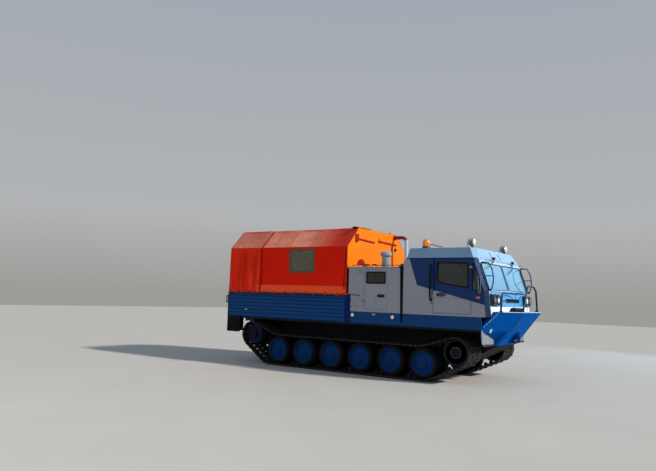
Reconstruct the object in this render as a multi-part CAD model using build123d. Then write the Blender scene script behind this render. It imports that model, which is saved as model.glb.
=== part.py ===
from build123d import *
import os
import math

# Tracked all-terrain carrier: boat-shaped hull between two tracks, cab-forward
# body, engine bay behind the cab, open bed under a canvas canopy.
# Millimetres. X forward, Y left, Z up. Origin: middle of the outline on the ground.

# ---------------------------------------------------------------- dimensions
BODY_Y = 1575.0          # half width over the body sides
SKIN = 40.0              # body wall thickness
X_REAR = -4320.0         # rear end of the bed
X_BED_F = -131.0         # front end of the bed
X_ENG_R, X_ENG_F = -23.0, 1527.0
X_CAB_R = 1587.0
X_BAND_F = 3624.0
X_NOSE = 4320.0
Z_BAND_LO, Z_BAND_HI = 1314.0, 1610.0
DECK_T = 40.0
Z_DECK = Z_BAND_LO + DECK_T
Z_BED = 2027.0
Z_ENG = 2766.0
Z_CAB_SIDE = 2980.0
Z_ROOF = 3243.0
ROOF_Y = 1400.0          # half width of the flat of the cab roof
FRONT_Y = 1425.0         # half width of the cab's front face, inside its slanted corners
CORNER_X = 60.0          # run of a slanted corner along X

HULL_Y = 690.0
Z_BELLY = 470.0

WHEEL_X0, WHEEL_PITCH, WHEEL_N = -2391.0, 903.0, 6
WHEEL_Z, WHEEL_R = 441.0, 388.5
DISC_R = 318.0
TRACK_Y0, TRACK_Y1 = 780.0, 1565.0
TRACK_T, SHOE_H = 28.0, 24.5
SHOE_N = 94
IDLER_X, IDLER_Z, IDLER_R = 2977.0, 756.0, 330.0
SPROCKET_X, SPROCKET_Z, SPROCKET_R = -3344.0, 830.0, 336.0

WS_X0, WS_Z0 = 3737.0, 2223.0          # windshield foot
WS_SLOPE = (3504.0 - 3737.0) / (2906.0 - 2223.0)

TENT_Y, TENT_EAVE, TENT_RIDGE_Y, TENT_RIDGE = 1591.0, 3317.0, 1055.0, 3862.0
TENT_X0, TENT_X1 = -4275.0, -78.0
TENT_FOOT = 1985.0
CLOTH = 12.0

DOOR_X0, DOOR_X1, DOOR_Z0, DOOR_Z1 = 2399.0, 3365.0, 1659.0, 2961.0
EDOOR_X0, EDOOR_X1, EDOOR_Z0, EDOOR_Z1 = 457.0, 1129.0, 1690.0, 2709.0
GAP = 6.0
HINGE_Y = 1592.0
HINGE_R = 12.0

# ---------------------------------------------------------------- helpers
def box(x0, x1, y0, y1, z0, z1):
    return Pos((x0 + x1) / 2, (y0 + y1) / 2, (z0 + z1) / 2) * Box(x1 - x0, y1 - y0, z1 - z0)


def prism_y(pts, y0, y1):
    """Polygon in (x, z), pulled along Y."""
    f = make_face(Polyline(*[(x, y0, z) for x, z in pts], close=True))
    return extrude(f, amount=y1 - y0, dir=(0, 1, 0))


def prism_x(pts, x0, x1):
    """Polygon in (y, z), pulled along X."""
    f = make_face(Polyline(*[(x0, y, z) for y, z in pts], close=True))
    return extrude(f, amount=x1 - x0, dir=(1, 0, 0))


def prism_z(pts, z0, z1):
    f = make_face(Polyline(*[(x, y, z0) for x, y in pts], close=True))
    return extrude(f, amount=z1 - z0, dir=(0, 0, 1))


def rod(p, q, r):
    """Round bar from p to q."""
    p, q = Vector(*p), Vector(*q)
    d = q - p
    return Plane(origin=p, z_dir=d) * Cylinder(r, d.length, align=(Align.CENTER, Align.CENTER, Align.MIN))


def bar(p, q, w, h):
    """Square bar from p to q in a plane across X or Y."""
    p, q = Vector(*p), Vector(*q)
    d = q - p
    side = Vector(1, 0, 0) if abs(d.X) < 1e-6 else Vector(0, 1, 0)
    return Plane(origin=p, z_dir=d, x_dir=side) * Box(w, h, d.length, align=(Align.CENTER, Align.CENTER, Align.MIN))


def cyl_y(x, z, r, y0, y1):
    return Pos(x, (y0 + y1) / 2, z) * Rot(90, 0, 0) * Cylinder(r, y1 - y0)


def cyl_z(x, y, r, z0, z1):
    return Pos(x, y, (z0 + z1) / 2) * Cylinder(r, z1 - z0)


def pipe(points, r, bend):
    """Round tube along straight runs joined by tangent arcs."""
    line = FilletPolyline(*points, radius=bend)
    start = line @ 0
    tan = line % 0
    prof = Plane(origin=start, z_dir=tan) * Circle(r)
    return sweep(prof, path=line)


def flip(s):
    return mirror(s, about=Plane.XZ)


def both(s):
    return [s, flip(s)]


NODES = {}


def node(name, *solids):
    flat = []
    for s in solids:
        if isinstance(s, (list, tuple)):
            flat += list(s)
        else:
            flat.append(s)
    parts = []
    for s in flat:
        parts += list(s.solids())
    NODES[name] = parts[0] if len(parts) == 1 else Compound(children=parts)


# ---------------------------------------------------------------- hull, deck, nose
hull = prism_y([(-4050, Z_BAND_LO), (-4050, 950), (-3760, 560), (-3560, Z_BELLY), (2850, Z_BELLY),
                (3180, 650), (X_BAND_F, 897), (X_BAND_F, Z_BAND_LO)], -HULL_Y, HULL_Y)
node("hull", hull)
node("floor_deck", box(X_REAR + 4, X_BAND_F - 1, -BODY_Y + SKIN, BODY_Y - SKIN, Z_BAND_LO, Z_DECK))
node("side_bands", both(box(X_BED_F, X_BAND_F - 1, BODY_Y - SKIN, BODY_Y, Z_BAND_LO, Z_BAND_HI)))

# nose: closed bow box with a flat deck, raked front face and raked cheeks
NOSE_DECK, NOSE_FOOT = 1743.0, 930.0
A = Vector(3995, 1417.5, NOSE_DECK)
F = Vector(X_NOSE, 640, NOSE_DECK)
B = Vector(3733, 630, 977)
nose = box(X_BAND_F, X_NOSE + 5, -1522.5, 1522.5, NOSE_FOOT, NOSE_DECK)


def keep_below(s, p, n, size=9000):
    """Cut away what lies on the n side of the plane through p."""
    cutter = Plane(origin=p, z_dir=n) * Box(size, size, size, align=(Align.CENTER, Align.CENTER, Align.MIN))
    return s - cutter


n_front = Vector(0, 1, 0).cross(B - F)
if n_front.X < 0:
    n_front = n_front * -1
nose = keep_below(nose, F, n_front)
for sgn in (1, -1):
    a, f, b = (Vector(v.X, sgn * v.Y, v.Z) for v in (A, F, B))
    n = (f - a).cross(b - a)
    if n.X < 0:
        n = n * -1
    nose = keep_below(nose, a, n)
    # side of the deck, running from the cab corner to the nose corner
    c = Vector(X_BAND_F, sgn * 1522.5, NOSE_DECK)
    n = (a - c).cross(Vector(0, 0, 1))
    if n.Y * sgn < 0:
        n = n * -1
    nose = keep_below(nose, c, n)
    # upper cheek, from the deck's corner down to the end of the band
    i, j = Vector(3650, sgn * 1540, 1376), Vector(3800, sgn * 1300, NOSE_DECK)
    n = (i - a).cross(j - a)
    if n.Y * sgn < 0:
        n = n * -1
    nose = keep_below(nose, a, n)
nose = nose - box(X_BAND_F - 10, 3802, -1600, 1600, 1612, 1800)
# underside of the wings over the tracks; the middle keeps its full depth
FOOT_Y = 720.0
for sgn in (1, -1):
    under = Plane(origin=Vector(X_BAND_F, sgn * 765, 1077), z_dir=Vector(0.75, sgn * 0.28, -1).normalized())
    cutter = under * Box(3000, 3000, 3000, align=(Align.CENTER, Align.CENTER, Align.MIN))
    nose = nose - (cutter & box(X_BAND_F - 50, X_NOSE + 50, min(sgn * FOOT_Y, sgn * 1700), max(sgn * FOOT_Y, sgn * 1700), 700, 1800))
node("nose", nose)

# splash plates under the front ends of the bands, across the fronts of the tracks
# columns: y, z
PLATE = [(HULL_Y + 1, 1312), (1530, 1312), (1530, 1170), (1490, 1010), (1400, 936), (HULL_Y + 1, 936)]
node("front_mudguards", both(prism_x(PLATE, X_BAND_F - 22, X_BAND_F - 6)))

# tow bracket: gusset on the lower front face, with a cross bore for the pin
TOW_BORE = 42.0
gus = prism_y([(3958, 1270), (3975, 1010), (3925, 985), (3745, 985)], 70, 90)
bracket = gus + flip(gus) + cyl_y(3925, 1055, 62, 70, 90) + cyl_y(3925, 1055, 62, -90, -70)
bracket = bracket + cyl_y(3925, 1055, TOW_BORE / 2 + 14, -70, 70)
bracket = bracket - cyl_y(3925, 1055, TOW_BORE / 2, -200, 200)

# ---------------------------------------------------------------- running gear
WHEEL_XS = [WHEEL_X0 + WHEEL_PITCH * i for i in range(WHEEL_N)]
WH_OUT, WH_IN = 1500.0, 820.0       # outer and inner face of a twin road wheel
TYRE_W = 240.0


def revolve_y(pts, x, z):
    """Polygon in (radius, y), turned about a Y line through (x, z)."""
    f = make_face(Polyline(*[(x + r, y, z) for r, y in pts], close=True))
    return revolve(f, axis=Axis((x, 0, z), (0, 1, 0)))


# columns: radius, distance in from the outer face
DISC_SECTION = [(62, 0), (105, 0), (112, 14), (120, 30), (262, 66), (292, 52), (DISC_R, 14), (DISC_R, 226),
                (292, 226), (284, 82), (262, 84), (120, 48), (95, 60)]


def road_wheel(x):
    half = DISC_SECTION + [(95, (WH_OUT - WH_IN) / 2), (62, (WH_OUT - WH_IN) / 2)]
    out = revolve_y([(r, WH_OUT - d) for r, d in half], x, WHEEL_Z)
    inn = revolve_y([(r, WH_IN + d) for r, d in half], x, WHEEL_Z)
    return out + inn


def ring_y(x, z, r0, r1, y0, y1):
    return cyl_y(x, z, r1, y0, y1) - cyl_y(x, z, r0, y0 - 5, y1 + 5)


wheels, tyres = [], []
for x in WHEEL_XS:
    w = road_wheel(x)
    wheels += both(w)
    for y0, y1 in ((WH_OUT - TYRE_W, WH_OUT), (WH_IN, WH_IN + TYRE_W)):
        tyres += both(ring_y(x, WHEEL_Z, DISC_R, WHEEL_R - 2.5, y0, y1))
node("road_wheels", wheels)
node("road_wheel_tyres", tyres)

# idler: twin plain discs on a hub; sprocket: twin toothed discs on a drum
idler = ring_y(IDLER_X, IDLER_Z, 262, IDLER_R - 3, 1270, 1480) + ring_y(IDLER_X, IDLER_Z, 262, IDLER_R - 3, 860, 1070)
idler = idler + ring_y(IDLER_X, IDLER_Z, 60, 265, 1380, 1400) + ring_y(IDLER_X, IDLER_Z, 60, 265, 940, 960)
idler = idler + ring_y(IDLER_X, IDLER_Z, 60, 136, 900, 1492)
node("idlers", both(idler))

TEETH = 13
spr = ring_y(SPROCKET_X, SPROCKET_Z, 60, 292, 1290, 1330) + ring_y(SPROCKET_X, SPROCKET_Z, 60, 292, 1010, 1050)
spr = spr + ring_y(SPROCKET_X, SPROCKET_Z, 60, 200, 1000, 1340)
disc = ring_y(SPROCKET_X, SPROCKET_Z, 60, 285, 1400, 1425) + ring_y(SPROCKET_X, SPROCKET_Z, 60, 120, 1330, 1490)
spr = spr + disc
for i in range(TEETH):
    a = 2 * math.pi * i / TEETH
    ca, sa = math.cos(a), math.sin(a)
    pts = [(r * ca - t * sa, r * sa + t * ca) for r, t in ((270, -46), (SPROCKET_R - 5, -20), (SPROCKET_R - 5, 20), (270, 46))]
    for y0 in (1290, 1010):
        spr = spr + prism_y([(SPROCKET_X + u, SPROCKET_Z + v) for u, v in pts], y0, y0 + 40)
node("sprockets", both(spr))

# trailing arms: axle, crank and torsion-bar housing for each wheel; shafts of idler and sprocket
ARM_DX, ARM_DZ = 300.0, 130.0
arms = []
for x in WHEEL_XS:
    px, pz = x + ARM_DX, WHEEL_Z + ARM_DZ
    axle = cyl_y(x, WHEEL_Z, 61.5, 722, WH_OUT - 12)
    crank = cyl_y(x, WHEEL_Z, 92, 720, 790) + cyl_y(px, pz, 92, 720, 790)
    d = Vector(px - x, 0, pz - WHEEL_Z).normalized()
    nx, nz = -d.Z * 60, d.X * 60
    crank = crank + prism_y([(x + nx, WHEEL_Z + nz), (px + nx, pz + nz), (px - nx, pz - nz), (x - nx, WHEEL_Z - nz)], 725, 785)
    tube = cyl_y(px, pz, 70, HULL_Y + 0.0, 725)
    arms += both(axle + crank + tube)
arms += both(cyl_y(IDLER_X, IDLER_Z, 59.5, HULL_Y, 1484) + cyl_y(IDLER_X, IDLER_Z, 120, HULL_Y, 780))
arms += both(cyl_y(SPROCKET_X, SPROCKET_Z, 59.5, HULL_Y, 1482) + cyl_y(SPROCKET_X, SPROCKET_Z, 190, HULL_Y, 960))
node("suspension_arms", arms)

# track: belt line through circles; columns: x, z, signed radius (minus where the run sags over the wheels)
SAG = 1200.0
Z_TOP_RUN = WHEEL_Z + WHEEL_R + 2.5
BELT = [(-2700.0, WHEEL_Z, WHEEL_R), (WHEEL_XS[-1], WHEEL_Z, WHEEL_R), (IDLER_X, IDLER_Z, IDLER_R),
        (1950.0, Z_TOP_RUN + SAG, -SAG), (-2250.0, Z_TOP_RUN + SAG, -SAG), (SPROCKET_X, SPROCKET_Z, SPROCKET_R)]


def belt_points():
    """Points and outward normals at even steps along the belt line."""
    n = len(BELT)
    ths = []
    for i in range(n):
        (x1, z1, r1), (x2, z2, r2) = BELT[i], BELT[(i + 1) % n]
        dx, dz = x2 - x1, z2 - z1
        ths.append(math.atan2(dz, dx) + math.asin((r1 - r2) / math.hypot(dx, dz)))
    fine = []
    for i in range(n):
        x, z, r = BELT[i]
        t0, t1 = ths[i - 1], ths[i]
        while t1 - t0 > math.pi:
            t1 -= 2 * math.pi
        while t1 - t0 < -math.pi:
            t1 += 2 * math.pi
        k = 60
        for j in range(k + 1):
            t = t0 + (t1 - t0) * j / k
            fine.append((x + r * math.sin(t), z - r * math.cos(t), math.sin(t), -math.cos(t)))
    fine.append(fine[0])
    s = [0.0]
    for a, b in zip(fine, fine[1:]):
        s.append(s[-1] + math.hypot(b[0] - a[0], b[1] - a[1]))
    total = s[-1]

    def at(u):
        u = u % total
        lo, hi = 0, len(s) - 1
        while hi - lo > 1:
            m = (lo + hi) // 2
            if s[m] <= u:
                lo = m
            else:
                hi = m
        f = (u - s[lo]) / max(s[hi] - s[lo], 1e-9)
        a, b = fine[lo], fine[hi]
        nx, nz = a[2] + (b[2] - a[2]) * f, a[3] + (b[3] - a[3]) * f
        h = math.hypot(nx, nz)
        return a[0] + (b[0] - a[0]) * f, a[1] + (b[1] - a[1]) * f, nx / h, nz / h
    return at, total


at, TRACK_LEN = belt_points()
PITCH = TRACK_LEN / SHOE_N
outer, inner = [], []
# columns: place in the shoe pitch, height over the belt line
SHOE = [(0.0, TRACK_T), (0.30, TRACK_T), (0.36, TRACK_T + SHOE_H), (0.62, TRACK_T + SHOE_H), (0.68, TRACK_T)]
for k in range(SHOE_N):
    for f, h in SHOE:
        x, z, nx, nz = at((k + f) * PITCH)
        outer.append((x + nx * h, z + nz * h))
    for f in (0.0, 0.5):
        x, z, nx, nz = at((k + f) * PITCH)
        inner.append((x, z))
track = prism_y(outer, TRACK_Y0, TRACK_Y1) - prism_y(inner, TRACK_Y0 - 5, TRACK_Y1 + 5)
low = track.bounding_box().min.Z
track = Pos(0, 0, -low) * track
print("track length", round(TRACK_LEN), "pitch", round(PITCH, 1), "low", round(low, 2))
node("track_left", track)
node("track_right", flip(track))

# ---------------------------------------------------------------- bed
RIB_N, RIB_PITCH, RIB_Z0, RIB_H = 7, 100.0, 1333.0, 62.0
side = box(X_REAR, X_BED_F, BODY_Y - SKIN, 1565, Z_BAND_LO, Z_BED)
side = side + box(X_REAR, X_BED_F, BODY_Y - SKIN, BODY_Y + 4, Z_BAND_LO, Z_BAND_LO + 8)
for i in range(RIB_N):
    z = RIB_Z0 + i * RIB_PITCH
    side = side + prism_x([(1560, z - 14), (BODY_Y + 4, z + 2), (BODY_Y + 4, z + RIB_H - 2), (1560, z + RIB_H + 14)], X_REAR, X_BED_F)
node("bed_walls", both(side), box(X_BED_F - 40, X_BED_F, -1529, 1529, Z_DECK, Z_BED))
gate = box(X_REAR + 20, X_REAR + 58, -1494, 1494, 1405, 1995)
for i in range(5):
    z = 1450 + i * 108
    gate = gate + prism_x([(-1440, z), (-1440, z + 60), (1440, z + 60), (1440, z)], X_REAR + 12, X_REAR + 21)
TG_AX, TG_AZ = X_REAR + 13.0, 1392.0
for y in (-1100, 0, 1100):
    gate = gate + (cyl_y(TG_AX, TG_AZ, 13, y - 60, y + 60) + box(TG_AX - 3, X_REAR + 34, y - 60, y + 60, TG_AZ + 4, 1410))
node("tailgate", gate)
# benches along both bed sides: seat board on legs
bench = box(-4080, -420, 1110, 1484, 1790, 1830)
for x in (-4000, -3130, -2250, -1370, -500):
    bench = bench + box(x - 20, x + 20, 1140, 1180, Z_DECK, 1790)
node("bed_benches", both(bench))

# ---------------------------------------------------------------- canopy and its frame
slope_n = Vector(0, TENT_RIDGE - TENT_EAVE, TENT_Y - TENT_RIDGE_Y).normalized()


def tent_section(inset):
    """Half outline in (y, z), set in by a distance."""
    k = math.tan(math.atan2(TENT_RIDGE - TENT_EAVE, TENT_Y - TENT_RIDGE_Y) / 2)
    e = inset
    ang = math.atan2(TENT_RIDGE - TENT_EAVE, TENT_Y - TENT_RIDGE_Y)
    ridge_y = TENT_RIDGE_Y - e * math.tan(ang / 2)
    y = TENT_Y - e
    z_eave = TENT_RIDGE - e - (y - ridge_y) * math.tan(ang)
    return [(y, z_eave), (ridge_y, TENT_RIDGE - e), (-ridge_y, TENT_RIDGE - e), (-y, z_eave)]


sec_o, sec_i = tent_section(0), tent_section(CLOTH)
z_cut = sec_o[0][1]
roof_o = prism_x(sec_o, TENT_X0, TENT_X1)
roof_i = prism_x([(sec_i[0][0], z_cut - 50)] + sec_i + [(sec_i[3][0], z_cut - 50)], TENT_X0 - 5, TENT_X1 + 5)
node("canopy_roof", roof_o - roof_i)
WIN = [(-2011.0, -1171.0, 2625.0, 3244.0)]       # x0, x1, z0, z1 of the clear windows
wall = box(TENT_X0, TENT_X1, TENT_Y - CLOTH, TENT_Y, TENT_FOOT, z_cut - 1)
films = []
for x0, x1, z0, z1 in WIN:
    wall = wall - box(x0, x1, TENT_Y - 50, TENT_Y + 50, z0, z1)
    films += both(box(x0, x1, TENT_Y - 9, TENT_Y - 3, z0, z1))
node("canopy_sides", both(wall))
end_pts = [(sec_i[0][0] - 1, z_cut - 1), (sec_i[0][0] - 1, sec_i[0][1] - 1), (sec_i[1][0], sec_i[1][1] - 1),
           (sec_i[2][0], sec_i[2][1] - 1), (sec_i[3][0] + 1, sec_i[3][1] - 1), (sec_i[3][0] + 1, z_cut - 1)]


def tent_end(x0, foot):
    pts = [(1576, foot)] + [(1576, sec_i[0][1] - 2), (sec_i[1][0], sec_i[1][1] - 1), (sec_i[2][0], sec_i[2][1] - 1),
                            (-1576, sec_i[0][1] - 2), (-1576, foot)]
    return prism_x(pts, x0, x0 + CLOTH)


front = tent_end(TENT_X1 - CLOTH, Z_BED + 12)
rear = tent_end(TENT_X0, 2045) - box(TENT_X0 - 50, TENT_X0 + 60, -330, 330, 2640, 3240)
films.append(box(TENT_X0 + 3, TENT_X0 + 9, -330, 330, 2640, 3240))
node("canopy_ends", front, rear)
node("canopy_windows", films)

# steel hoops: x places of the five bows
HOOPS = [-4215.0, -3059.0, -2110.0, -1130.0, -200.0]
TUBE = 40.0
fy, fr, fz_e, fz_r = 1540.0, 1030.0, 3272.0, 3818.0
posts, roofbars = [], []
frame_side = None
for x in HOOPS:
    post = box(x - TUBE / 2, x + TUBE / 2, 1490, 1528, Z_DECK + 250, 3262)
    frame_side = post if frame_side is None else frame_side + post
for z in (2090.0, 3222.0):
    frame_side = frame_side + box(HOOPS[0] - 20, HOOPS[-1] + 20, 1490, 1528, z, z + TUBE)
node("canopy_posts", both(frame_side))
sec_f = tent_section(CLOTH + 22 + 8)
rf = None
for x in HOOPS:
    pr = prism_x([(1528, 3264)] + sec_f[0:0] + [(1528, sec_f[0][1]), (sec_f[1][0], sec_f[1][1] - 0), (sec_f[2][0], sec_f[2][1]),
                 (-1528, sec_f[3][1]), (-1528, 3264), (-1490, 3264), (-1488, sec_f[3][1] - 12), (-sec_f[1][0] + 18, sec_f[1][1] - 42),
                 (sec_f[1][0] - 18, sec_f[1][1] - 42), (1488, sec_f[0][1] - 12), (1490, 3264)], x - TUBE / 2, x + TUBE / 2)
    rf = pr if rf is None else rf + pr
for y in (-980.0, 0.0, 980.0):
    z1 = sec_f[1][1] - 3
    rf = rf + box(HOOPS[0] - 20, HOOPS[-1] + 20, y - 20, y + 20, z1 - 36, z1)
node("canopy_bows", rf)

# ---------------------------------------------------------------- engine bay
es = box(X_ENG_R, X_ENG_F, BODY_Y - SKIN, BODY_Y, Z_BAND_HI, Z_ENG - 26)
es = es - box(EDOOR_X0 - GAP, EDOOR_X1 + GAP, BODY_Y - 100, BODY_Y + 100, EDOOR_Z0 - GAP, EDOOR_Z1 + GAP)
top = prism_y([(X_ENG_R, Z_ENG - 25), (X_ENG_R, Z_ENG), (1433, Z_ENG), (X_ENG_F, 2851), (X_ENG_F, 2826), (1440, Z_ENG - 25)], -BODY_Y, BODY_Y)
node("engine_cover", top)
node("engine_walls", both(es), box(X_ENG_R, X_ENG_R + 30, -1534, 1534, Z_DECK, Z_ENG - 26),
     box(X_ENG_F - 30, X_ENG_F, -1534, 1534, Z_DECK, Z_ENG - 26))
node("engine_block", box(150, 1350, -450, 450, Z_DECK, 2300))


def engine_door():
    d = box(EDOOR_X0, EDOOR_X1, BODY_Y - SKIN, BODY_Y, EDOOR_Z0, EDOOR_Z1)
    d = d - box(509, 1087, BODY_Y - 100, BODY_Y + 100, 2352, 2646)
    for z in (1830.0, 2560.0):
        d = d + cyl_z(EDOOR_X0 - 5, HINGE_Y, HINGE_R, z - 45, z + 45) + box(EDOOR_X0, EDOOR_X0 + 40, BODY_Y - 1, HINGE_Y + 4, z - 40, z + 40)
        d = d + box(EDOOR_X0 - 5, EDOOR_X0 + 4, HINGE_Y - 8, HINGE_Y + 4, z - 40, z + 40)
    for i in range(6):        # slats across the air opening
        z = 2366 + i * 47
        d = d + prism_x([(BODY_Y - 34, z), (BODY_Y - 8, z + 30), (BODY_Y - 8, z + 36), (BODY_Y - 34, z + 6)], 500, 1096)
    return d


ed = engine_door()
node("engine_door_left", ed)
node("engine_door_right", flip(ed))

# ---------------------------------------------------------------- cab
def ws_x(z):
    return WS_X0 + WS_SLOPE * (z - WS_Z0)


cs = prism_y([(X_CAB_R, Z_BAND_HI), (X_BAND_F, Z_BAND_HI), (3796, 1617), (WS_X0, WS_Z0), (ws_x(Z_CAB_SIDE - 1), Z_CAB_SIDE - 1),
              (1675, Z_CAB_SIDE - 1), (X_CAB_R, 2905)], FRONT_Y, BODY_Y)
POST = 100.0             # depth of the solid corner post behind the front face
cs = cs - prism_y([(X_CAB_R - 10, Z_BAND_HI - 10), (3796 - POST, Z_BAND_HI - 10), (3796 - POST, 1617), (WS_X0 - POST, WS_Z0),
                   (ws_x(Z_CAB_SIDE + 20) - POST, Z_CAB_SIDE + 20), (X_CAB_R - 10, Z_CAB_SIDE + 20)], FRONT_Y - 5, BODY_Y - SKIN)
for (xa, za), (xb, zb) in (((3796, 1617), (WS_X0, WS_Z0)), ((WS_X0, WS_Z0), (ws_x(Z_CAB_SIDE), Z_CAB_SIDE))):
    dx, dz = xb - xa, zb - za
    run = BODY_Y - FRONT_Y
    cs = keep_below(cs, Vector(xa, FRONT_Y, za), Vector(run * dz, CORNER_X * dz, -run * dx))
cs = cs - box(DOOR_X0 - GAP, DOOR_X1 + GAP, BODY_Y - 100, BODY_Y + 100, DOOR_Z0 - GAP, DOOR_Z1 + GAP)
quarter = [(3405, 2846), (3424, 2846), (3625, 2216), (3405, 2237)]
cs = cs - prism_y(quarter, BODY_Y - 100, BODY_Y + 100)
node("cab_sides", both(cs))
glass = both(prism_y(quarter, BODY_Y - 24, BODY_Y - 18))
front_wall = prism_y([(WS_X0, WS_Z0 - 1), (3796, 1617), (3796 - SKIN, 1617), (WS_X0 - SKIN, WS_Z0 - 1)], -FRONT_Y + 1, FRONT_Y - 1)
wsf = prism_y([(WS_X0, WS_Z0 - 1), (ws_x(Z_CAB_SIDE - 1), Z_CAB_SIDE - 1), (ws_x(Z_CAB_SIDE - 1) - SKIN, Z_CAB_SIDE - 1), (WS_X0 - SKIN, WS_Z0 - 1)],
              -FRONT_Y + 1, FRONT_Y - 1)
for y0, y1 in ((30.0, 1375.0), (-1375.0, -30.0)):
    z0, z1 = 2252.0, 2885.0
    wsf = wsf - prism_y([(ws_x(z0) + 80, z0), (ws_x(z1) + 80, z1), (ws_x(z1) - 120, z1), (ws_x(z0) - 120, z0)], y0, y1)
    glass.append(prism_y([(ws_x(z0) - 12, z0), (ws_x(z1) - 12, z1), (ws_x(z1) - 18, z1), (ws_x(z0) - 18, z0)], y0, y1))
node("cab_front", front_wall + wsf)
node("cab_glass", glass)

ro = prism_x([(-BODY_Y, Z_CAB_SIDE), (-ROOF_Y, Z_ROOF), (ROOF_Y, Z_ROOF), (BODY_Y, Z_CAB_SIDE)], 1675, 3520)
ri = prism_x([(-BODY_Y + 44, Z_CAB_SIDE - 5), (-BODY_Y + 44, Z_CAB_SIDE), (-ROOF_Y + 18, Z_ROOF - 30), (ROOF_Y - 18, Z_ROOF - 30), (BODY_Y - 44, Z_CAB_SIDE), (BODY_Y - 44, Z_CAB_SIDE - 5)],
             1710, 3430)
RAKE = Vector(0.8906, 0, 0.4548)         # outward normal of the roof's front face
ro = keep_below(ro, Vector(ws_x(Z_CAB_SIDE), 0, Z_CAB_SIDE), RAKE)
ri = keep_below(ri, Vector(ws_x(Z_CAB_SIDE) - 38, 0, Z_CAB_SIDE), RAKE)
for s in (1, -1):
    p1 = Vector(ws_x(Z_CAB_SIDE), s * FRONT_Y, Z_CAB_SIDE)
    p2 = Vector(3344, s * 1185, Z_ROOF)
    p3 = Vector(ws_x(Z_CAB_SIDE) - CORNER_X, s * BODY_Y, Z_CAB_SIDE)
    n = (p2 - p1).cross(p3 - p1)
    if n.X < 0:
        n = n * -1
    n = n.normalized()
    ro = keep_below(ro, p1, n)
    ri = keep_below(ri, p1 - n * 36, n)
node("cab_roof", ro - ri)
node("cab_bulkhead", prism_y([(X_CAB_R, Z_DECK), (X_CAB_R, 2905), (1672, Z_CAB_SIDE - 1), (1712, Z_CAB_SIDE - 1), (X_CAB_R + 30, 2888), (X_CAB_R + 30, Z_DECK)],
                             -BODY_Y + SKIN + 1, BODY_Y - SKIN - 1))

DOOR_WIN = [(2504, 2877), (3296, 2860), (3296, 2268), (2494, 2400)]


def cab_door():
    d = box(DOOR_X0, DOOR_X1, BODY_Y - SKIN, BODY_Y, DOOR_Z0, DOOR_Z1)
    d = d - prism_y(DOOR_WIN, BODY_Y - 100, BODY_Y + 100)
    for z in (1800.0, 2700.0):
        d = d + cyl_z(DOOR_X1 + 5, HINGE_Y, HINGE_R, z - 45, z + 45) + box(DOOR_X1 - 40, DOOR_X1, BODY_Y - 1, HINGE_Y + 4, z - 40, z + 40)
        d = d + box(DOOR_X1 - 4, DOOR_X1 + 5, HINGE_Y - 8, HINGE_Y + 4, z - 40, z + 40)
    # pull handle
    d = d + box(2570, 2690, BODY_Y - 1, BODY_Y + 34, 2092, 2112) - box(2590, 2670, BODY_Y + 0, BODY_Y + 22, 2080, 2125)
    return d


cd = cab_door()
node("cab_door_left", cd)
node("cab_door_right", flip(cd))
dg = prism_y(DOOR_WIN, BODY_Y - 24, BODY_Y - 18)
node("door_glass_left", dg)
node("door_glass_right", flip(dg))

# cab interior: seats, dashboard, steering
seat_frames, cushions = [], []
for y in (-780.0, 780.0):
    seat_frames.append(box(2440, 2840, y - 200, y + 200, Z_DECK, 1720))
    cushions.append(box(2400, 2900, y - 250, y + 250, 1722, 1850))
    cushions.append(prism_y([(2400, 1852), (2520, 1852), (2400, 2560), (2300, 2560)], y - 240, y + 240))
node("seat_frames", seat_frames)
node("seat_cushions", cushions)
dash = prism_y([(3420, 2120), (3640, 2190), (3686, 2190), (3712, 1900), (3420, 1900)], -1400, 1400)
WHEEL_C = Vector(3190, 780, 2210)
W_AX = Vector(-0.80, 0, 0.60)
pl = Plane(origin=WHEEL_C, z_dir=W_AX)
sw = pl * Torus(205, 14)
spokes = rod(tuple(WHEEL_C - W_AX * 180), tuple(WHEEL_C + W_AX * 18), 34)
for a in (0, 120, 240):
    ca, sa = math.cos(math.radians(a)), math.sin(math.radians(a))
    q = WHEEL_C + pl.x_dir * (205 * ca) + pl.y_dir * (205 * sa)
    o = WHEEL_C + pl.x_dir * (25 * ca) + pl.y_dir * (25 * sa)
    spokes = spokes + rod(tuple(o), tuple(q), 9)
node("steering_wheel", spokes + sw)
col_end = WHEEL_C - W_AX * 186
col_foot = WHEEL_C - W_AX * 275
node("dashboard", dash + rod(tuple(col_foot), tuple(col_end), 30))

# ---------------------------------------------------------------- outside fittings
# headlamps: pair in a common bezel on each side of the cab front
def front_x(z):
    return WS_X0 + (3796 - WS_X0) * (WS_Z0 - z) / (WS_Z0 - 1617)


lamps = []
for s in (1, -1):
    body = prism_y([(front_x(1890) + 1, 1890), (front_x(2150) + 1, 2150), (front_x(2150) + 60, 2150), (front_x(1890) + 60, 1890)],
                                                            min(s * 930, s * 1395), max(s * 930, s * 1395))
    for yc in (1052.0, 1285.0):
        body = body + Pos(front_x(2020) + 60, s * yc, 2020) * Rot(0, 90, 0) * Cylinder(88, 34)
    lamps.append(body)
node("headlamps", lamps)

# roof lamps and beacon
rl = []
for s in (1, -1):
    rl.append(cyl_z(3190, s * 1100, 14, Z_ROOF, 3325) + Pos(3190, s * 1100, 3400) * Rot(0, 90, 0) * Cylinder(92, 96))
rl.append(cyl_z(2020, -1200, 92, Z_ROOF, 3285) + cyl_z(2020, -1200, 80, 3280, 3412) + Pos(2020, -1200, 3447) * Cone(80, 38, 70))
node("roof_lamps", rl)

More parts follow.
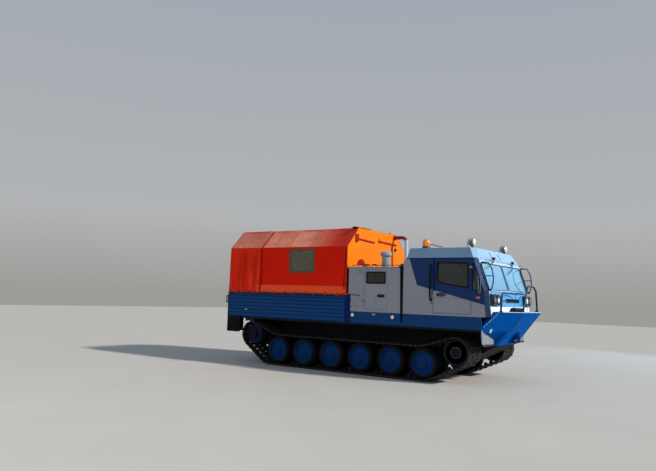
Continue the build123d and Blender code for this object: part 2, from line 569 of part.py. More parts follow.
# front guard on the nose deck: a low rail on the right, a taller hoop on the left
GX, GY = 4005.0, 1362.0
guard = pipe([(GX, -GY, NOSE_DECK), (GX + 6, -1325, 2185), (GX + 40, 0, 2187), (GX + 14, 420, 2190)], 24, 140)
hoop = pipe([(GX + 30, 120, NOSE_DECK), (GX + 14, 430, 2250), (GX + 10, 560, 2398), (GX + 6, 1010, 2398), (GX + 2, 1240, 2290), (GX, GY, NOSE_DECK)], 24, 90)
guard = guard + hoop
guard = guard - nose
node("front_guard", guard)

# deck winch with a coiled line in a tray
node("deck_winch", box(3985, 4165, -790, -120, NOSE_DECK, NOSE_DECK + 18) + cyl_y(4075, NOSE_DECK + 50, 34, -730, -180)
     + box(4010, 4140, -760, -728, NOSE_DECK + 10, NOSE_DECK + 92) + box(4010, 4140, -182, -150, NOSE_DECK + 10, NOSE_DECK + 92))

# closed tube hoops standing forward of the windshield's outer edges, each with a crossbar
RING_Y, RING_R = 1404.0, 14.0
ZM = 2570.0
OFF = (RING_R + 1.5) / math.cos(math.atan(abs(WS_SLOPE)))
RING = [(ws_x(2885) + OFF, 2885), (3715, 2885), (3800, 2730), (3836, 2560), (3832, 2400), (3796, 2272), (ws_x(2236) + OFF, 2236)]
mid = ws_x(ZM) + OFF
hoop = pipe([(mid, RING_Y, ZM + 1)] + [(x, RING_Y, z) for x, z in RING] + [(mid + 0.6, RING_Y, ZM - 1)], RING_R, 24)
hoop = hoop + rod((mid - 6, RING_Y, ZM), (3832, RING_Y, ZM), 10)
node("mirror_hoops", both(hoop))

# engine bay top: mushroom air intake and heater duct to the canopy
node("air_intake", cyl_z(803, -1080, 113, Z_ENG, 3095) + cyl_z(803, -1080, 150, 3085, 3152) + Pos(803, -1080, 3179.5) * Cone(150, 70, 55))
duct = pipe([(TENT_X1, 920, 3775), (330, 920, 3775), (330, 920, Z_ENG)], 48, 150)
node("heater_duct", duct)

# grab rails on the cab sides, steps and mud flaps
rails = []
for s in (1, -1):
    r = pipe([(2345, BODY_Y * s, 2793), (2345, (BODY_Y + 62) * s, 2793), (2345, (BODY_Y + 62) * s, 1974), (2345, BODY_Y * s, 1974)], 15, 30)
    rails.append(r)
node("grab_rails", rails)
node("rear_mudguards", both(box(-4316, -3830, 900, BODY_Y, 860, Z_BAND_LO) - box(-4280, -3700, 860, BODY_Y - 30, 700, Z_BAND_LO - 30)))

# tow hitch at the rear: cross member, jaw and pin bore
HITCH_BORE = 42.0
hitch = box(-4100, -4050, -450, 450, 700 + 280, 1130) + box(-4130, -4100, -190, 190, 960, 1150)
hitch = hitch + box(-4290, -4130, -75, 75, 1000, 1025) + box(-4290, -4130, -75, 75, 1095, 1120)
hitch = hitch - cyl_z(-4230, 0, HITCH_BORE / 2, 900, 1200)
node("tow_fittings", hitch, bracket)

if __name__ == "__main__":
    os.makedirs("parts", exist_ok=True)
    for name, shape in NODES.items():
        shape.label = name
        export_step(shape, "parts/" + name + ".step")
    print(len(NODES), "nodes")
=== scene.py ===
import bpy
import math
import random
import numpy as np
from mathutils import Vector, Matrix
from mathutils import noise as mnoise


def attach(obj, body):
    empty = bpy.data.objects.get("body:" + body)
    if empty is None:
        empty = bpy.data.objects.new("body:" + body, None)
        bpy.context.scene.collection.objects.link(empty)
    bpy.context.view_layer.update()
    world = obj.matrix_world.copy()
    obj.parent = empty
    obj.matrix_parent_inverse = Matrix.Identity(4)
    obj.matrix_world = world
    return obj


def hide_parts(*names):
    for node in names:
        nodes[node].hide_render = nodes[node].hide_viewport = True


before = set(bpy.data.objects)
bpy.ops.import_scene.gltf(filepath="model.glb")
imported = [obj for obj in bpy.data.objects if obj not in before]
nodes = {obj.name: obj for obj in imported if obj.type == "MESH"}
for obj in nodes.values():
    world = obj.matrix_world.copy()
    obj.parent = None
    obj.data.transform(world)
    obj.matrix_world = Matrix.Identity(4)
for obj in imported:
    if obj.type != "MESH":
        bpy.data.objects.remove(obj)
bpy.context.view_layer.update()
scene = bpy.context.scene
rnd = random.Random(11)

# =====================================================================
# shared sizes, in metres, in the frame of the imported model
# =====================================================================
BODY_Y = 1.575
WHEEL_XS = [-2.391 + 0.903 * i for i in range(6)]
WHEEL_Z, WHEEL_R = 0.441, 0.3885
IDLER_X, IDLER_Z, IDLER_R = 2.977, 0.756, 0.330
SPR_X, SPR_Z, SPR_R = -3.344, 0.830, 0.336
TRACK_Y0, TRACK_Y1 = 0.780, 1.565
SHOE_N = 94
WS_X0, WS_Z0 = 3.737, 2.223
WS_SLOPE = (3.504 - 3.737) / (2.906 - 2.223)


def ws_x(z):
    return WS_X0 + WS_SLOPE * (z - WS_Z0)


def front_x(z):
    return WS_X0 + (3.796 - WS_X0) * (WS_Z0 - z) / (WS_Z0 - 1.617)


# =====================================================================
# mesh builder
# =====================================================================
class B:
    """Collects many small solids into one mesh."""

    def __init__(s):
        s.v, s.f = [], []

    def add(s, verts, faces, M=None):
        o = len(s.v)
        for p in verts:
            p = Vector(p)
            s.v.append(tuple(M @ p) if M is not None else tuple(p))
        s.f += [tuple(o + i for i in f) for f in faces]
        return s

    def box(s, x0, x1, y0, y1, z0, z1, M=None):
        v = [(x, y, z) for z in (z0, z1) for y in (y0, y1) for x in (x0, x1)]
        f = [(0, 2, 3, 1), (4, 5, 7, 6), (0, 1, 5, 4), (2, 6, 7, 3), (0, 4, 6, 2), (1, 3, 7, 5)]
        return s.add(v, f, M)

    def frustum(s, x0, x1, y0, y1, z0, z1, inset, M=None):
        """Box whose top is inset, for cast lugs and pads."""
        v = [(x0, y0, z0), (x1, y0, z0), (x0, y1, z0), (x1, y1, z0),
             (x0 + inset, y0 + inset, z1), (x1 - inset, y0 + inset, z1), (x0 + inset, y1 - inset, z1), (x1 - inset, y1 - inset, z1)]
        f = [(0, 2, 3, 1), (4, 5, 7, 6), (0, 1, 5, 4), (2, 6, 7, 3), (0, 4, 6, 2), (1, 3, 7, 5)]
        return s.add(v, f, M)

    def ring(s, frames, n, caps=True, closed=False):
        """Skins circles given as lists of n points."""
        o = len(s.v)
        for fr in frames:
            s.v += [tuple(p) for p in fr]
        m = len(frames)
        for i in range(m if closed else m - 1):
            a, b = o + i * n, o + ((i + 1) % m) * n
            for j in range(n):
                k = (j + 1) % n
                s.f.append((a + j, a + k, b + k, b + j))
        if caps and not closed:
            s.f.append(tuple(o + j for j in reversed(range(n))))
            s.f.append(tuple(o + (m - 1) * n + j for j in range(n)))
        return s

    def cyl(s, p, q, r, n=20, r2=None):
        return s.lathe([(r, 0.0), (r if r2 is None else r2, 1.0)], p, q, n)

    def lathe(s, prof, p, q, n=32, closed=False):
        """Profile of (radius, place along p to q, from 0 to 1)."""
        p, q = Vector(p), Vector(q)
        d = (q - p)
        w = d.normalized()
        u = w.orthogonal().normalized()
        t = w.cross(u)
        frames = []
        for r, h in prof:
            c = p + d * h
            frames.append([c + (u * math.cos(2 * math.pi * j / n) + t * math.sin(2 * math.pi * j / n)) * max(r, 1e-5) for j in range(n)])
        return s.ring(frames, n, caps=not closed, closed=closed)

    def tube(s, pts, r, n=12, bend=0.0, steps=6):
        """Round tube along straight runs, with arcs of radius bend at the corners."""
        P = [Vector(p) for p in pts]
        line = [P[0]]
        for a, b, c in zip(P, P[1:], P[2:]):
            u, w = (a - b).normalized(), (c - b).normalized()
            ang = u.angle(w)
            if bend <= 0 or abs(ang - math.pi) < 1e-3:
                line.append(b)
                continue
            cut = min(bend / math.tan(ang / 2), 0.49 * (a - b).length, 0.49 * (c - b).length)
            rr = cut * math.tan(ang / 2)
            axis = (u + w).normalized()
            cen = b + axis * (rr / math.sin(ang / 2))
            s0, s1 = b + u * cut - cen, b + w * cut - cen
            tot = s0.angle(s1)
            nrm = s0.cross(s1).normalized()
            for i in range(steps + 1):
                line.append(cen + Matrix.Rotation(tot * i / steps, 3, nrm) @ s0)
        line.append(P[-1])
        frames = []
        tan = (line[1] - line[0]).normalized()
        u = tan.orthogonal().normalized()
        for i, c in enumerate(line):
            if i == 0:
                t = (line[1] - line[0]).normalized()
            elif i == len(line) - 1:
                t = (line[-1] - line[-2]).normalized()
            else:
                t = ((line[i] - line[i - 1]).normalized() + (line[i + 1] - line[i]).normalized()).normalized()
            u = (u - t * u.dot(t)).normalized()
            w = t.cross(u)
            frames.append([c + (u * math.cos(2 * math.pi * j / n) + w * math.sin(2 * math.pi * j / n)) * r for j in range(n)])
        return s.ring(frames, n)

    def bolt(s, p, d, r=0.011, h=0.010, washer=True):
        """Hex head standing on a washer."""
        p, d = Vector(p), Vector(d).normalized()
        if washer:
            s.cyl(p - d * 0.002, p + d * 0.003, r * 1.45, 14)
        s.lathe([(r, 0.0), (r, 0.75), (r * 0.82, 1.0)], p + d * 0.002, p + d * (h + 0.003), 6)
        return s

    def torus(s, c, axis, R, r, n=40, m=10, squash=1.0):
        c, w = Vector(c), Vector(axis).normalized()
        u = w.orthogonal().normalized()
        t = w.cross(u)
        frames = []
        for i in range(n):
            a = 2 * math.pi * i / n
            e = u * math.cos(a) + t * math.sin(a)
            frames.append([c + e * (R + r * math.cos(2 * math.pi * j / m)) + w * (r * squash * math.sin(2 * math.pi * j / m)) for j in range(m)])
        return s.ring(frames, m, closed=True)

    def prism(s, pts, axis, a, b):
        """Polygon pulled along an axis: axis y takes (x, z), x takes (y, z), z takes (x, y)."""
        put = {"y": lambda p, t: (p[0], t, p[1]), "x": lambda p, t: (t, p[0], p[1]), "z": lambda p, t: (p[0], p[1], t)}[axis]
        n = len(pts)
        v = [put(p, a) for p in pts] + [put(p, b) for p in pts]
        f = [tuple(reversed(range(n))), tuple(range(n, 2 * n))]
        f += [(i, (i + 1) % n, n + (i + 1) % n, n + i) for i in range(n)]
        return s.add(v, f)

    def sweep(s, path, section, closed=True):
        """Section (list of (out, up)) swept along a list of (point, out vector, up vector)."""
        frames = [[Vector(c) + Vector(o) * a + Vector(u) * b for a, b in section] for c, o, u in path]
        return s.ring(frames, len(section), closed=closed)

    def mirror(s, keep=True):
        n = len(s.v)
        mv = [(x, -y, z) for x, y, z in s.v]
        if not keep:
            s.v = mv
            s.f = [tuple(reversed(f)) for f in s.f]
            return s
        mf = [tuple(n + i for i in reversed(f)) for f in s.f]
        s.v += mv
        s.f += mf
        return s

    def obj(s, name, material, body="chassis", bevel=0.0, angle=35, slot=None, segments=2):
        me = bpy.data.meshes.new(name)
        me.from_pydata(s.v, [], s.f)
        me.validate()
        bm = bmesh_new(me)
        o = bpy.data.objects.new(name, me)
        scene.collection.objects.link(o)
        me.materials.append(material)
        smooth(o, angle)
        if bevel:
            m = o.modifiers.new("edge", "BEVEL")
            m.width, m.segments, m.limit_method, m.angle_limit = bevel, segments, "ANGLE", math.radians(30)
            m.harden_normals = True
        if body:
            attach(o, body)
        return o


def bmesh_new(me):
    import bmesh
    bm = bmesh.new()
    bm.from_mesh(me)
    bmesh.ops.recalc_face_normals(bm, faces=bm.faces)
    bm.to_mesh(me)
    bm.free()


def smooth(o, angle=35):
    me = o.data
    me.polygons.foreach_set("use_smooth", [True] * len(me.polygons))
    me.set_sharp_from_angle(angle=math.radians(angle))


# =====================================================================
# materials
# =====================================================================
class Mat:
    """Node tree helper. Coordinates are the piece's own, in metres."""

    def __init__(s, name):
        s.m = bpy.data.materials.new(name)
        s.m.use_nodes = True
        s.t = s.m.node_tree
        s.p = s.t.nodes["Principled BSDF"]
        s.co = s.t.nodes.new("ShaderNodeTexCoord").outputs["Object"]
        s._xyz = None
        s._geo = None

    def n(s, kind, **props):
        nd = s.t.nodes.new(kind)
        for k, v in props.items():
            setattr(nd, k, v)
        return nd

    def put(s, sock, val):
        if hasattr(val, "links"):
            s.t.links.new(val, sock)
        elif isinstance(val, (tuple, list)) and len(val) == 3 and sock.type == "RGBA":
            sock.default_value = (*val, 1.0)
        else:
            sock.default_value = val

    @property
    def xyz(s):
        if s._xyz is None:
            nd = s.n("ShaderNodeSeparateXYZ")
            s.put(nd.inputs[0], s.co)
            s._xyz = nd.outputs
        return s._xyz

    @property
    def normal(s):
        if s._geo is None:
            nd = s.n("ShaderNodeSeparateXYZ")
            s.put(nd.inputs[0], s.n("ShaderNodeNewGeometry").outputs["Normal"])
            s._geo = nd.outputs
        return s._geo

    def scaled(s, sx, sy, sz):
        nd = s.n("ShaderNodeMapping")
        s.put(nd.inputs["Vector"], s.co)
        nd.inputs["Scale"].default_value = (sx, sy, sz)
        return nd.outputs[0]

    def noise(s, scale, detail=3.0, rough=0.5, vec=None, distort=0.0):
        nd = s.n("ShaderNodeTexNoise")
        s.put(nd.inputs["Vector"], s.co if vec is None else vec)
        nd.inputs["Scale"].default_value = scale
        nd.inputs["Detail"].default_value = detail
        nd.inputs["Roughness"].default_value = rough
        nd.inputs["Distortion"].default_value = distort
        return nd.outputs["Fac"]

    def voronoi(s, scale, feature="F1", vec=None, out="Distance", rand=1.0):
        nd = s.n("ShaderNodeTexVoronoi", feature=feature)
        s.put(nd.inputs["Vector"], s.co if vec is None else vec)
        nd.inputs["Scale"].default_value = scale
        nd.inputs["Randomness"].default_value = rand
        return nd.outputs[out]

    def wave(s, scale, axis="X", vec=None, distort=0.0):
        nd = s.n("ShaderNodeTexWave", bands_direction=axis)
        s.put(nd.inputs["Vector"], s.co if vec is None else vec)
        nd.inputs["Scale"].default_value = scale
        nd.inputs["Distortion"].default_value = distort
        return nd.outputs["Fac"]

    def math(s, op, a, b=0.0, c=None, clamp=False):
        nd = s.n("ShaderNodeMath", operation=op, use_clamp=clamp)
        s.put(nd.inputs[0], a)
        s.put(nd.inputs[1], b)
        if c is not None:
            s.put(nd.inputs[2], c)
        return nd.outputs[0]

    def step(s, val, lo, hi, a=0.0, b=1.0):
        """Smooth step of val from lo to hi."""
        nd = s.n("ShaderNodeMapRange", interpolation_type="SMOOTHSTEP")
        s.put(nd.inputs["Value"], val)
        nd.inputs["From Min"].default_value = lo
        nd.inputs["From Max"].default_value = hi
        nd.inputs["To Min"].default_value = a
        nd.inputs["To Max"].default_value = b
        return nd.outputs["Result"]

    def mix(s, fac, a, b, mode="MIX"):
        nd = s.n("ShaderNodeMix", data_type="RGBA", blend_type=mode)
        s.put(nd.inputs["Factor"], fac)
        s.put(nd.inputs[6], a)
        s.put(nd.inputs[7], b)
        return nd.outputs[2]

    def bump(s, height, strength, dist, normal=None):
        nd = s.n("ShaderNodeBump")
        s.put(nd.inputs["Height"], height)
        nd.inputs["Strength"].default_value = strength
        nd.inputs["Distance"].default_value = dist
        if normal is not None:
            s.put(nd.inputs["Normal"], normal)
        return nd.outputs[0]

    def set(s, **k):
        for key, v in k.items():
            s.put(s.p.inputs[key.replace("_", " ")], v)
        return s


def lin(r, g, b):
    """sRGB 0..255 to linear."""
    return tuple(((c / 255) / 12.92) if c / 255 <= 0.04045 else (((c / 255) + 0.055) / 1.055) ** 2.4 for c in (r, g, b))


DUST = lin(128, 112, 92)
MUD = lin(84, 70, 56)


def paint(name, rgb, gloss=0.46, dust=0.12, low=1.6, wear=0.0, second=None, mask=None, coat=0.0, spec=0.12, dirt=None, streaks=0.16, ribs=False, strip=None):
    """Sprayed body paint: slight colour drift, dust low down and on ledges, fine texture; the strip option paints a
    shaded strip, the ribs option paints light and shade on pressed ribs.
    """
    m = Mat(name)
    base = m.mix(m.noise(1.3, 4, 0.6), tuple(c * 0.86 for c in rgb), tuple(min(1, c * 1.10) for c in rgb))
    if second is not None:
        base2 = m.mix(m.noise(1.1, 4, 0.6), tuple(c * 0.88 for c in second), tuple(min(1, c * 1.06) for c in second))
        base = m.mix(mask(m), base, base2)
    # painted shade: darkens the second colour where the strip mask is set
    if strip is not None:
        base = m.mix(strip(m), base, tuple(c * 0.42 for c in second))
    if ribs:
        # pressed ribs: painted light on the upward slopes, painted shade on the downward ones
        base = m.mix(m.step(m.normal[2], 0.15, 0.60), base, tuple(min(1, c * 1.9 + 0.012) for c in rgb))
        base = m.mix(m.step(m.normal[2], -0.15, -0.60), base, tuple(c * 0.22 for c in rgb))
    # streaks that run down the panels
    streak = m.noise(1.0, 5, 0.65, vec=m.scaled(16, 16, 0.9))
    base = m.mix(m.step(streak, 0.52, 0.75, 0, streaks), base, m.mix(1.0, base, (0.60, 0.60, 0.62), "MULTIPLY"))
    height = m.step(m.xyz[2], low - 1.1, low + 0.5, 1.0, 0.12)
    patch = m.step(m.noise(5.5, 8, 0.72), 0.38, 0.72)
    up = m.step(m.normal[2], 0.45, 0.95, 0.0, 0.55)
    d = m.math("MULTIPLY", m.math("ADD", m.math("MULTIPLY", height, patch), up, clamp=True), dust, clamp=True)
    base = m.mix(d, base, DUST if dirt is None else dirt)
    rough = m.math("ADD", m.step(m.noise(9, 5, 0.6), 0.3, 0.75, gloss, gloss + 0.14), m.math("MULTIPLY", d, 0.4), clamp=True)
    if wear:
        w = m.math("MULTIPLY", m.step(m.noise(38, 6, 0.7), 0.62, 0.70), m.step(m.noise(2.1, 3, 0.5), 0.5, 0.7))
        w = m.math("MULTIPLY", w, wear)
        base = m.mix(w, base, lin(96, 84, 74))
        rough = m.math("ADD", rough, m.math("MULTIPLY", w, 0.3), clamp=True)
    nrm = m.bump(m.noise(2.2, 2, 0.4), 0.35, 0.010)
    nrm = m.bump(m.noise(420, 2, 0.5), 0.10, 0.0006, nrm)
    nrm = m.bump(m.math("MULTIPLY", patch, d), 0.25, 0.001, nrm)
    m.set(Base_Color=base, Roughness=rough, Normal=nrm)
    m.set(Coat_Weight=coat, Coat_Roughness=0.16, Specular_IOR_Level=spec)
    return m.m


def metal(name, rgb, rough=0.42, metallic=1.0, mud=0.3, low=1.2, dirt=None):
    m = Mat(name)
    base = m.mix(m.noise(14, 6, 0.65), tuple(c * 0.72 for c in rgb), tuple(min(1, c * 1.2) for c in rgb))
    height = m.step(m.xyz[2], low - 1.1, low + 0.3, 1.0, 0.25)
    patch = m.step(m.noise(11, 8, 0.7), 0.42, 0.68)
    d = m.math("MULTIPLY", m.math("MULTIPLY", height, patch), mud, clamp=True)
    base = m.mix(d, base, MUD if dirt is None else dirt)
    m.set(Base_Color=base, Roughness=m.math("ADD", m.step(m.noise(30, 5, 0.6), 0.3, 0.7, rough - 0.08, rough + 0.14), m.math("MULTIPLY", d, 0.4), clamp=True),
          Metallic=m.math("MULTIPLY", m.math("SUBTRACT", 1.0, d), metallic), Normal=m.bump(m.noise(160, 5, 0.6), 0.25, 0.001))
    return m.m


def rubber(name, rgb=(0.022, 0.022, 0.023), dust=0.5, rough=0.72, scale=240, spec=0.2):
    m = Mat(name)
    patch = m.step(m.noise(7, 8, 0.7), 0.40, 0.70)
    d = m.math("MULTIPLY", patch, dust, clamp=True)
    base = m.mix(d, m.mix(m.noise(20, 4), tuple(c * 0.8 for c in rgb), tuple(c * 1.35 for c in rgb)), tuple(c * 0.62 for c in DUST))
    nrm = m.bump(m.noise(scale, 4, 0.6), 0.3, 0.0008)
    m.set(Base_Color=base, Roughness=m.step(m.noise(12, 4), 0.3, 0.7, rough - 0.06, rough + 0.12), Normal=nrm, Specular_IOR_Level=spec)
    return m.m


def canvas(name, rgb, slope=None, rear=None, skirt=None, groove=None, weave=260, soft=0.30, sheen=0.02, spec=0.12, edge=None, drift=0.90):
    """Coated tarpaulin: fine basket weave, drift in colour, soft creases with painted shade, dust at the foot; the
    slope, skirt, groove, edge and rear fold options paint light and shade.
    """
    m = Mat(name)
    x, z = m.xyz[0], m.xyz[2]
    base = m.mix(m.step(m.noise(0.9, 4, 0.55), 0.25, 0.75), tuple(c * drift for c in rgb), tuple(min(1, c * 1.07) for c in rgb))
    if rear is not None:
        base = m.mix(m.step(x, -3.04, -3.07), base, m.mix(m.noise(1.4, 4, 0.6), tuple(c * 0.92 for c in rear), tuple(min(1, c * 1.08) for c in rear)))
    # painted light and shade of the rear section's loose folds: darker and lighter soft vertical bands
    if rear is not None:
        loose = m.math("MULTIPLY", m.step(x, -3.08, -3.16), m.step(z, 3.42, 3.05))
        band = m.noise(1.0, 2, 0.45, vec=m.scaled(6.0, 0.0, 0.5), distort=0.3)
        base = m.mix(m.math("MULTIPLY", loose, m.step(band, 0.50, 0.38, 0.0, 0.55)), base, tuple(c * 0.50 for c in rear))
        base = m.mix(m.math("MULTIPLY", loose, m.step(band, 0.54, 0.66, 0.0, 0.50)), base, tuple(min(1, c * 1.35 + 0.02) for c in rear))
    # painted light: the flared skirt band is painted lighter, as lit from above
    if skirt is not None:
        base = m.mix(m.math("MULTIPLY", m.step(z, 2.262, 2.245), m.step(x, -3.24, -3.12)), base, skirt)
    crease = m.noise(2.4, 6, 0.62, vec=m.scaled(1.0, 1.0, 0.55), distort=0.6)
    # painted shade along the creases
    base = m.mix(m.step(crease, 0.58, 0.78, 0, 0.14), base, tuple(c * 0.66 for c in rgb))
    rub = m.math("MULTIPLY", m.step(m.noise(26, 6, 0.7), 0.60, 0.68), m.step(m.noise(1.7, 3, 0.5), 0.52, 0.70))
    base = m.mix(m.math("MULTIPLY", rub, 0.22), base, tuple(min(1, c * 0.85 + 0.04) for c in rgb))
    # painted sky reflection: upward-facing slopes take paler, greyer colours, lighter toward the front and darker on
    # the rear section
    if slope is not None:
        up = m.step(m.normal[2], 0.35, 0.70)
        sky_reflection_tint = m.mix(m.step(x, -1.75, -0.35), slope[0], slope[1])
        sky_reflection_tint = m.mix(m.step(x, -2.95, -3.10), sky_reflection_tint, tuple(c * 0.74 for c in slope[0]))
        sky_reflection_tint = m.mix(m.step(m.noise(3.0, 5, 0.6), 0.3, 0.75, 0.0, 0.4), sky_reflection_tint, tuple(c * 0.8 for c in slope[1]))
        base = m.mix(up, base, sky_reflection_tint)
    # painted shade in the groove where the two cloths meet
    if groove is not None:
        g = m.step(m.math("ABSOLUTE", m.math("SUBTRACT", x, groove)), 0.058, 0.030, 0.0, 0.72)
        base = m.mix(g, base, tuple(c * 0.42 for c in rgb))
    # painted shade: the outermost strips of the front wall, low down, take the dark red of the shaded side
    if edge is not None:
        e = m.math("MULTIPLY", m.step(m.math("ABSOLUTE", m.xyz[1]), 1.46, 1.50), m.step(z, 2.80, 2.74))
        base = m.mix(e, base, edge)
    foot = m.math("MULTIPLY", m.step(z, 1.98, 2.20, 0.30, 0.0), m.step(m.noise(6, 7, 0.7), 0.40, 0.72))
    base = m.mix(foot, base, DUST)
    wv = m.math("MULTIPLY", m.wave(weave, "X"), m.wave(weave, "Z"))
    wv2 = m.math("ADD", wv, m.math("MULTIPLY", m.wave(weave, "Y"), m.wave(weave, "X")))
    nrm = m.bump(m.noise(3.2, 5, 0.55, vec=m.scaled(1, 1, 0.5)), soft, 0.010)
    nrm = m.bump(crease, soft * 0.8, 0.006, nrm)
    nrm = m.bump(wv2, 0.22, 0.0006, nrm)
    m.set(Base_Color=base, Roughness=m.step(m.noise(8, 4), 0.3, 0.7, 0.46, 0.60), Normal=nrm)
    m.set(Sheen_Weight=sheen, Sheen_Roughness=0.45, Specular_IOR_Level=spec)
    return m.m


def plastic(name, rgb, rough=0.5, grain=220, depth=0.0006):
    m = Mat(name)
    base = m.mix(m.noise(6, 4), tuple(c * 0.85 for c in rgb), tuple(min(1, c * 1.15) for c in rgb))
    m.set(Base_Color=base, Roughness=m.step(m.noise(18, 4), 0.3, 0.7, rough - 0.07, rough + 0.1), Normal=m.bump(m.voronoi(grain), 0.2, depth))
    return m.m


def glass(name, rgb, rough=0.02, ior=1.5):
    m = Mat(name)
    m.set(Base_Color=m.mix(m.noise(1.4, 2), rgb, tuple(c * 0.93 for c in rgb)), Roughness=m.step(m.noise(5, 6, 0.7), 0.45, 0.8, rough, rough + 0.06),
          Normal=m.bump(m.noise(2.0, 1), 0.05, 0.002))
    m.set(Transmission_Weight=1.0, IOR=ior)
    return m.m


def cab_panes(name):
    """Window glass; the two front panes carry a painted sky reflection in pale blue, lighter higher up, and let less
    light through; the side panes stay clear.
    """
    m = Mat(name)
    front = m.step(m.math("ABSOLUTE", m.xyz[1]), 1.41, 1.40)
    painted_sky = m.mix(m.step(m.xyz[2], 2.25, 2.90), (0.13, 0.41, 0.70), (0.23, 0.55, 0.80))
    painted_sky = m.mix(m.step(m.noise(1.6, 3, 0.5), 0.35, 0.7, 0, 0.35), painted_sky, (0.12, 0.36, 0.60))
    smear = m.step(m.noise(5, 6, 0.7), 0.45, 0.8, 0.02, 0.09)
    m.set(Base_Color=m.mix(front, (0.80, 0.88, 0.90), painted_sky), Roughness=smear, Normal=m.bump(m.noise(2.0, 1), 0.05, 0.002))
    m.set(Transmission_Weight=m.math("SUBTRACT", 1.0, m.math("MULTIPLY", front, 0.52)), IOR=1.5)
    return m.m


def film(name):
    """Clear flexible window film: slightly milky, with soft ripples."""
    m = Mat(name)
    m.set(Base_Color=m.mix(m.noise(3, 3), (0.50, 0.50, 0.34), (0.66, 0.64, 0.44)), Roughness=m.step(m.noise(4, 4), 0.3, 0.8, 0.03, 0.10),
          Normal=m.bump(m.noise(4.5, 3, 0.5), 0.55, 0.012))
    m.set(Transmission_Weight=0.84, IOR=1.42)
    return m.m


def lens(name, rgb, glow=0.0):
    """Lamp lens with moulded flutes."""
    m = Mat(name)
    fl = m.math("MULTIPLY", m.wave(46, "Y"), m.wave(30, "Z"))
    m.set(Base_Color=m.mix(m.noise(30), rgb, tuple(c * 0.8 for c in rgb)), Roughness=m.step(fl, 0, 1, 0.08, 0.22), Normal=m.bump(fl, 0.5, 0.002))
    m.set(Coat_Weight=1.0, Coat_Roughness=0.04)
    return m.m


def wood(name, rgb):
    m = Mat(name)
    g = m.noise(6, 6, 0.6, vec=m.scaled(0.5, 9, 9), distort=0.8)
    m.set(Base_Color=m.mix(g, tuple(c * 0.6 for c in rgb), tuple(min(1, c * 1.25) for c in rgb)), Roughness=m.step(g, 0.3, 0.7, 0.45, 0.6), Normal=m.bump(g, 0.3, 0.001))
    return m.m


def leather(name, rgb):
    m = Mat(name)
    m.set(Base_Color=m.mix(m.noise(4), tuple(c * 0.8 for c in rgb), tuple(c * 1.3 for c in rgb)), Roughness=m.step(m.noise(9), 0.3, 0.7, 0.42, 0.58),
          Normal=m.bump(m.voronoi(260, "F1"), 0.35, 0.0008))
    return m.m


ORANGE = lin(214, 26, 0)
BLUE = lin(4, 60, 114)
NAVY = lin(18, 50, 98)
GREY = lin(140, 144, 152)
SLATE = lin(13, 17, 24)
BLACK = lin(17, 19, 22)
GRIT = lin(52, 46, 40)


def navy_mask(m):
    """The dark blue field of the cab side: right of the slanted line and above the falling line."""
    x, z = m.xyz[0], m.xyz[2]
    a = m.math("SUBTRACT", x, m.math("ADD", 1.738, m.math("MULTIPLY", m.math("SUBTRACT", 3.003, z), 0.3385)))
    b = m.math("SUBTRACT", z, m.math("SUBTRACT", 2.3205, m.math("MULTIPLY", m.math("SUBTRACT", x, 1.969), 0.2486)))
    c = m.math("SUBTRACT", x, m.math("ADD", 3.666, m.math("MULTIPLY", m.math("SUBTRACT", 2.223, z), 0.0974)))
    return m.math("MAXIMUM", m.math("MULTIPLY", m.step(a, -0.0015, 0.0015), m.step(b, -0.0015, 0.0015)), m.step(c, -0.0015, 0.0015))


def corner_mask(m):
    """Painted shade: darker strip along the cab's front corner."""
    c = m.math("SUBTRACT", m.xyz[0], m.math("ADD", 3.666, m.math("MULTIPLY", m.math("SUBTRACT", 2.223, m.xyz[2]), 0.0974)))
    return m.step(c, -0.0015, 0.0015)


def front_mask(m):
    """Grey bands painted near white as in sunlight: at half strength round the windshield, in full below the headlamps;
    the middle stays blue, painted as sunlit cyan.
    """
    y, z = m.xyz[1], m.xyz[2]
    return m.math("MAXIMUM", m.step(z, 2.196, 2.199, 0.0, 0.50), m.step(z, 1.862, 1.858))


M = {}
M["blue"] = paint("blue_paint", BLUE, dust=0.14, low=1.55, dirt=GRIT)
M["bed_blue"] = paint("bed_blue_paint", BLUE, dust=0.12, low=1.55, dirt=GRIT, ribs=True)
# nose: the body's blue painted brighter and more saturated, as lit from the front (painted light)
M["blue_nose"] = paint("blue_nose_lit_paint", lin(0, 84, 168), dust=0.01, low=1.2, wear=0.1, gloss=0.5, spec=0.01, dirt=GRIT, streaks=0.10)
# painted highlight: pale blue-white for the lit edges of the nose
M["edge_light"] = paint("painted_edge_highlight", lin(150, 196, 232), dust=0.05, low=1.2, gloss=0.3)
M["guard"] = paint("guard_paint", lin(14, 48, 88), dust=0.08, low=1.4, gloss=0.36, spec=0.25)
M["two_tone"] = paint("cab_two_tone", GREY, dust=0.12, low=1.6, second=NAVY, mask=navy_mask, strip=corner_mask)
# cab front: painted light, the blue painted as bright sunlit cyan and the grey bands as sunlit near white
M["front"] = paint("cab_front_sunlit_paint", lin(46, 148, 212), dust=0.08, low=1.6, second=lin(232, 246, 255), mask=front_mask, gloss=0.26, coat=0.3, spec=0.35)
M["grey"] = paint("grey_paint", GREY, dust=0.14, low=1.7)
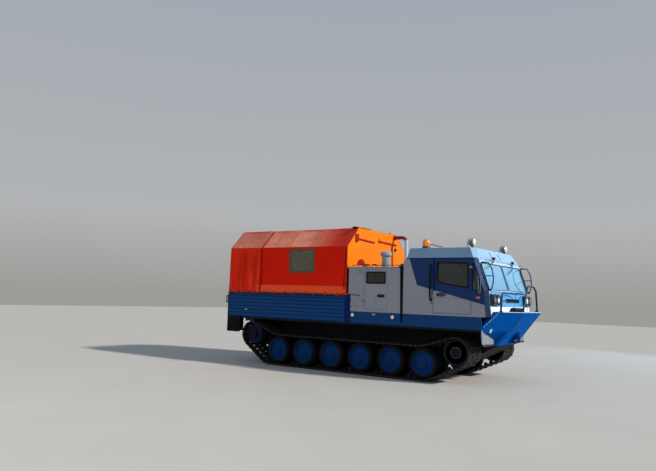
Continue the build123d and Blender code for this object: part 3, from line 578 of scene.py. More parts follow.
# cab roof: grey painted bluish as sky reflection, and its front-facing faces painted lighter as sunlit (painted light)
M["roof"] = paint("roof_painted_sky_and_sun", lin(100, 128, 158), dust=0.05, low=1.7, gloss=0.34, coat=0.15, spec=0.25, second=lin(130, 168, 206), mask=lambda m: m.step(m.normal[0], 0.55, 0.75))
M["slate"] = paint("slate_paint", SLATE, dust=0.16, low=1.5, gloss=0.62, dirt=GRIT, spec=0.2)
M["pale"] = paint("pale_plate", lin(126, 136, 152), dust=0.55, low=1.9, dirt=GRIT, spec=0.03, gloss=0.7, wear=0.8)
M["wheel"] = paint("wheel_paint", lin(0, 50, 104), dust=0.10, low=1.0, gloss=0.5, wear=0.4, dirt=GRIT, spec=0.06)
M["wheel_dark"] = paint("idler_paint", lin(14, 18, 25), dust=0.25, low=1.0, gloss=0.6, wear=0.5, dirt=GRIT)
M["sprocket"] = paint("sprocket_paint", lin(4, 20, 48), dust=0.2, low=1.0, gloss=0.5, wear=0.6, dirt=GRIT)
M["black"] = paint("black_paint", BLACK, dust=0.06, low=1.6, gloss=0.42)
M["track"] = metal("track_steel", lin(25, 23, 22), rough=0.62, metallic=0.35, mud=0.45, low=1.1, dirt=lin(38, 33, 28))
M["bare"] = metal("bare_steel", lin(150, 148, 144), rough=0.36, mud=0.35, low=1.4)
M["tow"] = paint("tow_fitting_paint", lin(16, 20, 26), dust=0.12, low=1.4, wear=0.5, dirt=GRIT, second=lin(0, 58, 122), mask=lambda m: m.step(m.xyz[0], 0.0, 0.1))
M["iron"] = metal("engine_iron", lin(90, 92, 92), rough=0.6, metallic=0.5)
M["tyre"] = rubber("wheel_rubber", rgb=(0.0035, 0.0035, 0.004), dust=0.05, spec=0.08)
M["bolt"] = metal("dull_bolts", lin(60, 60, 60), rough=0.5, metallic=0.7, mud=0.5, low=1.2, dirt=GRIT)
M["ring_grey"] = paint("hub_ring_grey", lin(58, 68, 82), dust=0.15, low=1.0, dirt=GRIT)
M["flap"] = rubber("flap_rubber", rgb=(0.005, 0.005, 0.006), dust=0.06, spec=0.08)
M["gasket"] = rubber("gasket_rubber", rgb=(0.006, 0.006, 0.007), dust=0.03, rough=0.5, spec=0.12)
M["ws_seal"] = rubber("windshield_seal_rubber", rgb=lin(58, 98, 130), dust=0.03, rough=0.45, spec=0.15)
M["joint"] = rubber("joint_sealant", rgb=(0.003, 0.005, 0.009), dust=0.02, rough=0.6, spec=0.05)
M["darkglass"] = plastic("dark_glazing", lin(34, 36, 28), rough=0.16, grain=3, depth=0.0002)
M["marker"] = lens("side_marker_lens", lin(206, 146, 134))
M["canvas"] = canvas("orange_canvas", ORANGE, slope=(lin(208, 134, 112), lin(178, 44, 28)), rear=lin(222, 40, 10), skirt=lin(240, 80, 38), groove=-3.058, spec=0.06, sheen=0.0)
# front wall: painted light, the canvas painted yellow-orange as in full sun, a lit copy of the red-orange side canvas
M["canvas_front"] = canvas("front_canvas_sunlit", lin(236, 116, 0), soft=0.55, spec=0.06, edge=lin(120, 20, 6), drift=0.80)
M["canvas_seam"] = canvas("canvas_bindings", lin(196, 30, 4), slope=(lin(184, 92, 66), lin(166, 42, 24)), weave=420, soft=0.1)
M["canvas_dark"] = canvas("canvas_trim", lin(128, 16, 6), soft=0.2)
M["canvas_black"] = canvas("canvas_black", lin(34, 20, 20), weave=420, soft=0.1, sheen=0.05)
M["border"] = canvas("window_border", lin(86, 74, 66), weave=420, soft=0.1, sheen=0.05)
M["webbing"] = canvas("webbing", lin(38, 14, 18), weave=600, soft=0.1)
M["film"] = film("window_film")
M["glass"] = glass("window_glass", (0.80, 0.88, 0.90))
M["panes"] = cab_panes("cab_panes")
M["seat"] = leather("seat_vinyl", lin(46, 48, 52))
M["dash"] = plastic("dash_plastic", lin(44, 46, 50))
M["blackplastic"] = plastic("black_plastic", lin(20, 21, 23), rough=0.42)
M["lampgrey"] = plastic("lamp_shell", lin(150, 154, 158), rough=0.35)
M["lens"] = lens("clear_lens", lin(226, 230, 232))
M["reflector"] = metal("lamp_reflector", lin(232, 234, 236), rough=0.12, mud=0.0)
M["amber"] = lens("amber_lens", lin(228, 138, 38))
M["redlens"] = lens("red_lens", lin(176, 16, 14))
M["orangelens"] = lens("orange_reflector", lin(226, 74, 30))
M["whitecap"] = plastic("white_cap", lin(214, 218, 222), rough=0.32)
M["wood"] = wood("bench_boards", lin(140, 98, 58))
# heater duct: painted light, the vertical run below the bend painted pale blue-grey as lit by the sky
M["duct"] = paint("duct_painted_light", lin(124, 42, 40), dust=0.05, low=2.0, second=lin(182, 200, 228), mask=lambda m: m.math("MULTIPLY", m.step(m.xyz[2], 3.73, 3.66), m.step(m.xyz[0], 0.27, 0.31)))
M["rope"] = canvas("cord_fibre", lin(34, 38, 46))
M["dark_gap"] = rubber("dark_gap", rgb=(0.006, 0.006, 0.007), dust=0.0)

NODE_MAT = {
    "hull": "slate", "floor_deck": "slate", "side_bands": "blue", "nose": "blue_nose", "road_wheels": "wheel", "road_wheel_tyres": "tyre",
    "idlers": "wheel_dark", "sprockets": "sprocket", "suspension_arms": "slate", "track_left": "track", "track_right": "track", "bed_walls": "bed_blue",
    "tailgate": "bed_blue", "bed_benches": "wood", "canopy_roof": "canvas", "canopy_sides": "canvas", "canopy_ends": "canvas", "canopy_windows": "film",
    "canopy_posts": "black", "canopy_bows": "black", "engine_walls": "grey", "engine_cover": "grey", "engine_block": "iron",
    "engine_door_left": "grey", "engine_door_right": "grey", "cab_sides": "two_tone", "cab_glass": "panes", "cab_front": "front", "cab_roof": "roof",
    "cab_bulkhead": "grey", "cab_door_left": "two_tone", "cab_door_right": "two_tone", "door_glass_left": "glass", "door_glass_right": "glass",
    "seat_frames": "black", "seat_cushions": "seat", "dashboard": "dash", "steering_wheel": "blackplastic", "headlamps": "blackplastic",
    "roof_lamps": "lampgrey", "front_guard": "guard", "deck_winch": "black", "mirror_hoops": "guard", "air_intake": "grey", "heater_duct": "duct",
    "grab_rails": "black", "rear_mudguards": "flap", "front_mudguards": "pale", "tow_fittings": "tow",
}
for name, o in nodes.items():
    o.data.materials.clear()
    o.data.materials.append(M[NODE_MAT[name]])
    smooth(o, 30)
    if name not in ("track_left", "track_right", "canopy_windows", "cab_glass", "door_glass_left", "door_glass_right", "road_wheel_tyres"):
        bv = o.modifiers.new("edge", "BEVEL")
        bv.width, bv.segments, bv.limit_method, bv.angle_limit = 0.004, 2, "ANGLE", math.radians(32)
        bv.harden_normals = True
        bv.use_clamp_overlap = True

# =====================================================================
# running gear
# =====================================================================
SAG = 1.2
Z_TOP = WHEEL_Z + WHEEL_R + 0.0025
BELT = [(-2.700, WHEEL_Z, WHEEL_R), (WHEEL_XS[-1], WHEEL_Z, WHEEL_R), (IDLER_X, IDLER_Z, IDLER_R),
        (1.950, Z_TOP + SAG, -SAG), (-2.250, Z_TOP + SAG, -SAG), (SPR_X, SPR_Z, SPR_R)]


def belt_line():
    """Even walk along the belt: place(u) gives x, z and the outward normal."""
    n = len(BELT)
    ths = []
    for i in range(n):
        (x1, z1, r1), (x2, z2, r2) = BELT[i], BELT[(i + 1) % n]
        dx, dz = x2 - x1, z2 - z1
        ths.append(math.atan2(dz, dx) + math.asin((r1 - r2) / math.hypot(dx, dz)))
    fine = []
    for i in range(n):
        x, z, r = BELT[i]
        t0, t1 = ths[i - 1], ths[i]
        while t1 - t0 > math.pi:
            t1 -= 2 * math.pi
        while t1 - t0 < -math.pi:
            t1 += 2 * math.pi
        for j in range(61):
            t = t0 + (t1 - t0) * j / 60
            fine.append((x + r * math.sin(t), z - r * math.cos(t), math.sin(t), -math.cos(t)))
    fine.append(fine[0])
    s = [0.0]
    for a, b in zip(fine, fine[1:]):
        s.append(s[-1] + math.hypot(b[0] - a[0], b[1] - a[1]))
    s = np.array(s)
    fine = np.array(fine)

    def place(u):
        u = u % s[-1]
        return [float(np.interp(u, s, fine[:, k])) for k in range(4)]
    return place, float(s[-1])


belt_at, BELT_LEN = belt_line()
PITCH = BELT_LEN / SHOE_N
T_IN, T_OUT = 0.003, 0.0275

# one shoe, in its own place: s along the track, h away from the wheels
FULL = [(0.016, T_IN), (0.140, T_IN), (0.145, 0.008), (0.145, 0.020), (0.139, T_OUT), (0.106, T_OUT), (0.100, 0.034), (0.097, 0.049), (0.093, 0.052),
        (0.066, 0.052), (0.062, 0.049), (0.059, 0.034), (0.053, T_OUT), (0.021, T_OUT), (0.015, 0.020), (0.015, 0.008)]
LOW = [(0.016, T_IN), (0.140, T_IN), (0.145, 0.008), (0.145, 0.020), (0.139, T_OUT), (0.103, T_OUT), (0.098, 0.036), (0.061, 0.036), (0.056, T_OUT),
       (0.021, T_OUT), (0.015, 0.020), (0.015, 0.008)]
THIN = [(0.044, T_IN), (0.116, T_IN), (0.120, 0.009), (0.116, 0.024), (0.098, T_OUT), (0.094, 0.046), (0.065, 0.046), (0.061, T_OUT), (0.044, 0.024), (0.040, 0.009)]
# columns: y from, y to, section
SEGMENTS = [(0.782, 0.800, LOW), (0.800, 0.985, FULL), (0.985, 1.062, THIN), (1.062, 1.105, FULL), (1.105, 1.235, LOW), (1.235, 1.272, FULL),
            (1.272, 1.350, THIN), (1.350, 1.545, FULL), (1.545, 1.563, LOW)]
KNUCKLE_A = [(0.802, 0.860), (0.925, 0.984), (1.104, 1.150), (1.192, 1.236), (1.351, 1.405), (1.470, 1.543)]
KNUCKLE_B = [(0.864, 0.921), (1.154, 1.188), (1.409, 1.466)]
GUSSET_Y = [0.840, 0.945, 1.083, 1.254, 1.395, 1.495]


def shoe_local():
    b = B()
    for y0, y1, sec in SEGMENTS:
        b.prism(sec, "y", y0, y1)
    for y0, y1 in KNUCKLE_A:
        b.cyl((PITCH, y0, 0.0145), (PITCH, y1, 0.0145), 0.0145, 9)
        b.box(0.135, PITCH, y0, y1, 0.006, 0.0225)
    for y0, y1 in KNUCKLE_B:
        b.cyl((0.0, y0, 0.0145), (0.0, y1, 0.0145), 0.0145, 9)
        b.box(0.0, 0.025, y0, y1, 0.006, 0.0225)
    for y in GUSSET_Y:
        b.prism([(0.022, T_OUT), (0.060, T_OUT), (0.060, 0.046)], "y", y - 0.006, y + 0.006)
        b.prism([(0.100, T_OUT), (0.138, T_OUT), (0.100, 0.046)], "y", y - 0.006, y + 0.006)
    # pin through the eyes, with a head and a cotter end
    b.cyl((PITCH, 0.778, 0.0145), (PITCH, 1.568, 0.0145), 0.0085, 7)
    b.lathe([(0.0135, 0), (0.0135, 0.7), (0.009, 1)], (PITCH, 1.5635, 0.0145), (PITCH, 1.5715, 0.0145), 8)
    b.lathe([(0.0115, 0), (0.0115, 0.7), (0.008, 1)], (PITCH, 0.7815, 0.0145), (PITCH, 0.7745, 0.0145), 8)
    # guide horns between the twin wheels
    for y in (1.122, 1.218):
        v = [(0.030, y - 0.019, 0.004), (0.125, y - 0.019, 0.004), (0.030, y + 0.019, 0.004), (0.125, y + 0.019, 0.004),
             (0.058, y - 0.010, -0.070), (0.100, y - 0.010, -0.070), (0.058, y + 0.010, -0.070), (0.100, y + 0.010, -0.070),
             (0.068, y - 0.006, -0.082), (0.092, y - 0.006, -0.082), (0.068, y + 0.006, -0.082), (0.092, y + 0.006, -0.082)]
        f = [(0, 1, 3, 2), (8, 10, 11, 9)]
        for a in (0, 4):
            f += [(a, a + 4, a + 5, a + 1), (a + 2, a + 3, a + 7, a + 6), (a, a + 2, a + 6, a + 4), (a + 1, a + 5, a + 7, a + 3)]
        b.add(v, f)
    return np.array(b.v), b.f


shoe_v, shoe_f = shoe_local()
track = B()
for k in range(SHOE_N):
    x0, z0, nx0, nz0 = belt_at(k * PITCH)
    x1, z1, nx1, nz1 = belt_at((k + 1) * PITCH)
    # pins sit on the pin line, 14.5 mm outside the belt line
    px, pz, qx, qz = x0 + nx0 * 0.0145, z0 + nz0 * 0.0145, x1 + nx1 * 0.0145, z1 + nz1 * 0.0145
    d = math.hypot(qx - px, qz - pz)
    tx, tz = (qx - px) / d, (qz - pz) / d
    nx, nz = tz, -tx
    if nx * nx0 + nz * nz0 < 0:
        nx, nz = -nx, -nz
    st = d / PITCH
    lean = rnd.uniform(-0.0008, 0.0008)
    v = shoe_v.copy()
    s_, h_ = v[:, 0] * st, v[:, 2] - 0.0145 + lean
    out = np.stack([px + tx * s_ + nx * h_, v[:, 1], pz + tz * s_ + nz * h_], 1)
    track.add(out.tolist(), shoe_f)
low = min(p[2] for p in track.v)
track.v = [(x, y, z - min(low, 0.0)) for x, y, z in track.v]
tl = track.obj("track_shoes_left", M["track"], angle=28)
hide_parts("track_left")
track.mirror(keep=False)
tr = track.obj("track_shoes_right", M["track"], angle=28)
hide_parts("track_right")

# tyres with rounded shoulders and a bead that laps over the rim
WH_OUT, WH_IN, TYRE_W = 1.500, 0.820, 0.240
tyre = B()


def tyre_ring(x, y0, y1):
    w = y1 - y0
    R = WHEEL_R - 0.0015
    prof = [(0.319, 0.30), (0.319, 0.10), (0.300, 0.045), (0.290, 0.010), (0.291, -0.012), (0.302, -0.018), (0.322, -0.014), (0.352, 0.002),
            (0.366, 0.010), (0.377, 0.022), (0.3835, 0.045), (R - 0.0006, 0.075), (R, 0.14), (R, 0.46), (R - 0.004, 0.475), (R - 0.004, 0.525), (R, 0.54),
            (R, 0.86), (R - 0.0006, 0.925), (0.3835, 0.955), (0.377, 0.978), (0.345, 1.004), (0.322, 1.006), (0.319, 0.70)]
    tyre.lathe(prof, (x, y0, WHEEL_Z), (x, y0 + w, WHEEL_Z), 56, closed=True)


for x in WHEEL_XS:
    tyre_ring(x, WH_OUT, WH_OUT - TYRE_W)
    tyre_ring(x, WH_IN, WH_IN + TYRE_W)
tyre.mirror()
ty = tyre.obj("wheel_tyres", M["tyre"], angle=40)
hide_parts("road_wheel_tyres")

# hub caps, nuts and pressed rings on the wheel discs
hub, hubb = B(), B()
for x in WHEEL_XS:
    for s, y in ((1, WH_OUT), (-1, WH_IN)):
        c = lambda d, x=x, s=s, y=y: (x, y + s * d, WHEEL_Z)
        hub.lathe([(0.060, 0), (0.060, 0.35), (0.054, 0.7), (0.040, 0.92), (0.018, 1.0)], c(-0.006), c(0.026), 28)
        hub.lathe([(0.100, 0), (0.100, 0.6), (0.094, 1), (0.070, 1)], c(-0.002), c(0.007), 36)
        for i in range(10):
            a = 2 * math.pi * i / 10 + 0.2
            hubb.bolt((x + 0.084 * math.cos(a), y + s * 0.006, WHEEL_Z + 0.084 * math.sin(a)), (0, s, 0), 0.0085, 0.010)
        # flange of the rim, laid over the foot of the tyre
        hub.lathe([(0.272, 0.2), (0.276, 0.75), (0.292, 1.0), (0.305, 0.92), (0.308, 0.45), (0.302, 0.0)], c(-0.030), c(0.0035), 56, closed=True)
        # raised pressing and rim bolts
        hub.torus(c(-0.0605), (0, 1, 0), 0.222, 0.006, 40, 6)
        for i in range(16):
            a = 2 * math.pi * i / 16
            hubb.bolt((x + 0.279 * math.cos(a), y - s * 0.0562, WHEEL_Z + 0.279 * math.sin(a)), (0, s, 0), 0.0075, 0.008, washer=False)
hub.mirror()
hubb.mirror()
hub.obj("wheel_hub_caps", M["wheel"], angle=35, slot="wheel_paint")
hubb.obj("wheel_bolts", M["bolt"], angle=30)

# idler: worn steel rim band, pale hub ring, spokes ribs; sprocket bolts
idl, idr, idb = B(), B(), B()
for y, s in ((1.480, 1), (0.860, -1)):
    idl.lathe([(0.3265, 0), (0.3265, 0.35), (0.318, 1.0), (0.280, 1.0), (0.266, 0.4), (0.266, 0)], (IDLER_X, y - s * 0.001, IDLER_Z), (IDLER_X, y + s * 0.007, IDLER_Z), 60)
for i in range(8):
    a = 2 * math.pi * i / 8 + 0.15
    ca, sa = math.cos(a), math.sin(a)
    p = [(IDLER_X + ca * r - sa * t, IDLER_Z + sa * r + ca * t) for r, t in ((0.135, -0.008), (0.262, -0.006), (0.262, 0.006), (0.135, 0.008))]
    idl.prism(p, "y", 1.399, 1.446)
    idl.prism(p, "y", 0.900, 0.941)
idr.lathe([(0.136, 0), (0.136, 0.75), (0.132, 1), (0.118, 1), (0.114, 0.7), (0.114, 0)], (IDLER_X, 1.489, IDLER_Z), (IDLER_X, 1.502, IDLER_Z), 48, closed=True)
idl.lathe([(0.112, 0), (0.110, 0.2), (0.078, 0.5), (0.058, 1.0), (0.020, 1.0)], (IDLER_X, 1.488, IDLER_Z), (IDLER_X, 1.512, IDLER_Z), 40)
for i in range(8):
    a = 2 * math.pi * i / 8
    idb.bolt((IDLER_X + 0.125 * math.cos(a), 1.501, IDLER_Z + 0.125 * math.sin(a)), (0, 1, 0), 0.006, 0.006, washer=False)
for i in range(12):
    a = 2 * math.pi * i / 12
    idb.bolt((SPR_X + 0.155 * math.cos(a), 1.341, SPR_Z + 0.155 * math.sin(a)), (0, 1, 0), 0.011, 0.012)
    idb.bolt((SPR_X + 0.098 * math.cos(a), 1.4895, SPR_Z + 0.098 * math.sin(a)), (0, 1, 0), 0.008, 0.010)
    idb.bolt((SPR_X + 0.240 * math.cos(a), 1.4255, SPR_Z + 0.240 * math.sin(a)), (0, 1, 0), 0.011, 0.010)
idl.lathe([(0.080, 0), (0.078, 0.4), (0.055, 0.8), (0.030, 1.0)], (SPR_X, 1.488, SPR_Z), (SPR_X, 1.520, SPR_Z), 32)
for b in (idl, idr, idb):
    b.mirror()
idl.obj("idler_trim", M["wheel_dark"], angle=35)
idr.obj("idler_hub_rings", M["ring_grey"], angle=35)
idb.obj("idler_and_sprocket_bolts", M["bolt"], angle=30)

# arms: cap plates, bolts, bump stops on the hull side
arm, armb = B(), B()
for x in WHEEL_XS:
    px, pz = x + 0.300, WHEEL_Z + 0.130
    arm.lathe([(0.098, 0), (0.098, 0.5), (0.088, 1.0), (0.040, 1.0)], (px, 0.789, pz), (px, 0.803, pz), 22)
    arm.lathe([(0.094, 0), (0.094, 0.5), (0.084, 1.0), (0.062, 1.0)], (x, 0.788, WHEEL_Z), (x, 0.800, WHEEL_Z), 22)
    arm.lathe([(0.125, 0), (0.125, 0.8), (0.108, 1.0), (0.072, 1.0)], (px, 0.688, pz), (px, 0.714, pz), 24)
    for i in range(6):
        a = 2 * math.pi * i / 6
        armb.bolt((px + 0.102 * math.cos(a), 0.7105, pz + 0.102 * math.sin(a)), (0, 1, 0), 0.009, 0.010)
        armb.bolt((px + 0.066 * math.cos(a), 0.8025, pz + 0.066 * math.sin(a)), (0, 1, 0), 0.007, 0.008)
    arm.prism([(x - 0.07, 0.80), (x + 0.07, 0.80), (x + 0.05, 0.87), (x - 0.05, 0.87)], "y", 0.688, 0.770)
    arm.box(x - 0.085, x + 0.085, 0.688, 0.705, 0.78, 0.90)
arm.mirror()
armb.mirror()
arm.obj("arm_caps_and_stops", M["slate"], bevel=0.002, angle=30)
armb.obj("arm_bolts", M["bolt"], angle=30)

# hull: belly plates, drain plugs, side flanges and lower edge strips
ho, hb = B(), B()
for x0, x1 in ((-3.30, -2.35), (-2.20, -1.25), (-1.10, -0.15), (0.0, 0.95), (1.10, 2.05), (2.20, 2.75)):
    ho.box(x0, x1, -0.52, 0.52, 0.4625, 0.4695)
    n = 7
    for i in range(n):
        xx = x0 + 0.04 + (x1 - x0 - 0.08) * i / (n - 1)
        for y in (-0.49, 0.49):
            hb.bolt((xx, y, 0.4625), (0, 0, -1), 0.009, 0.009)
    for y in (-0.25, 0.0, 0.25):
        for xx in (x0 + 0.04, x1 - 0.04):
            hb.bolt((xx, y, 0.4625), (0, 0, -1), 0.009, 0.009)
for x in (-2.27, 0.0 - 0.075, 2.12):
    hb.lathe([(0.032, 0), (0.032, 0.5), (0.026, 1)], (x, 0.30, 0.470), (x, 0.30, 0.455), 24)
for s in (1, -1):
    ho.box(-3.95, 3.55, s * 0.690 - 0.004, s * 0.690 + 0.004 + s * 0.012, 1.18, 1.21)
    ho.box(-3.50, 2.95, s * 0.690 - 0.003, s * 0.690 + 0.003 + s * 0.008, 0.495, 0.515)
    for i in range(14):
        x = -3.55 + i * 0.52
        ho.prism([(x - 0.006, 1.21), (x + 0.006, 1.21), (x + 0.006, 1.312), (x - 0.006, 1.312)], "y", *sorted((s * 0.689, s * 0.735)))
ho.obj("hull_belly_plates", M["slate"], bevel=0.002, angle=30)
hb.obj("hull_bolts", M["bolt"], angle=30)

# fender underside: cross ribs under the floor over each track, and a strip along the outer edge
fe = B()
for s in (1, -1):
    for i in range(16):
        x = -3.70 + i * 0.46
        fe.box(x - 0.012, x + 0.012, *sorted((s * 0.695, s * 1.530)), 1.268, 1.3135)
    fe.box(-3.78, 3.60, *sorted((s * 1.512, s * 1.533)), 1.262, 1.3135)
fe.obj("fender_ribs", M["slate"], bevel=0.0015, angle=30)


# =====================================================================
# canopy: one continuous cloth over the hoops, with end walls
# =====================================================================
T_Y, T_EAVE, T_RY, T_RIDGE = 1.591, 3.317, 1.055, 3.862
T_X0, T_X1 = -4.275, -0.078
HEM_Z = 2.028
GROOVE_X = -3.058
HOOPS = [-4.215, -3.059, -2.110, -1.130, -0.200]
TENT_WIN = (-2.011, -1.171, 2.625, 3.244)


def arc_corner(a, b, c, r, n=7):
    """Rounds the corner b between a and c."""
    a, b, c = (np.array(p, float) for p in (a, b, c))
    u, w = (a - b) / np.linalg.norm(a - b), (c - b) / np.linalg.norm(c - b)
    ang = math.acos(float(u @ w))
    cut = r / math.tan(ang / 2)
    p, q = b + u * cut, b + w * cut
    cen = b + (u + w) / np.linalg.norm(u + w) * (r / math.sin(ang / 2))
    t0, t1 = math.atan2(*(p - cen)[::-1]), math.atan2(*(q - cen)[::-1])
    while t1 - t0 > math.pi:
        t1 -= 2 * math.pi
    while t1 - t0 < -math.pi:
        t1 += 2 * math.pi
    return [cen + r * np.array((math.cos(t0 + (t1 - t0) * i / n), math.sin(t0 + (t1 - t0) * i / n))) for i in range(n + 1)]


# half section from the hem up to the middle of the roof, in (y, z)
half = [np.array((T_Y, HEM_Z))]
half += arc_corner((T_Y, HEM_Z), (T_Y, T_EAVE), (T_RY, T_RIDGE), 0.045)
half += arc_corner((T_Y, T_EAVE), (T_RY, T_RIDGE), (0, T_RIDGE), 0.045)
half += [np.array((0.0, T_RIDGE))]
half = np.array(half)
half_s = np.concatenate([[0], np.cumsum(np.linalg.norm(np.diff(half, axis=0), axis=1))])
HALF_L = float(half_s[-1])


def sec_point(t):
    """Place and outward normal at t metres from the hem, right or left mirrored by the caller."""
    y = float(np.interp(t, half_s, half[:, 0]))
    z = float(np.interp(t, half_s, half[:, 1]))
    y0, z0 = float(np.interp(t - 0.012, half_s, half[:, 0])), float(np.interp(t - 0.012, half_s, half[:, 1]))
    y1, z1 = float(np.interp(t + 0.012, half_s, half[:, 0])), float(np.interp(t + 0.012, half_s, half[:, 1]))
    dy, dz = y1 - y0, z1 - z0
    n = math.hypot(dy, dz)
    return y, z, dz / n, -dy / n


S_EAVE = T_EAVE - HEM_Z
S_RIDGE = S_EAVE + math.hypot(T_Y - T_RY, T_RIDGE - T_EAVE)


def sm(v, a, b):
    t = min(1.0, max(0.0, (v - a) / (b - a)))
    return t * t * (3 - 2 * t)


def nz(x, y, z, seed=0.0):
    return mnoise.noise(Vector((x + seed * 7.3, y + seed * 3.1, z - seed * 5.7)))


# loose folds of the rear section: x at the eave, x at the hem, width, height
FOLDS = {-1: [(-4.190, -4.205, 0.062, 0.024), (-4.010, -4.050, 0.072, 0.036), (-3.790, -3.730, 0.066, 0.032),
              (-3.560, -3.470, 0.070, 0.036), (-3.310, -3.290, 0.052, 0.022)],
         1: [(-4.210, -4.200, 0.055, 0.016), (-4.020, -4.080, 0.050, 0.024), (-3.870, -3.800, 0.062, 0.028), (-3.655, -3.640, 0.048, 0.020),
             (-3.500, -3.430, 0.056, 0.026), (-3.320, -3.300, 0.040, 0.014)]}
FOLDS = {k: [(a, b, w * 1.25, h * 1.7) for a, b, w, h in v] for k, v in FOLDS.items()}


def cloth_out(x, t, side):
    """How far the cloth stands proud of its frame at x, t metres up from the hem."""
    side_wall = 1 - sm(t, S_EAVE - 0.05, S_EAVE + 0.02)
    roof_slope = sm(t, S_EAVE, S_EAVE + 0.08) * (1 - sm(t, S_RIDGE - 0.08, S_RIDGE))
    top = sm(t, S_RIDGE, S_RIDGE + 0.10)
    d = 0.0
    rear = 1.0 if x < GROOVE_X - 0.02 else 0.0
    # broad unevenness of a stretched cloth
    d += 0.0045 * nz(x * 0.9, t * 0.8, 0, 1 + side) + 0.0022 * nz(x * 2.7, t * 2.1, 0, 2 + side)
    # soft sag between the hoops
    for a, b in zip(HOOPS, HOOPS[1:]):
        if a <= x <= b:
            f = math.sin(math.pi * (x - a) / (b - a))
            span = (b - a) / 1.0
            d -= f * span * (0.010 * side_wall * sm(t, 0.15, 0.55) + 0.016 * roof_slope + 0.020 * top)
    if rear:
        k = sm(x, GROOVE_X - 0.02, GROOVE_X - 0.10)
        d += 0.010 * k
        down = S_EAVE - t
        env = sm(down, -0.02, 0.42)
        for xe, xh, w, h in FOLDS[side]:
            wob = 0.020 * nz(t * 1.9, xe * 5, side, 3)
            xc = xe + (xh - xe) * max(0.0, down) / S_EAVE + wob
            ww = w * (0.75 + 0.55 * max(0, down) / S_EAVE)
            u = (x - xc) / ww
            g = math.exp(-u * u) - 0.55 * math.exp(-((x - xc - 1.7 * ww) / (0.9 * ww)) ** 2)
            d += k * env * h * g * (0.75 + 0.5 * nz(t * 2.4, xe * 3, 0, 5))
            # the same folds die out over the eave onto the slope
            d += k * 0.10 * h * math.exp(-u * u) * roof_slope * (1 - sm(t, S_EAVE, S_EAVE + 0.35)) * 2.2
        d += k * 0.008 * nz(x * 2.2, t * 1.3, 0, 8) * side_wall
        d += k * 0.006 * nz(x * 2.0, t * 3.0, 0, 9) * (roof_slope + top)
        # piping next to the groove
        d += 0.007 * math.exp(-((x - (GROOVE_X - 0.125)) / 0.022) ** 2) * (1 - top * 0.6)
    else:
        # diagonal tension lines from the eave over each hoop, and near the window
        for i, hx in enumerate(HOOPS[1:]):
            for sgn in (-1, 1):
                for j in range(3):
                    along = (t - S_EAVE) * (0.9 + 0.35 * j) * sgn * -1
                    u = (x - hx - sgn * 0.05 * j - along * 0.55) / 0.030
                    fade = sm(t, S_EAVE - 0.75 + 0.2 * j, S_EAVE - 0.06) * side_wall
                    d += 0.0032 * math.exp(-u * u) * fade * (0.4 + 0.6 * nz(i * 3.1, j * 2.7, sgn, 4 + side))
        # soft vertical drift and slack near the skirt
        d += 0.0035 * nz(x * 3.2, t * 0.7, 0, 6 + side) * side_wall * (1 - sm(t, 0.3, 1.0))
        # stretched ridges over the hoops
        for hx in HOOPS[1:]:
            d += 0.0035 * math.exp(-((x - hx) / 0.030) ** 2) * (roof_slope + top)
        # slight ripples along the sewn seams on the slope
        for sx in (-2.05, -1.29):
            u = (x - sx)
            d += 0.0030 * math.exp(-(u / 0.012) ** 2) * (roof_slope + top)
            d += 0.0022 * math.sin(t * 46 + 5 * nz(t * 3, sx, 0, 7)) * math.exp(-(u / 0.05) ** 2) * (roof_slope + top)
    # the groove where the two cloths meet over a hoop
    g = abs(x - GROOVE_X)
    d -= 0.034 * (1 - sm(g, 0.012, 0.030)) * (1 - 0.45 * top)
    # skirt: drawn over the bed's top edge and flared out
    if t < 0.235 and x > GROOVE_X - 0.25 and x < -0.10:
        e = sm(x, GROOVE_X - 0.25, GROOVE_X - 0.04) * (1 - sm(x, -0.22, -0.10))
        q = 1 - t / 0.235
        d += e * (0.010 * sm(q, 0, 0.12) + 0.052 * q ** 0.85)
        d += e * q * (0.010 * nz(x * 5.5, t * 2, 0, 12 + side) + 0.006 * nz(x * 14, t * 3, 0, 13 + side))
        # pulled in at each tie
        for tx in TIES:
            d -= e * 0.016 * q * math.exp(-((x - tx) / 0.05) ** 2)
    # hem thickness along the free edges
    if t < 0.035:
        d += 0.003
    # the window stays flat, and the cloth's edge stays on the end wall
    wx0, wx1, wz0, wz1 = TENT_WIN
    zz = HEM_Z + t
    if t < S_EAVE:
        fx = max(wx0 - x, x - wx1, 0.0)
        fz = max(wz0 - zz, zz - wz1, 0.0)
        d *= sm(math.hypot(fx, fz), 0.02, 0.16)
    edge = min(x - T_X0, T_X1 - x)
    d *= 0.25 + 0.75 * sm(edge, 0.0, 0.12) if x > -1 else 0.35 + 0.65 * sm(edge, 0.0, 0.05)
    return d


TIES = [-3.20 + 0.355 * i + rnd.uniform(-0.03, 0.03) for i in range(9)]
xs = sorted(set([round(T_X0 + (GROOVE_X - T_X0) * i / 62, 4) for i in range(63)] + [round(GROOVE_X + (T_X1 - GROOVE_X) * i / 84, 4) for i in range(1, 85)] +
                [s_ + k * 0.010 for s_ in (-2.05, -1.29) for k in (-2, -1, 0, 1, 2)] + [-2.011, -1.171] + [GROOVE_X + k * 0.008 for k in range(-6, 7)] +
                [GROOVE_X - 0.125 + k * 0.012 for k in range(-4, 5)]))
xs = [x for i, x in enumerate(xs) if i == 0 or x - xs[i - 1] > 0.0035 or x in (-2.011, -1.171)]
ts = sorted(set([round(HALF_L * i / 84, 4) for i in range(85)] + [TENT_WIN[2] - HEM_Z, TENT_WIN[3] - HEM_Z] + [0.010 * k for k in range(5)] +
                [S_EAVE + k * 0.012 for k in range(-4, 5)] + [S_RIDGE + k * 0.012 for k in range(-4, 5)]))
ts = [t for i, t in enumerate(ts) if i == 0 or t - ts[i - 1] > 0.004 or t in (TENT_WIN[2] - HEM_Z, TENT_WIN[3] - HEM_Z)]


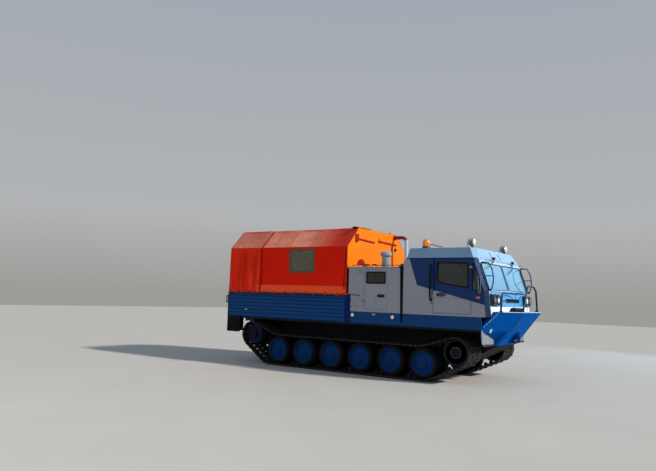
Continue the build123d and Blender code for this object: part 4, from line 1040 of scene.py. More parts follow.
def hem_drop(x, side):
    """The lower edge isn't straight."""
    w = 0.010 * nz(x * 2.6, side, 0, 15)
    for tx in TIES:
        w -= 0.012 * math.exp(-((x - tx) / 0.06) ** 2)
    if x < GROOVE_X:
        w += -0.015 + 0.005 * math.sin(x * 27)
    return w


cl = B()
rows = [(t, -1) for t in ts] + [(t, 1) for t in reversed(ts[:-1])]
NX = len(xs)
for t, side in rows:
    y, z, ny, nzv = sec_point(t)
    fade = 1 - sm(t, 0.0, 0.20)
    for x in xs:
        d = cloth_out(x, t, side)
        zz = z + nzv * d + (hem_drop(x, side) * fade if t < 0.2 else 0)
        cl.v.append((x, side * (y + ny * d), zz))
wx0, wx1, wz0, wz1 = TENT_WIN
for i in range(len(rows) - 1):
    (ta, sa), (tb, sb) = rows[i], rows[i + 1]
    tm = (ta + tb) / 2
    for j in range(NX - 1):
        xm = (xs[j] + xs[j + 1]) / 2
        if wx0 < xm < wx1 and wz0 - HEM_Z < tm < wz1 - HEM_Z:
            continue
        cl.f.append((i * NX + j, i * NX + j + 1, (i + 1) * NX + j + 1, (i + 1) * NX + j))
canopy = cl.obj("canopy_cloth", M["canvas"], angle=70)
sol = canopy.modifiers.new("thickness", "SOLIDIFY")
sol.thickness, sol.offset = 0.0014, 1.0
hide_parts("canopy_roof", "canopy_sides")


# ---- end walls
def wall_top(y):
    """Height of the roof's inside at y."""
    ay = abs(y)
    if ay <= T_RY:
        return T_RIDGE - 0.003
    return T_RIDGE - (ay - T_RY) * (T_RIDGE - T_EAVE) / (T_Y - T_RY) - 0.003


def end_wall(name, x0, sgn, foot, seed, hole=None, fn=None, mat="canvas_front"):
    b = B()
    W = T_Y - 0.004
    ys = sorted(set([round(-W + 2 * W * i / 116, 4) for i in range(117)] + ([hole[0], hole[1]] if hole else [])))
    NV = 58
    hs = [i / (NV - 1) for i in range(NV)]
    for h in hs:
        for y in ys:
            z1 = wall_top(y)
            z = foot + (z1 - foot) * h
            if hole:
                # rows pass exactly along the window's edges
                zr = foot + (T_RIDGE - foot) * h
                f = sm(z1 - (T_RIDGE - 0.01), -0.02, 0.0)
                z = zr * f + z * (1 - f)
                for hz in hole[2:]:
                    if abs(z - hz) < (T_RIDGE - foot) / (NV - 1) * 0.5001 and f > 0.5:
                        z = hz
            edge = min(sm(W - abs(y), 0, 0.10), sm(z1 - z, 0, 0.10))
            d = fn(y, z) if fn else 0.0
            d += 0.006 * nz(y * 1.1, z * 1.1, 0, seed) + 0.003 * nz(y * 3.4, z * 2.2, 0, seed + 1)
            if hole:
                fx = max(hole[0] - y, y - hole[1], 0.0)
                fz = max(hole[2] - z, z - hole[3], 0.0)
                d *= sm(math.hypot(fx, fz), 0.015, 0.12)
            b.v.append((x0 + sgn * d * edge, y, z))
    n = len(ys)
    for i in range(NV - 1):
        for j in range(n - 1):
            if hole:
                ym = (ys[j] + ys[j + 1]) / 2
                zm = (b.v[i * n + j][2] + b.v[(i + 1) * n + j][2]) / 2
                if hole[0] < ym < hole[1] and hole[2] < zm < hole[3]:
                    continue
            b.f.append((i * n + j, i * n + j + 1, (i + 1) * n + j + 1, (i + 1) * n + j))
    o = b.obj(name, M[mat], angle=70)
    s = o.modifiers.new("thickness", "SOLIDIFY")
    s.thickness, s.offset = 0.0014, 0.0
    return o


def front_fn(y, z):
    """Fairly tight, with a fold line under the roof bar and slack toward the foot."""
    d = 0.006 * math.exp(-((z - 3.28) / 0.05) ** 2)
    for i, (yc, lean) in enumerate(((-1.25, 0.10), (-0.62, -0.05), (0.10, 0.04), (0.70, -0.08), (1.28, 0.06))):
        u = (y - yc - lean * (z - 2.9)) / 0.075
        d += (0.007 - 0.001 * i) * math.exp(-u * u) * (1 - sm(z, 2.95, 3.35))
    d -= 0.010 * math.cos(y * math.pi / 3.2) * sm(z, 2.9, 3.3) * (1 - sm(z, 3.6, 3.8))
    return d


def rear_fn(y, z):
    """Rear curtain: hangs from the ridge, with hanging folds beside the two zips."""
    d = 0.0
    for i, (yc, lean, w, h) in enumerate(((-1.42, 0.02, 0.05, 0.014), (-1.18, -0.04, 0.06, 0.018), (-0.98, 0.03, 0.045, 0.012), (-0.55, 0.05, 0.07, 0.012),
                                          (0.52, -0.05, 0.06, 0.013), (0.96, 0.02, 0.05, 0.015), (1.16, 0.05, 0.06, 0.017), (1.45, -0.02, 0.05, 0.012))):
        u = (y - yc - lean * (3.3 - z)) / (w * (0.8 + 0.4 * (3.4 - z)))
        d += h * math.exp(-u * u) * (1 - sm(z, 2.5, 3.5)) * (0.8 + 0.5 * nz(z * 2, yc, 0, 21))
    return d


front_wall = end_wall("canopy_front_wall", T_X1 - 0.006, 1, 2.041, 31, fn=front_fn)
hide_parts("canopy_ends")
rear_wall = end_wall("canopy_rear_wall", T_X0 + 0.006, -1, 2.045, 33, hole=(-0.33, 0.33, 2.64, 3.24), fn=rear_fn, mat="canvas")

# ---- trims: edge binding, seams, flaps, window borders, ties
trim, dark, grey_b, stitch = B(), B(), B(), B()


def strip(b, pts, out, w, th=0.0022, side=None):
    """Flat band along pts, width w, standing on the surface whose outward normal is out(i)."""
    P = [Vector(p) for p in pts]
    path = []
    for i, p in enumerate(P):
        t = ((P[min(i + 1, len(P) - 1)] - P[max(i - 1, 0)])).normalized()
        n = Vector(out(i) if callable(out) else out).normalized()
        s_ = t.cross(n).normalized()
        n = s_.cross(t).normalized()
        path.append((p, s_, n))
    b.sweep(path, [(-w / 2, 0), (-w / 2, th * 0.7), (-w / 2 + w * 0.08, th), (w / 2 - w * 0.08, th), (w / 2, th * 0.7), (w / 2, 0)], closed=False)


def on_cloth(x, t, side, lift=0.0015):
    y, z, ny, nv = sec_point(t)
    d = cloth_out(x, t, side) + lift
    return Vector((x, side * (y + ny * d), z + nv * d + (hem_drop(x, side) * (1 - sm(t, 0.0, 0.20)) if t < 0.2 else 0))), Vector((0, side * ny, nv))


def cloth_line(b, x, t0, t1, side, w, n=60, th=0.0022, lift=0.0012):
    pts, outs = [], []
    for i in range(n + 1):
        t = t0 + (t1 - t0) * i / n
        p, o = on_cloth(x, t, side, lift)
        pts.append(p)
        outs.append(o)
    strip(b, pts, lambda i: outs[i], w, th)


# front edge binding, drawn round the corner onto the front wall, and the seams over the roof
for side in (-1, 1):
    cloth_line(trim, T_X1 - 0.020, 0.0, HALF_L, side, 0.036)
    cloth_line(trim, T_X0 + 0.020, 0.0, HALF_L, side, 0.036)
    for sx in (-2.05, -1.29):
        cloth_line(trim, sx, S_EAVE + 0.01, HALF_L, side, 0.022, th=0.0016)
    for sx in (-2.62, -0.62):
        cloth_line(trim, sx, 0.24, HALF_L, side, 0.016, n=90, th=0.0012)
    # eave seam
    for k, (tt, w_) in enumerate(((S_EAVE - 0.035, 0.020), (S_RIDGE + 0.03, 0.018))):
        pts, outs = [], []
        for x in [GROOVE_X + 0.035 + (T_X1 - 0.04 - GROOVE_X - 0.035) * i / 90 for i in range(91)]:
            p, o = on_cloth(x, tt, side)
            pts.append(p)
            outs.append(o)
        strip(trim, pts, lambda i: outs[i], w_, 0.0016)
    # skirt's upper seam and its hem
    pts, outs = [], []
    for x in [GROOVE_X - 0.17 + (-0.13 - GROOVE_X + 0.17) * i / 90 for i in range(91)]:
        p, o = on_cloth(x, 0.243, side)
        pts.append(p)
        outs.append(o)
    strip(trim, pts, lambda i: outs[i], 0.014, 0.0018)
    pts, outs = [], []
    for x in [T_X0 + 0.01 + (T_X1 - T_X0 - 0.02) * i / 180 for i in range(181)]:
        p, o = on_cloth(x, 0.018, side, 0.0022)
        pts.append(p)
        outs.append(o)
    strip(trim, pts, lambda i: outs[i], 0.034, 0.0020)
    # window border, grey, with a stitched double line
    for a, b_ in (((wx0 - 0.02, wz0), (wx1 + 0.02, wz0)), ((wx0 - 0.02, wz1), (wx1 + 0.02, wz1))):
        strip(grey_b, [(a[0] + (b_[0] - a[0]) * i / 20, side * (T_Y + 0.0028), a[1]) for i in range(21)], (0, side, 0), 0.046, 0.0030)
    for a, b_ in (((wx0, wz0 - 0.02), (wx0, wz1 + 0.02)), ((wx1, wz0 - 0.02), (wx1, wz1 + 0.02))):
        strip(grey_b, [(a[0], side * (T_Y + 0.0024), a[1] + (b_[1] - a[1]) * i / 16) for i in range(17)], (0, side, 0), 0.046, 0.0030)
# rear window border
for a, b_ in (((-0.35, 2.64), (0.35, 2.64)), ((-0.35, 3.24), (0.35, 3.24))):
    strip(grey_b, [(T_X0 + 0.0035, a[0] + (b_[0] - a[0]) * i / 16, a[1]) for i in range(17)], (-1, 0, 0), 0.046, 0.0030)
for a, b_ in (((-0.33, 2.62), (-0.33, 3.26)), ((0.33, 2.62), (0.33, 3.26))):
    strip(grey_b, [(T_X0 + 0.0038, a[0], a[1] + (b_[1] - a[1]) * i / 16) for i in range(17)], (-1, 0, 0), 0.046, 0.0030)
# rear zips with flaps, and roll-up straps with buckles
for y in (-0.86, 0.86):
    strip(dark, [(T_X0 - 0.004 - max(0, rear_fn(y, z)) * 0.9, y, z) for z in [2.06 + 1.62 * i / 40 for i in range(41)]], (-1, 0, 0), 0.030, 0.003)
for y in (-0.58, -0.45, 0.45, 0.58):
    strip(trim, [(T_X0 - 0.006 - max(0, rear_fn(y, z)), y, z) for z in [2.95 + 0.80 * i / 20 for i in range(21)]], (-1, 0, 0), 0.026, 0.0028)
    dark.box(T_X0 - 0.014, T_X0 - 0.004, y - 0.020, y + 0.020, 2.945, 2.985)
# front wall details: vent slits under their flaps, tab ends, ridge flap, cap, painted shadow of the intake cap, grommet
FX = T_X1 + 0.0035
SL1, SL2 = ((-1.035, 3.545), (-0.225, 3.517)), ((0.040, 3.575), (1.065, 3.547))
for (ya, za), (yb, zb) in (SL1, SL2):
    n = 24
    strip(dark, [(FX + 0.001, ya + (yb - ya) * i / n, za + (zb - za) * i / n + 0.004 * math.sin(i * 1.3)) for i in range(n + 1)], (1, 0, 0), 0.020, 0.0030)
    strip(trim, [(FX + 0.006, ya + (yb - ya) * i / n, za + 0.024 + (zb - za) * i / n + 0.003 * math.sin(i * 0.9)) for i in range(n + 1)], (1, 0, 0), 0.028, 0.0030)
# flap hanging at the right edge of the first slit, and two narrow tabs
flap = B()
nU, nV = 12, 16
for i in range(nU + 1):
    for j in range(nV + 1):
        u, v = i / nU, j / nV
        y = -1.235 + 0.185 * u + 0.02 * v * (1 - u)
        z = 3.690 - 0.19 * v - 0.05 * v * (1 - u)
        flap.v.append((FX + 0.006 + 0.020 * math.sin(v * 2.2) * (0.5 + 0.5 * math.sin(u * 5)) + 0.004 * nz(u * 3, v * 3, 0, 41), y, z))
for i in range(nU):
    for j in range(nV):
        a = i * (nV + 1) + j
        flap.f.append((a, a + 1, a + nV + 2, a + nV + 1))
fo = flap.obj("canopy_vent_flap", M["canvas_dark"], angle=60)
fs = fo.modifiers.new("thickness", "SOLIDIFY")
fs.thickness = 0.002
for y, z0, z1 in ((0.030, 3.53, 3.665), (0.760, 3.355, 3.535)):
    strip(dark, [(FX + 0.004, y + 0.012 * math.sin(i), z0 + (z1 - z0) * i / 6) for i in range(7)], (1, 0, 0), 0.026, 0.004)
# ridge flap folded back on the roof's front edge
rf = B()
for i in range(31):
    for j in range(9):
        y = -1.18 + 0.84 * i / 30
        v = j / 8
        lift = 0.028 * math.sin(math.pi * v) + 0.012 * nz(y * 6, v, 0, 44) + 0.010 * (1 - v)
        rf.v.append((T_X1 - 0.02 - 0.16 * v, y, T_RIDGE + 0.004 + lift * sm(min(i, 30 - i) / 30, 0, 0.06)))
for i in range(30):
    for j in range(8):
        a = i * 9 + j
        rf.f.append((a, a + 1, a + 10, a + 9))
ro_ = rf.obj("canopy_ridge_flap", M["canvas_dark"], angle=60)
rs_ = ro_.modifiers.new("thickness", "SOLIDIFY")
rs_.thickness = 0.002
dark.lathe([(0.020, 0), (0.020, 0.5), (0.014, 1)], (T_X1 - 0.03, 0.687, T_RIDGE - 0.002), (T_X1 - 0.03, 0.687, T_RIDGE + 0.042), 16)
# painted shadow of the intake cap: a dark half-round patch low on the right, and the grommet
cap = [(-0.912 + 0.185 * math.cos(a), 2.868 + 0.150 * math.sin(a)) for a in [math.pi * i / 20 for i in range(21)]]
patch = B().prism(cap, "x", FX + 0.008, FX + 0.014)
patch.obj("canopy_painted_cap_shadow", M["canvas_dark"], bevel=0.002)
dark.lathe([(0.046, 0), (0.046, 0.6), (0.040, 1), (0.030, 1), (0.028, 0.5), (0.0, 0.4)], (FX - 0.006, 0.998, 3.422), (FX + 0.010, 0.998, 3.422), 28)
grey_b.torus((FX + 0.008, 0.998, 3.422), (1, 0, 0), 0.048, 0.005, 32, 8)
# cuff round the duct
trim.lathe([(0.078, 0), (0.074, 0.3), (0.058, 0.7), (0.0535, 1.0)], (FX - 0.004, 0.920, 3.775), (FX + 0.050, 0.920, 3.775), 28)
dark.torus((FX + 0.040, 0.920, 3.775), (1, 0, 0), 0.0565, 0.005, 32, 8)

# ties under the skirt: webbing to a hook on the bed wall
web, hook = B(), B()
for side in (-1, 1):
    for tx in TIES + [-4.16, -3.90, -3.62, -3.42]:
        p, o = on_cloth(tx, 0.03, side, 0.004)
        q = Vector((tx + 0.004, side * 1.5815, 1.984))
        mid = (p + q) / 2 + Vector((0, side * 0.006, 0))
        strip(web, [p + Vector((0, 0, 0.038)), p, mid, q, q + Vector((0, -side * 0.001, -0.018))], (0, side, 0), 0.032, 0.0032)
        hook.tube([(tx - 0.012, side * 1.574, 1.978), (tx - 0.012, side * 1.588, 1.976), (tx + 0.012, side * 1.588, 1.976), (tx + 0.012, side * 1.574, 1.978)], 0.0032, 8, 0.006, 3)
        hook.box(tx - 0.020, tx + 0.020, *sorted((side * 1.573, side * 1.5785)), 1.968, 1.990)
# lacing rope that hangs in low bights between the ties
for side in (-1, 1):
    tt = sorted(TIES + [-4.16, -3.90, -3.62, -3.42])
    pts = []
    for a, b in zip(tt, tt[1:]):
        for i in range(6):
            u = i / 6
            x = a + (b - a) * u
            p, o = on_cloth(x, 0.030 - 0.034 * math.sin(math.pi * u), side, 0.006)
            pts.append(tuple(p))
    web.tube(pts, 0.0065, 7)
# lacing strap and cord down the front vertical edge
for side in (-1, 1):
    pts = []
    for i in range(25):
        z = 3.28 - 1.16 * i / 24
        pts.append((T_X1 - 0.050 - 0.045 * sm(3.0 - z, 0, 0.8), side * (T_Y + 0.006 + 0.010 * sm(2.6 - z, 0, 0.4)), z))
    strip(web, pts, (0, side, 0), 0.018, 0.003)
    pts = []
    for i in range(19):
        z = 2.83 - 0.66 * i / 18
        pts.append((T_X1 + 0.010 - 0.07 * sm(2.5 - z, 0, 0.4) + 0.010 * math.sin(i * 0.6), side * (T_Y + 0.012 + 0.012 * math.sin(i * 0.45)), z))
    web.tube(pts, 0.006, 8)
trim.obj("canopy_seams_and_bindings", M["canvas_seam"], angle=40)
dark.obj("canopy_zips_and_slits", M["canvas_black"], angle=40)
grey_b.obj("canopy_window_borders", M["border"], angle=40)
web.obj("canopy_ties_and_straps", M["webbing"], angle=40)
hook.obj("canopy_hooks", M["bolt"], angle=40)

# clear window film, lightly rippled, in its three places
fm = B()


def film_grid(place, nu, nv):
    o = len(fm.v)
    for i in range(nu + 1):
        for j in range(nv + 1):
            fm.v.append(place(i / nu, j / nv))
    for i in range(nu):
        for j in range(nv):
            a = o + i * (nv + 1) + j
            fm.f.append((a, a + 1, a + nv + 2, a + nv + 1))


for side in (-1, 1):
    film_grid(lambda u, v, s=side: (wx0 - 0.01 + (wx1 - wx0 + 0.02) * u,
                                    s * (T_Y - 0.004 + 0.007 * nz(u * 2.6, v * 2.2, 0, 51 + s) * math.sin(math.pi * u) * math.sin(math.pi * v)), wz0 - 0.01 + (wz1 - wz0 + 0.02) * v), 48, 36)
film_grid(lambda u, v: (T_X0 + 0.009 - 0.007 * nz(u * 2.4, v * 2.4, 0, 55) * math.sin(math.pi * u) * math.sin(math.pi * v), -0.34 + 0.68 * u, 2.63 + 0.62 * v), 40, 36)
films = fm.obj("canopy_window_film", M["film"], angle=70)
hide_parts("canopy_windows")


# =====================================================================
# small parts: helpers
# =====================================================================
def side_put(p, h):
    return (p[0], h, p[1])


def back_put(p, h):
    return (-h, p[0], p[1])


def top_put(p, h):
    return (p[0], p[1], h)


def ws_put(p, h):
    """(y, z) on the windshield's plane, h out from it."""
    return (ws_x(p[1]) + h * 0.9464, p[0], p[1] + h * 0.3229)


def front_put(p, h):
    """(y, z) on the face below the windshield, h out from it."""
    return (front_x(p[1]) + h * 0.9953, p[0], p[1] + h * 0.0969)


def arc_flat(a, b, c, r, n):
    """n + 1 points of the arc of radius r that rounds corner b."""
    a, b, c = (np.array(q, float) for q in (a, b, c))
    u, w = a - b, c - b
    lu, lw = np.linalg.norm(u), np.linalg.norm(w)
    u, w = u / lu, w / lw
    ang = math.acos(max(-1.0, min(1.0, float(u @ w))))
    cut = min(r / math.tan(ang / 2), 0.45 * lu, 0.45 * lw)
    rr = cut * math.tan(ang / 2)
    bis = (u + w) / np.linalg.norm(u + w)
    cen = b + bis * (rr / math.sin(ang / 2))
    s0, s1 = b + u * cut - cen, b + w * cut - cen
    a0 = math.atan2(s0[1], s0[0])
    da = (math.atan2(s1[1], s1[0]) - a0 + math.pi) % (2 * math.pi) - math.pi
    return [cen + rr * np.array((math.cos(a0 + da * i / n), math.sin(a0 + da * i / n))) for i in range(n + 1)]


def round_poly(pts, r, n=5):
    """Corners of a polygon rounded; every outline with as many corners gets as many points."""
    out = []
    m = len(pts)
    for i in range(m):
        out += [tuple(q) for q in arc_flat(pts[i - 1], pts[i], pts[(i + 1) % m], r, n)]
    return out


def inset(pts, d):
    """Polygon moved in by d on every edge, whichever way it runs."""
    m = len(pts)
    area = sum(pts[i - 1][0] * pts[i][1] - pts[i][0] * pts[i - 1][1] for i in range(m))
    sg = 1 if area > 0 else -1
    lines = []
    for i in range(m):
        a, b = np.array(pts[i], float), np.array(pts[(i + 1) % m], float)
        t = (b - a) / np.linalg.norm(b - a)
        nrm = np.array((-t[1], t[0])) * sg
        lines.append((a + nrm * d, t))
    out = []
    for i in range(m):
        (p, t), (q, u) = lines[i - 1], lines[i]
        k = ((q[0] - p[0]) * u[1] - (q[1] - p[1]) * u[0]) / (t[0] * u[1] - t[1] * u[0])
        out.append(tuple(p + t * k))
    return out


def rim(b, outer, inner, put, h0, h1, soft=0.003):
    """Rubber or metal rim between two outlines with the same count."""
    fr = []
    for k, h in ((0, h0), (0, h1 - soft), (0.18, h1), (0.82, h1), (1, h1 - soft), (1, h0)):
        fr.append([put((o[0] + (i[0] - o[0]) * k, o[1] + (i[1] - o[1]) * k), h) for o, i in zip(outer, inner)])
    return b.ring(fr, len(outer), closed=True)


def pad(b, pts, put, h0, h1, soft=0.003):
    """Low plate with softened edge."""
    small = inset_round(pts, soft)
    return b.ring([[put(p, h0) for p in pts], [put(p, h1 - soft) for p in pts], [put(p, h1) for p in small]], len(pts))


def inset_round(pts, d):
    c = np.mean(np.array(pts), axis=0)
    out = []
    for p in pts:
        v = c - np.array(p)
        out.append(tuple(np.array(p) + v / max(1e-6, np.linalg.norm(v)) * d))
    return out


def rect(x0, x1, z0, z1):
    return [(x0, z0), (x1, z0), (x1, z1), (x0, z1)]


def sides(b, name, mat, body=None, **k):
    """The left side's build and its mirror: one object, or one for each door."""
    if body is None:
        b.mirror()
        return b.obj(name, mat, **k)
    r = B()
    r.v, r.f = list(b.v), list(b.f)
    r.mirror(keep=False)
    b.obj(name + "_left", mat, body=body + "_left", **k)
    r.obj(name + "_right", mat, body=body + "_right", **k)


Y = BODY_Y
# =====================================================================
# bed: corner strips, latches, reflectors, rivets
# =====================================================================
strips = B()
strips.box(-0.196, -0.1312, Y + 0.0042, Y + 0.0075, 1.322, 2.022)
strips.box(-4.319, -4.268, Y + 0.0042, Y + 0.0075, 1.322, 2.022)
strips.box(-4.319, -0.1312, Y + 0.0042, Y + 0.0090, 2.004, 2.026)
sides(strips, "bed_edge_strips", M["bed_blue"], bevel=0.0015)
dk, dn = B(), B()
dn.box(-0.1308, 0.046, Y + 0.0006, Y + 0.0040, 1.318, 2.062)
for z in (1.36, 1.56, 1.76, 1.96):
    dn.bolt((-0.10, Y + 0.004, z), (0, 1, 0), 0.007, 0.005)
    dn.bolt((0.015, Y + 0.004, z), (0, 1, 0), 0.007, 0.005)
dk.prism([(1.494, 2.765), (1.5905, 2.765), (1.5905, 1.386), (1.527, 1.386)], "y", Y + 0.0006, Y + 0.0034)
sides(dk, "dark_joint_strips", M["joint"], bevel=0.001)
M["strip_blue"] = paint("door_edge_blue", lin(2, 30, 90), dust=0.06, low=1.6, spec=0.06)
sides(dn, "joint_cover_strips", M["strip_blue"], bevel=0.001)
riv = B()
for i in range(27):
    x = -4.20 + 0.1525 * i
    riv.lathe([(0.0065, 0), (0.0065, 0.4), (0.003, 1.0)], (x, Y + 0.0085, 2.015), (x, Y + 0.0125, 2.015), 10)
for z in (1.365, 1.465, 1.565, 1.665, 1.765, 1.865, 1.965):
    for x in (-4.293, -0.163):
        riv.lathe([(0.0065, 0), (0.0065, 0.4), (0.003, 1.0)], (x, Y + 0.007, z), (x, Y + 0.011, z), 10)
sides(riv, "bed_rivets", M["bed_blue"])
# rear corner latches
lat, latb = B(), B()
lat.box(-4.3255, -4.3165, 1.500, 1.566, 1.690, 1.925)
lat.tube([(-4.324, 1.520, 1.735), (-4.362, 1.520, 1.735), (-4.362, 1.520, 1.885), (-4.324, 1.520, 1.885)], 0.011, 12, 0.020, 5)
lat.tube([(-4.322, 1.564, 1.708), (-4.396, 1.564, 1.708), (-4.396, 1.564, 1.912), (-4.322, 1.564, 1.912)], 0.011, 12, 0.020, 5)
lat.box(-4.404, -4.3255, 1.556, 1.572, 1.722, 1.752)
lat.box(-4.404, -4.3255, 1.556, 1.572, 1.868, 1.898)
lat.box(-4.372, -4.3255, 1.522, 1.552, 1.770, 1.850)
for z in (1.702, 1.913):
    for y in (1.515, 1.552):
        latb.bolt((-4.3255, y, z), (-1, 0, 0), 0.006, 0.004)
sides(lat, "bed_corner_latches", M["black"], bevel=0.0015)
sides(latb, "bed_corner_latch_bolts", M["bolt"])


def reflector(b, base, x, z, w, h):
    """Raised marker on a small backing plate, on the body side."""
    pad(base, round_poly(rect(x - w / 2 - 0.008, x + w / 2 + 0.008, z - h / 2 - 0.008, z + h / 2 + 0.008), 0.006), side_put, Y, Y + 0.008, 0.002)
    pad(b, round_poly(rect(x - w / 2, x + w / 2, z - h / 2, z + h / 2), 0.005), side_put, Y + 0.007, Y + 0.018, 0.003)


mk, mkb, mo = B(), B(), B()
for x, z in ((-3.569, 1.529), (0.769, 1.556)):
    reflector(mk, mkb, x, z, 0.085, 0.040)
reflector(mo, mkb, 3.545, 2.056, 0.095, 0.048)
for bb in (mk, mkb):
    for i, (vx, vy, vz) in enumerate(bb.v):
        if vx < -3:
            bb.v[i] = (vx, vy + 0.0045, vz)
sides(mk, "side_markers", M["marker"])
sides(mo, "cab_side_markers", M["orangelens"])
sides(mkb, "side_marker_plates", M["blackplastic"])

# filler caps on the band
capw, capk = B(), B()
for x, z in ((0.131, 1.520), (1.314, 1.512)):
    capk.lathe([(0.074, 0), (0.076, 0.35), (0.070, 0.8), (0.060, 1.0), (0.052, 0.8), (0.052, 0.0)], (x, Y - 0.001, z), (x, Y + 0.020, z), 40)
    capw.lathe([(0.050, 0), (0.050, 0.60), (0.046, 0.78), (0.034, 0.86), (0.030, 0.80), (0.014, 0.80), (0.010, 1.0), (0.0, 1.0)], (x, Y + 0.004, z), (x, Y + 0.026, z), 36)
    for i in range(6):
        a = math.pi / 3 * i + 0.3
        capk.box(x + 0.063 * math.cos(a) - 0.004, x + 0.063 * math.cos(a) + 0.004, Y + 0.012, Y + 0.022, z + 0.063 * math.sin(a) - 0.004, z + 0.063 * math.sin(a) + 0.004)
sides(capw, "filler_caps", M["whitecap"])
sides(capk, "filler_cap_rings", M["gasket"])

# =====================================================================
# engine bay: door windows, handles, vents, rods, top cover
# =====================================================================
vw = rect(0.515, 1.090, 2.334, 2.646)
vf, vg, vm = B(), B(), B()
rim(vf, round_poly(vw, 0.040), round_poly(inset(vw, 0.034), 0.020), side_put, Y - 0.001, Y + 0.016, 0.006)
pad(vg, round_poly(inset(vw, 0.030), 0.022), side_put, Y + 0.0005, Y + 0.0045, 0.001)
vm.box(0.797, 0.808, Y + 0.0042, Y + 0.0085, 2.362, 2.618)
vm.box(0.546, 1.060, Y + 0.0042, Y + 0.0075, 2.362, 2.372)
for x in (0.700, 0.905):
    vm.box(x - 0.014, x + 0.014, Y + 0.0045, Y + 0.0120, 2.372, 2.390)
sides(vf, "engine_door_vent_rim", M["gasket"], "engine_door")
sides(vg, "engine_door_vent_pane", M["darkglass"], "engine_door")
sides(vm, "engine_door_vent_slides", M["black"], "engine_door")
eh, ehb = B(), B()


def paddle(b, base, x0, x1, z, hh):
    """Flush oval paddle handle."""
    oval = []
    for i in range(28):
        a = 2 * math.pi * i / 28
        oval.append(((x0 + x1) / 2 + (x1 - x0) / 2 * math.copysign(abs(math.cos(a)) ** 0.65, math.cos(a)), z + hh * math.copysign(abs(math.sin(a)) ** 0.8, math.sin(a))))
    pad(base, oval, side_put, Y - 0.0005, Y + 0.010, 0.004)
    inner = inset_round(oval, 0.012)
    rim(b, inner, inset_round(oval, 0.020), side_put, Y + 0.009, Y + 0.014, 0.002)
    xm, L = (x0 + x1) / 2, (x1 - x0)
    b.tube([(xm - L * 0.30, Y + 0.010, z), (xm - L * 0.28, Y + 0.022, z + 0.004), (xm, Y + 0.027, z + 0.006), (xm + L * 0.30, Y + 0.026, z + 0.002)], 0.0095, 12, 0.03, 5)
    b.lathe([(0.016, 0), (0.016, 0.7), (0.012, 1.0)], (xm - L * 0.30, Y + 0.006, z), (xm - L * 0.30, Y + 0.022, z), 18)
    base.lathe([(0.010, 0), (0.010, 0.8), (0.006, 1)], (xm + L * 0.34, Y + 0.008, z - hh * 0.2), (xm + L * 0.34, Y + 0.014, z - hh * 0.2), 14)


paddle(eh, ehb, 0.845, 1.068, 2.030, 0.040)
sides(eh, "engine_door_handle", M["blackplastic"], "engine_door")
sides(ehb, "engine_door_handle_plate", M["gasket"], "engine_door")
et, etd, etl = B(), B(), B()
# small louvre box, stay rod with light end, clips, thin line below the handle
rim(et, round_poly(rect(0.190, 0.365, 2.582, 2.716), 0.012), round_poly(rect(0.206, 0.349, 2.598, 2.700), 0.006), side_put, Y - 0.001, Y + 0.009, 0.002)
for i in range(4):
    z = 2.610 + 0.024 * i
    et.prism([(0.207, z), (0.348, z), (0.348, z + 0.012), (0.207, z + 0.012)], "y", Y + 0.0005, Y + 0.007)
etd.tube([(-0.020, Y + 0.020, 2.049), (0.326, Y + 0.020, 2.025)], 0.0070, 10)
etl.tube([(-0.090, Y + 0.020, 2.054), (-0.018, Y + 0.020, 2.049)], 0.0085, 10)
for x, z in ((0.300, 2.027), (-0.010, 2.048)):
    etd.box(x - 0.010, x + 0.010, Y, Y + 0.028, z - 0.012, z + 0.012)
for x, z in ((0.070, 1.911), (0.072, 1.732), (0.230, 1.738), (0.400, 1.902)):
    etl.box(x - 0.014, x + 0.014, Y, Y + 0.010, z - 0.016, z + 0.016)
    etd.bolt((x, Y + 0.010, z), (0, 1, 0), 0.006, 0.004)
# panel edge beads of the bay's wall
for x0, x1, z0, z1 in ((0.140, 0.146, 1.640, 2.735), (1.470, 1.476, 1.640, 2.700)):
    et.box(x0, x1, Y, Y + 0.0022, z0, z1)
et.box(-0.015, 1.515, Y, Y + 0.0035, 1.612, 1.632)
et.prism([(-0.022, 2.752), (1.435, 2.752), (1.527, 2.838), (1.527, 2.856), (1.431, 2.772), (-0.022, 2.772)], "y", Y + 0.0002, Y + 0.012)
for i in range(9):
    etd.bolt((0.075 + 0.170 * i, Y + 0.0035, 1.622), (0, 1, 0), 0.0065, 0.004)
sides(et, "engine_bay_trim", M["grey"], bevel=0.001)
sides(etd, "engine_bay_rods_and_bolts", M["bolt"])
sides(etl, "engine_bay_light_clips", M["pale"], bevel=0.002)
# door: stiffening bead, hinge bolts, thin line
ed_, edb_ = B(), B()
rim(ed_, round_poly(rect(0.476, 1.112, 1.712, 2.690), 0.02), round_poly(rect(0.482, 1.106, 1.718, 2.684), 0.016), side_put, Y - 0.0005, Y + 0.002, 0.001)
edb_.box(0.818, 0.823, Y, Y + 0.004, 1.800, 1.985)
for zc in (1.86, 2.54):
    for dz in (-0.025, 0.025):
        edb_.bolt((0.478, Y, zc + dz), (0, 1, 0), 0.007, 0.005)
sides(ed_, "engine_door_bead", M["grey"], "engine_door")
sides(edb_, "engine_door_bolts", M["bolt"], "engine_door")

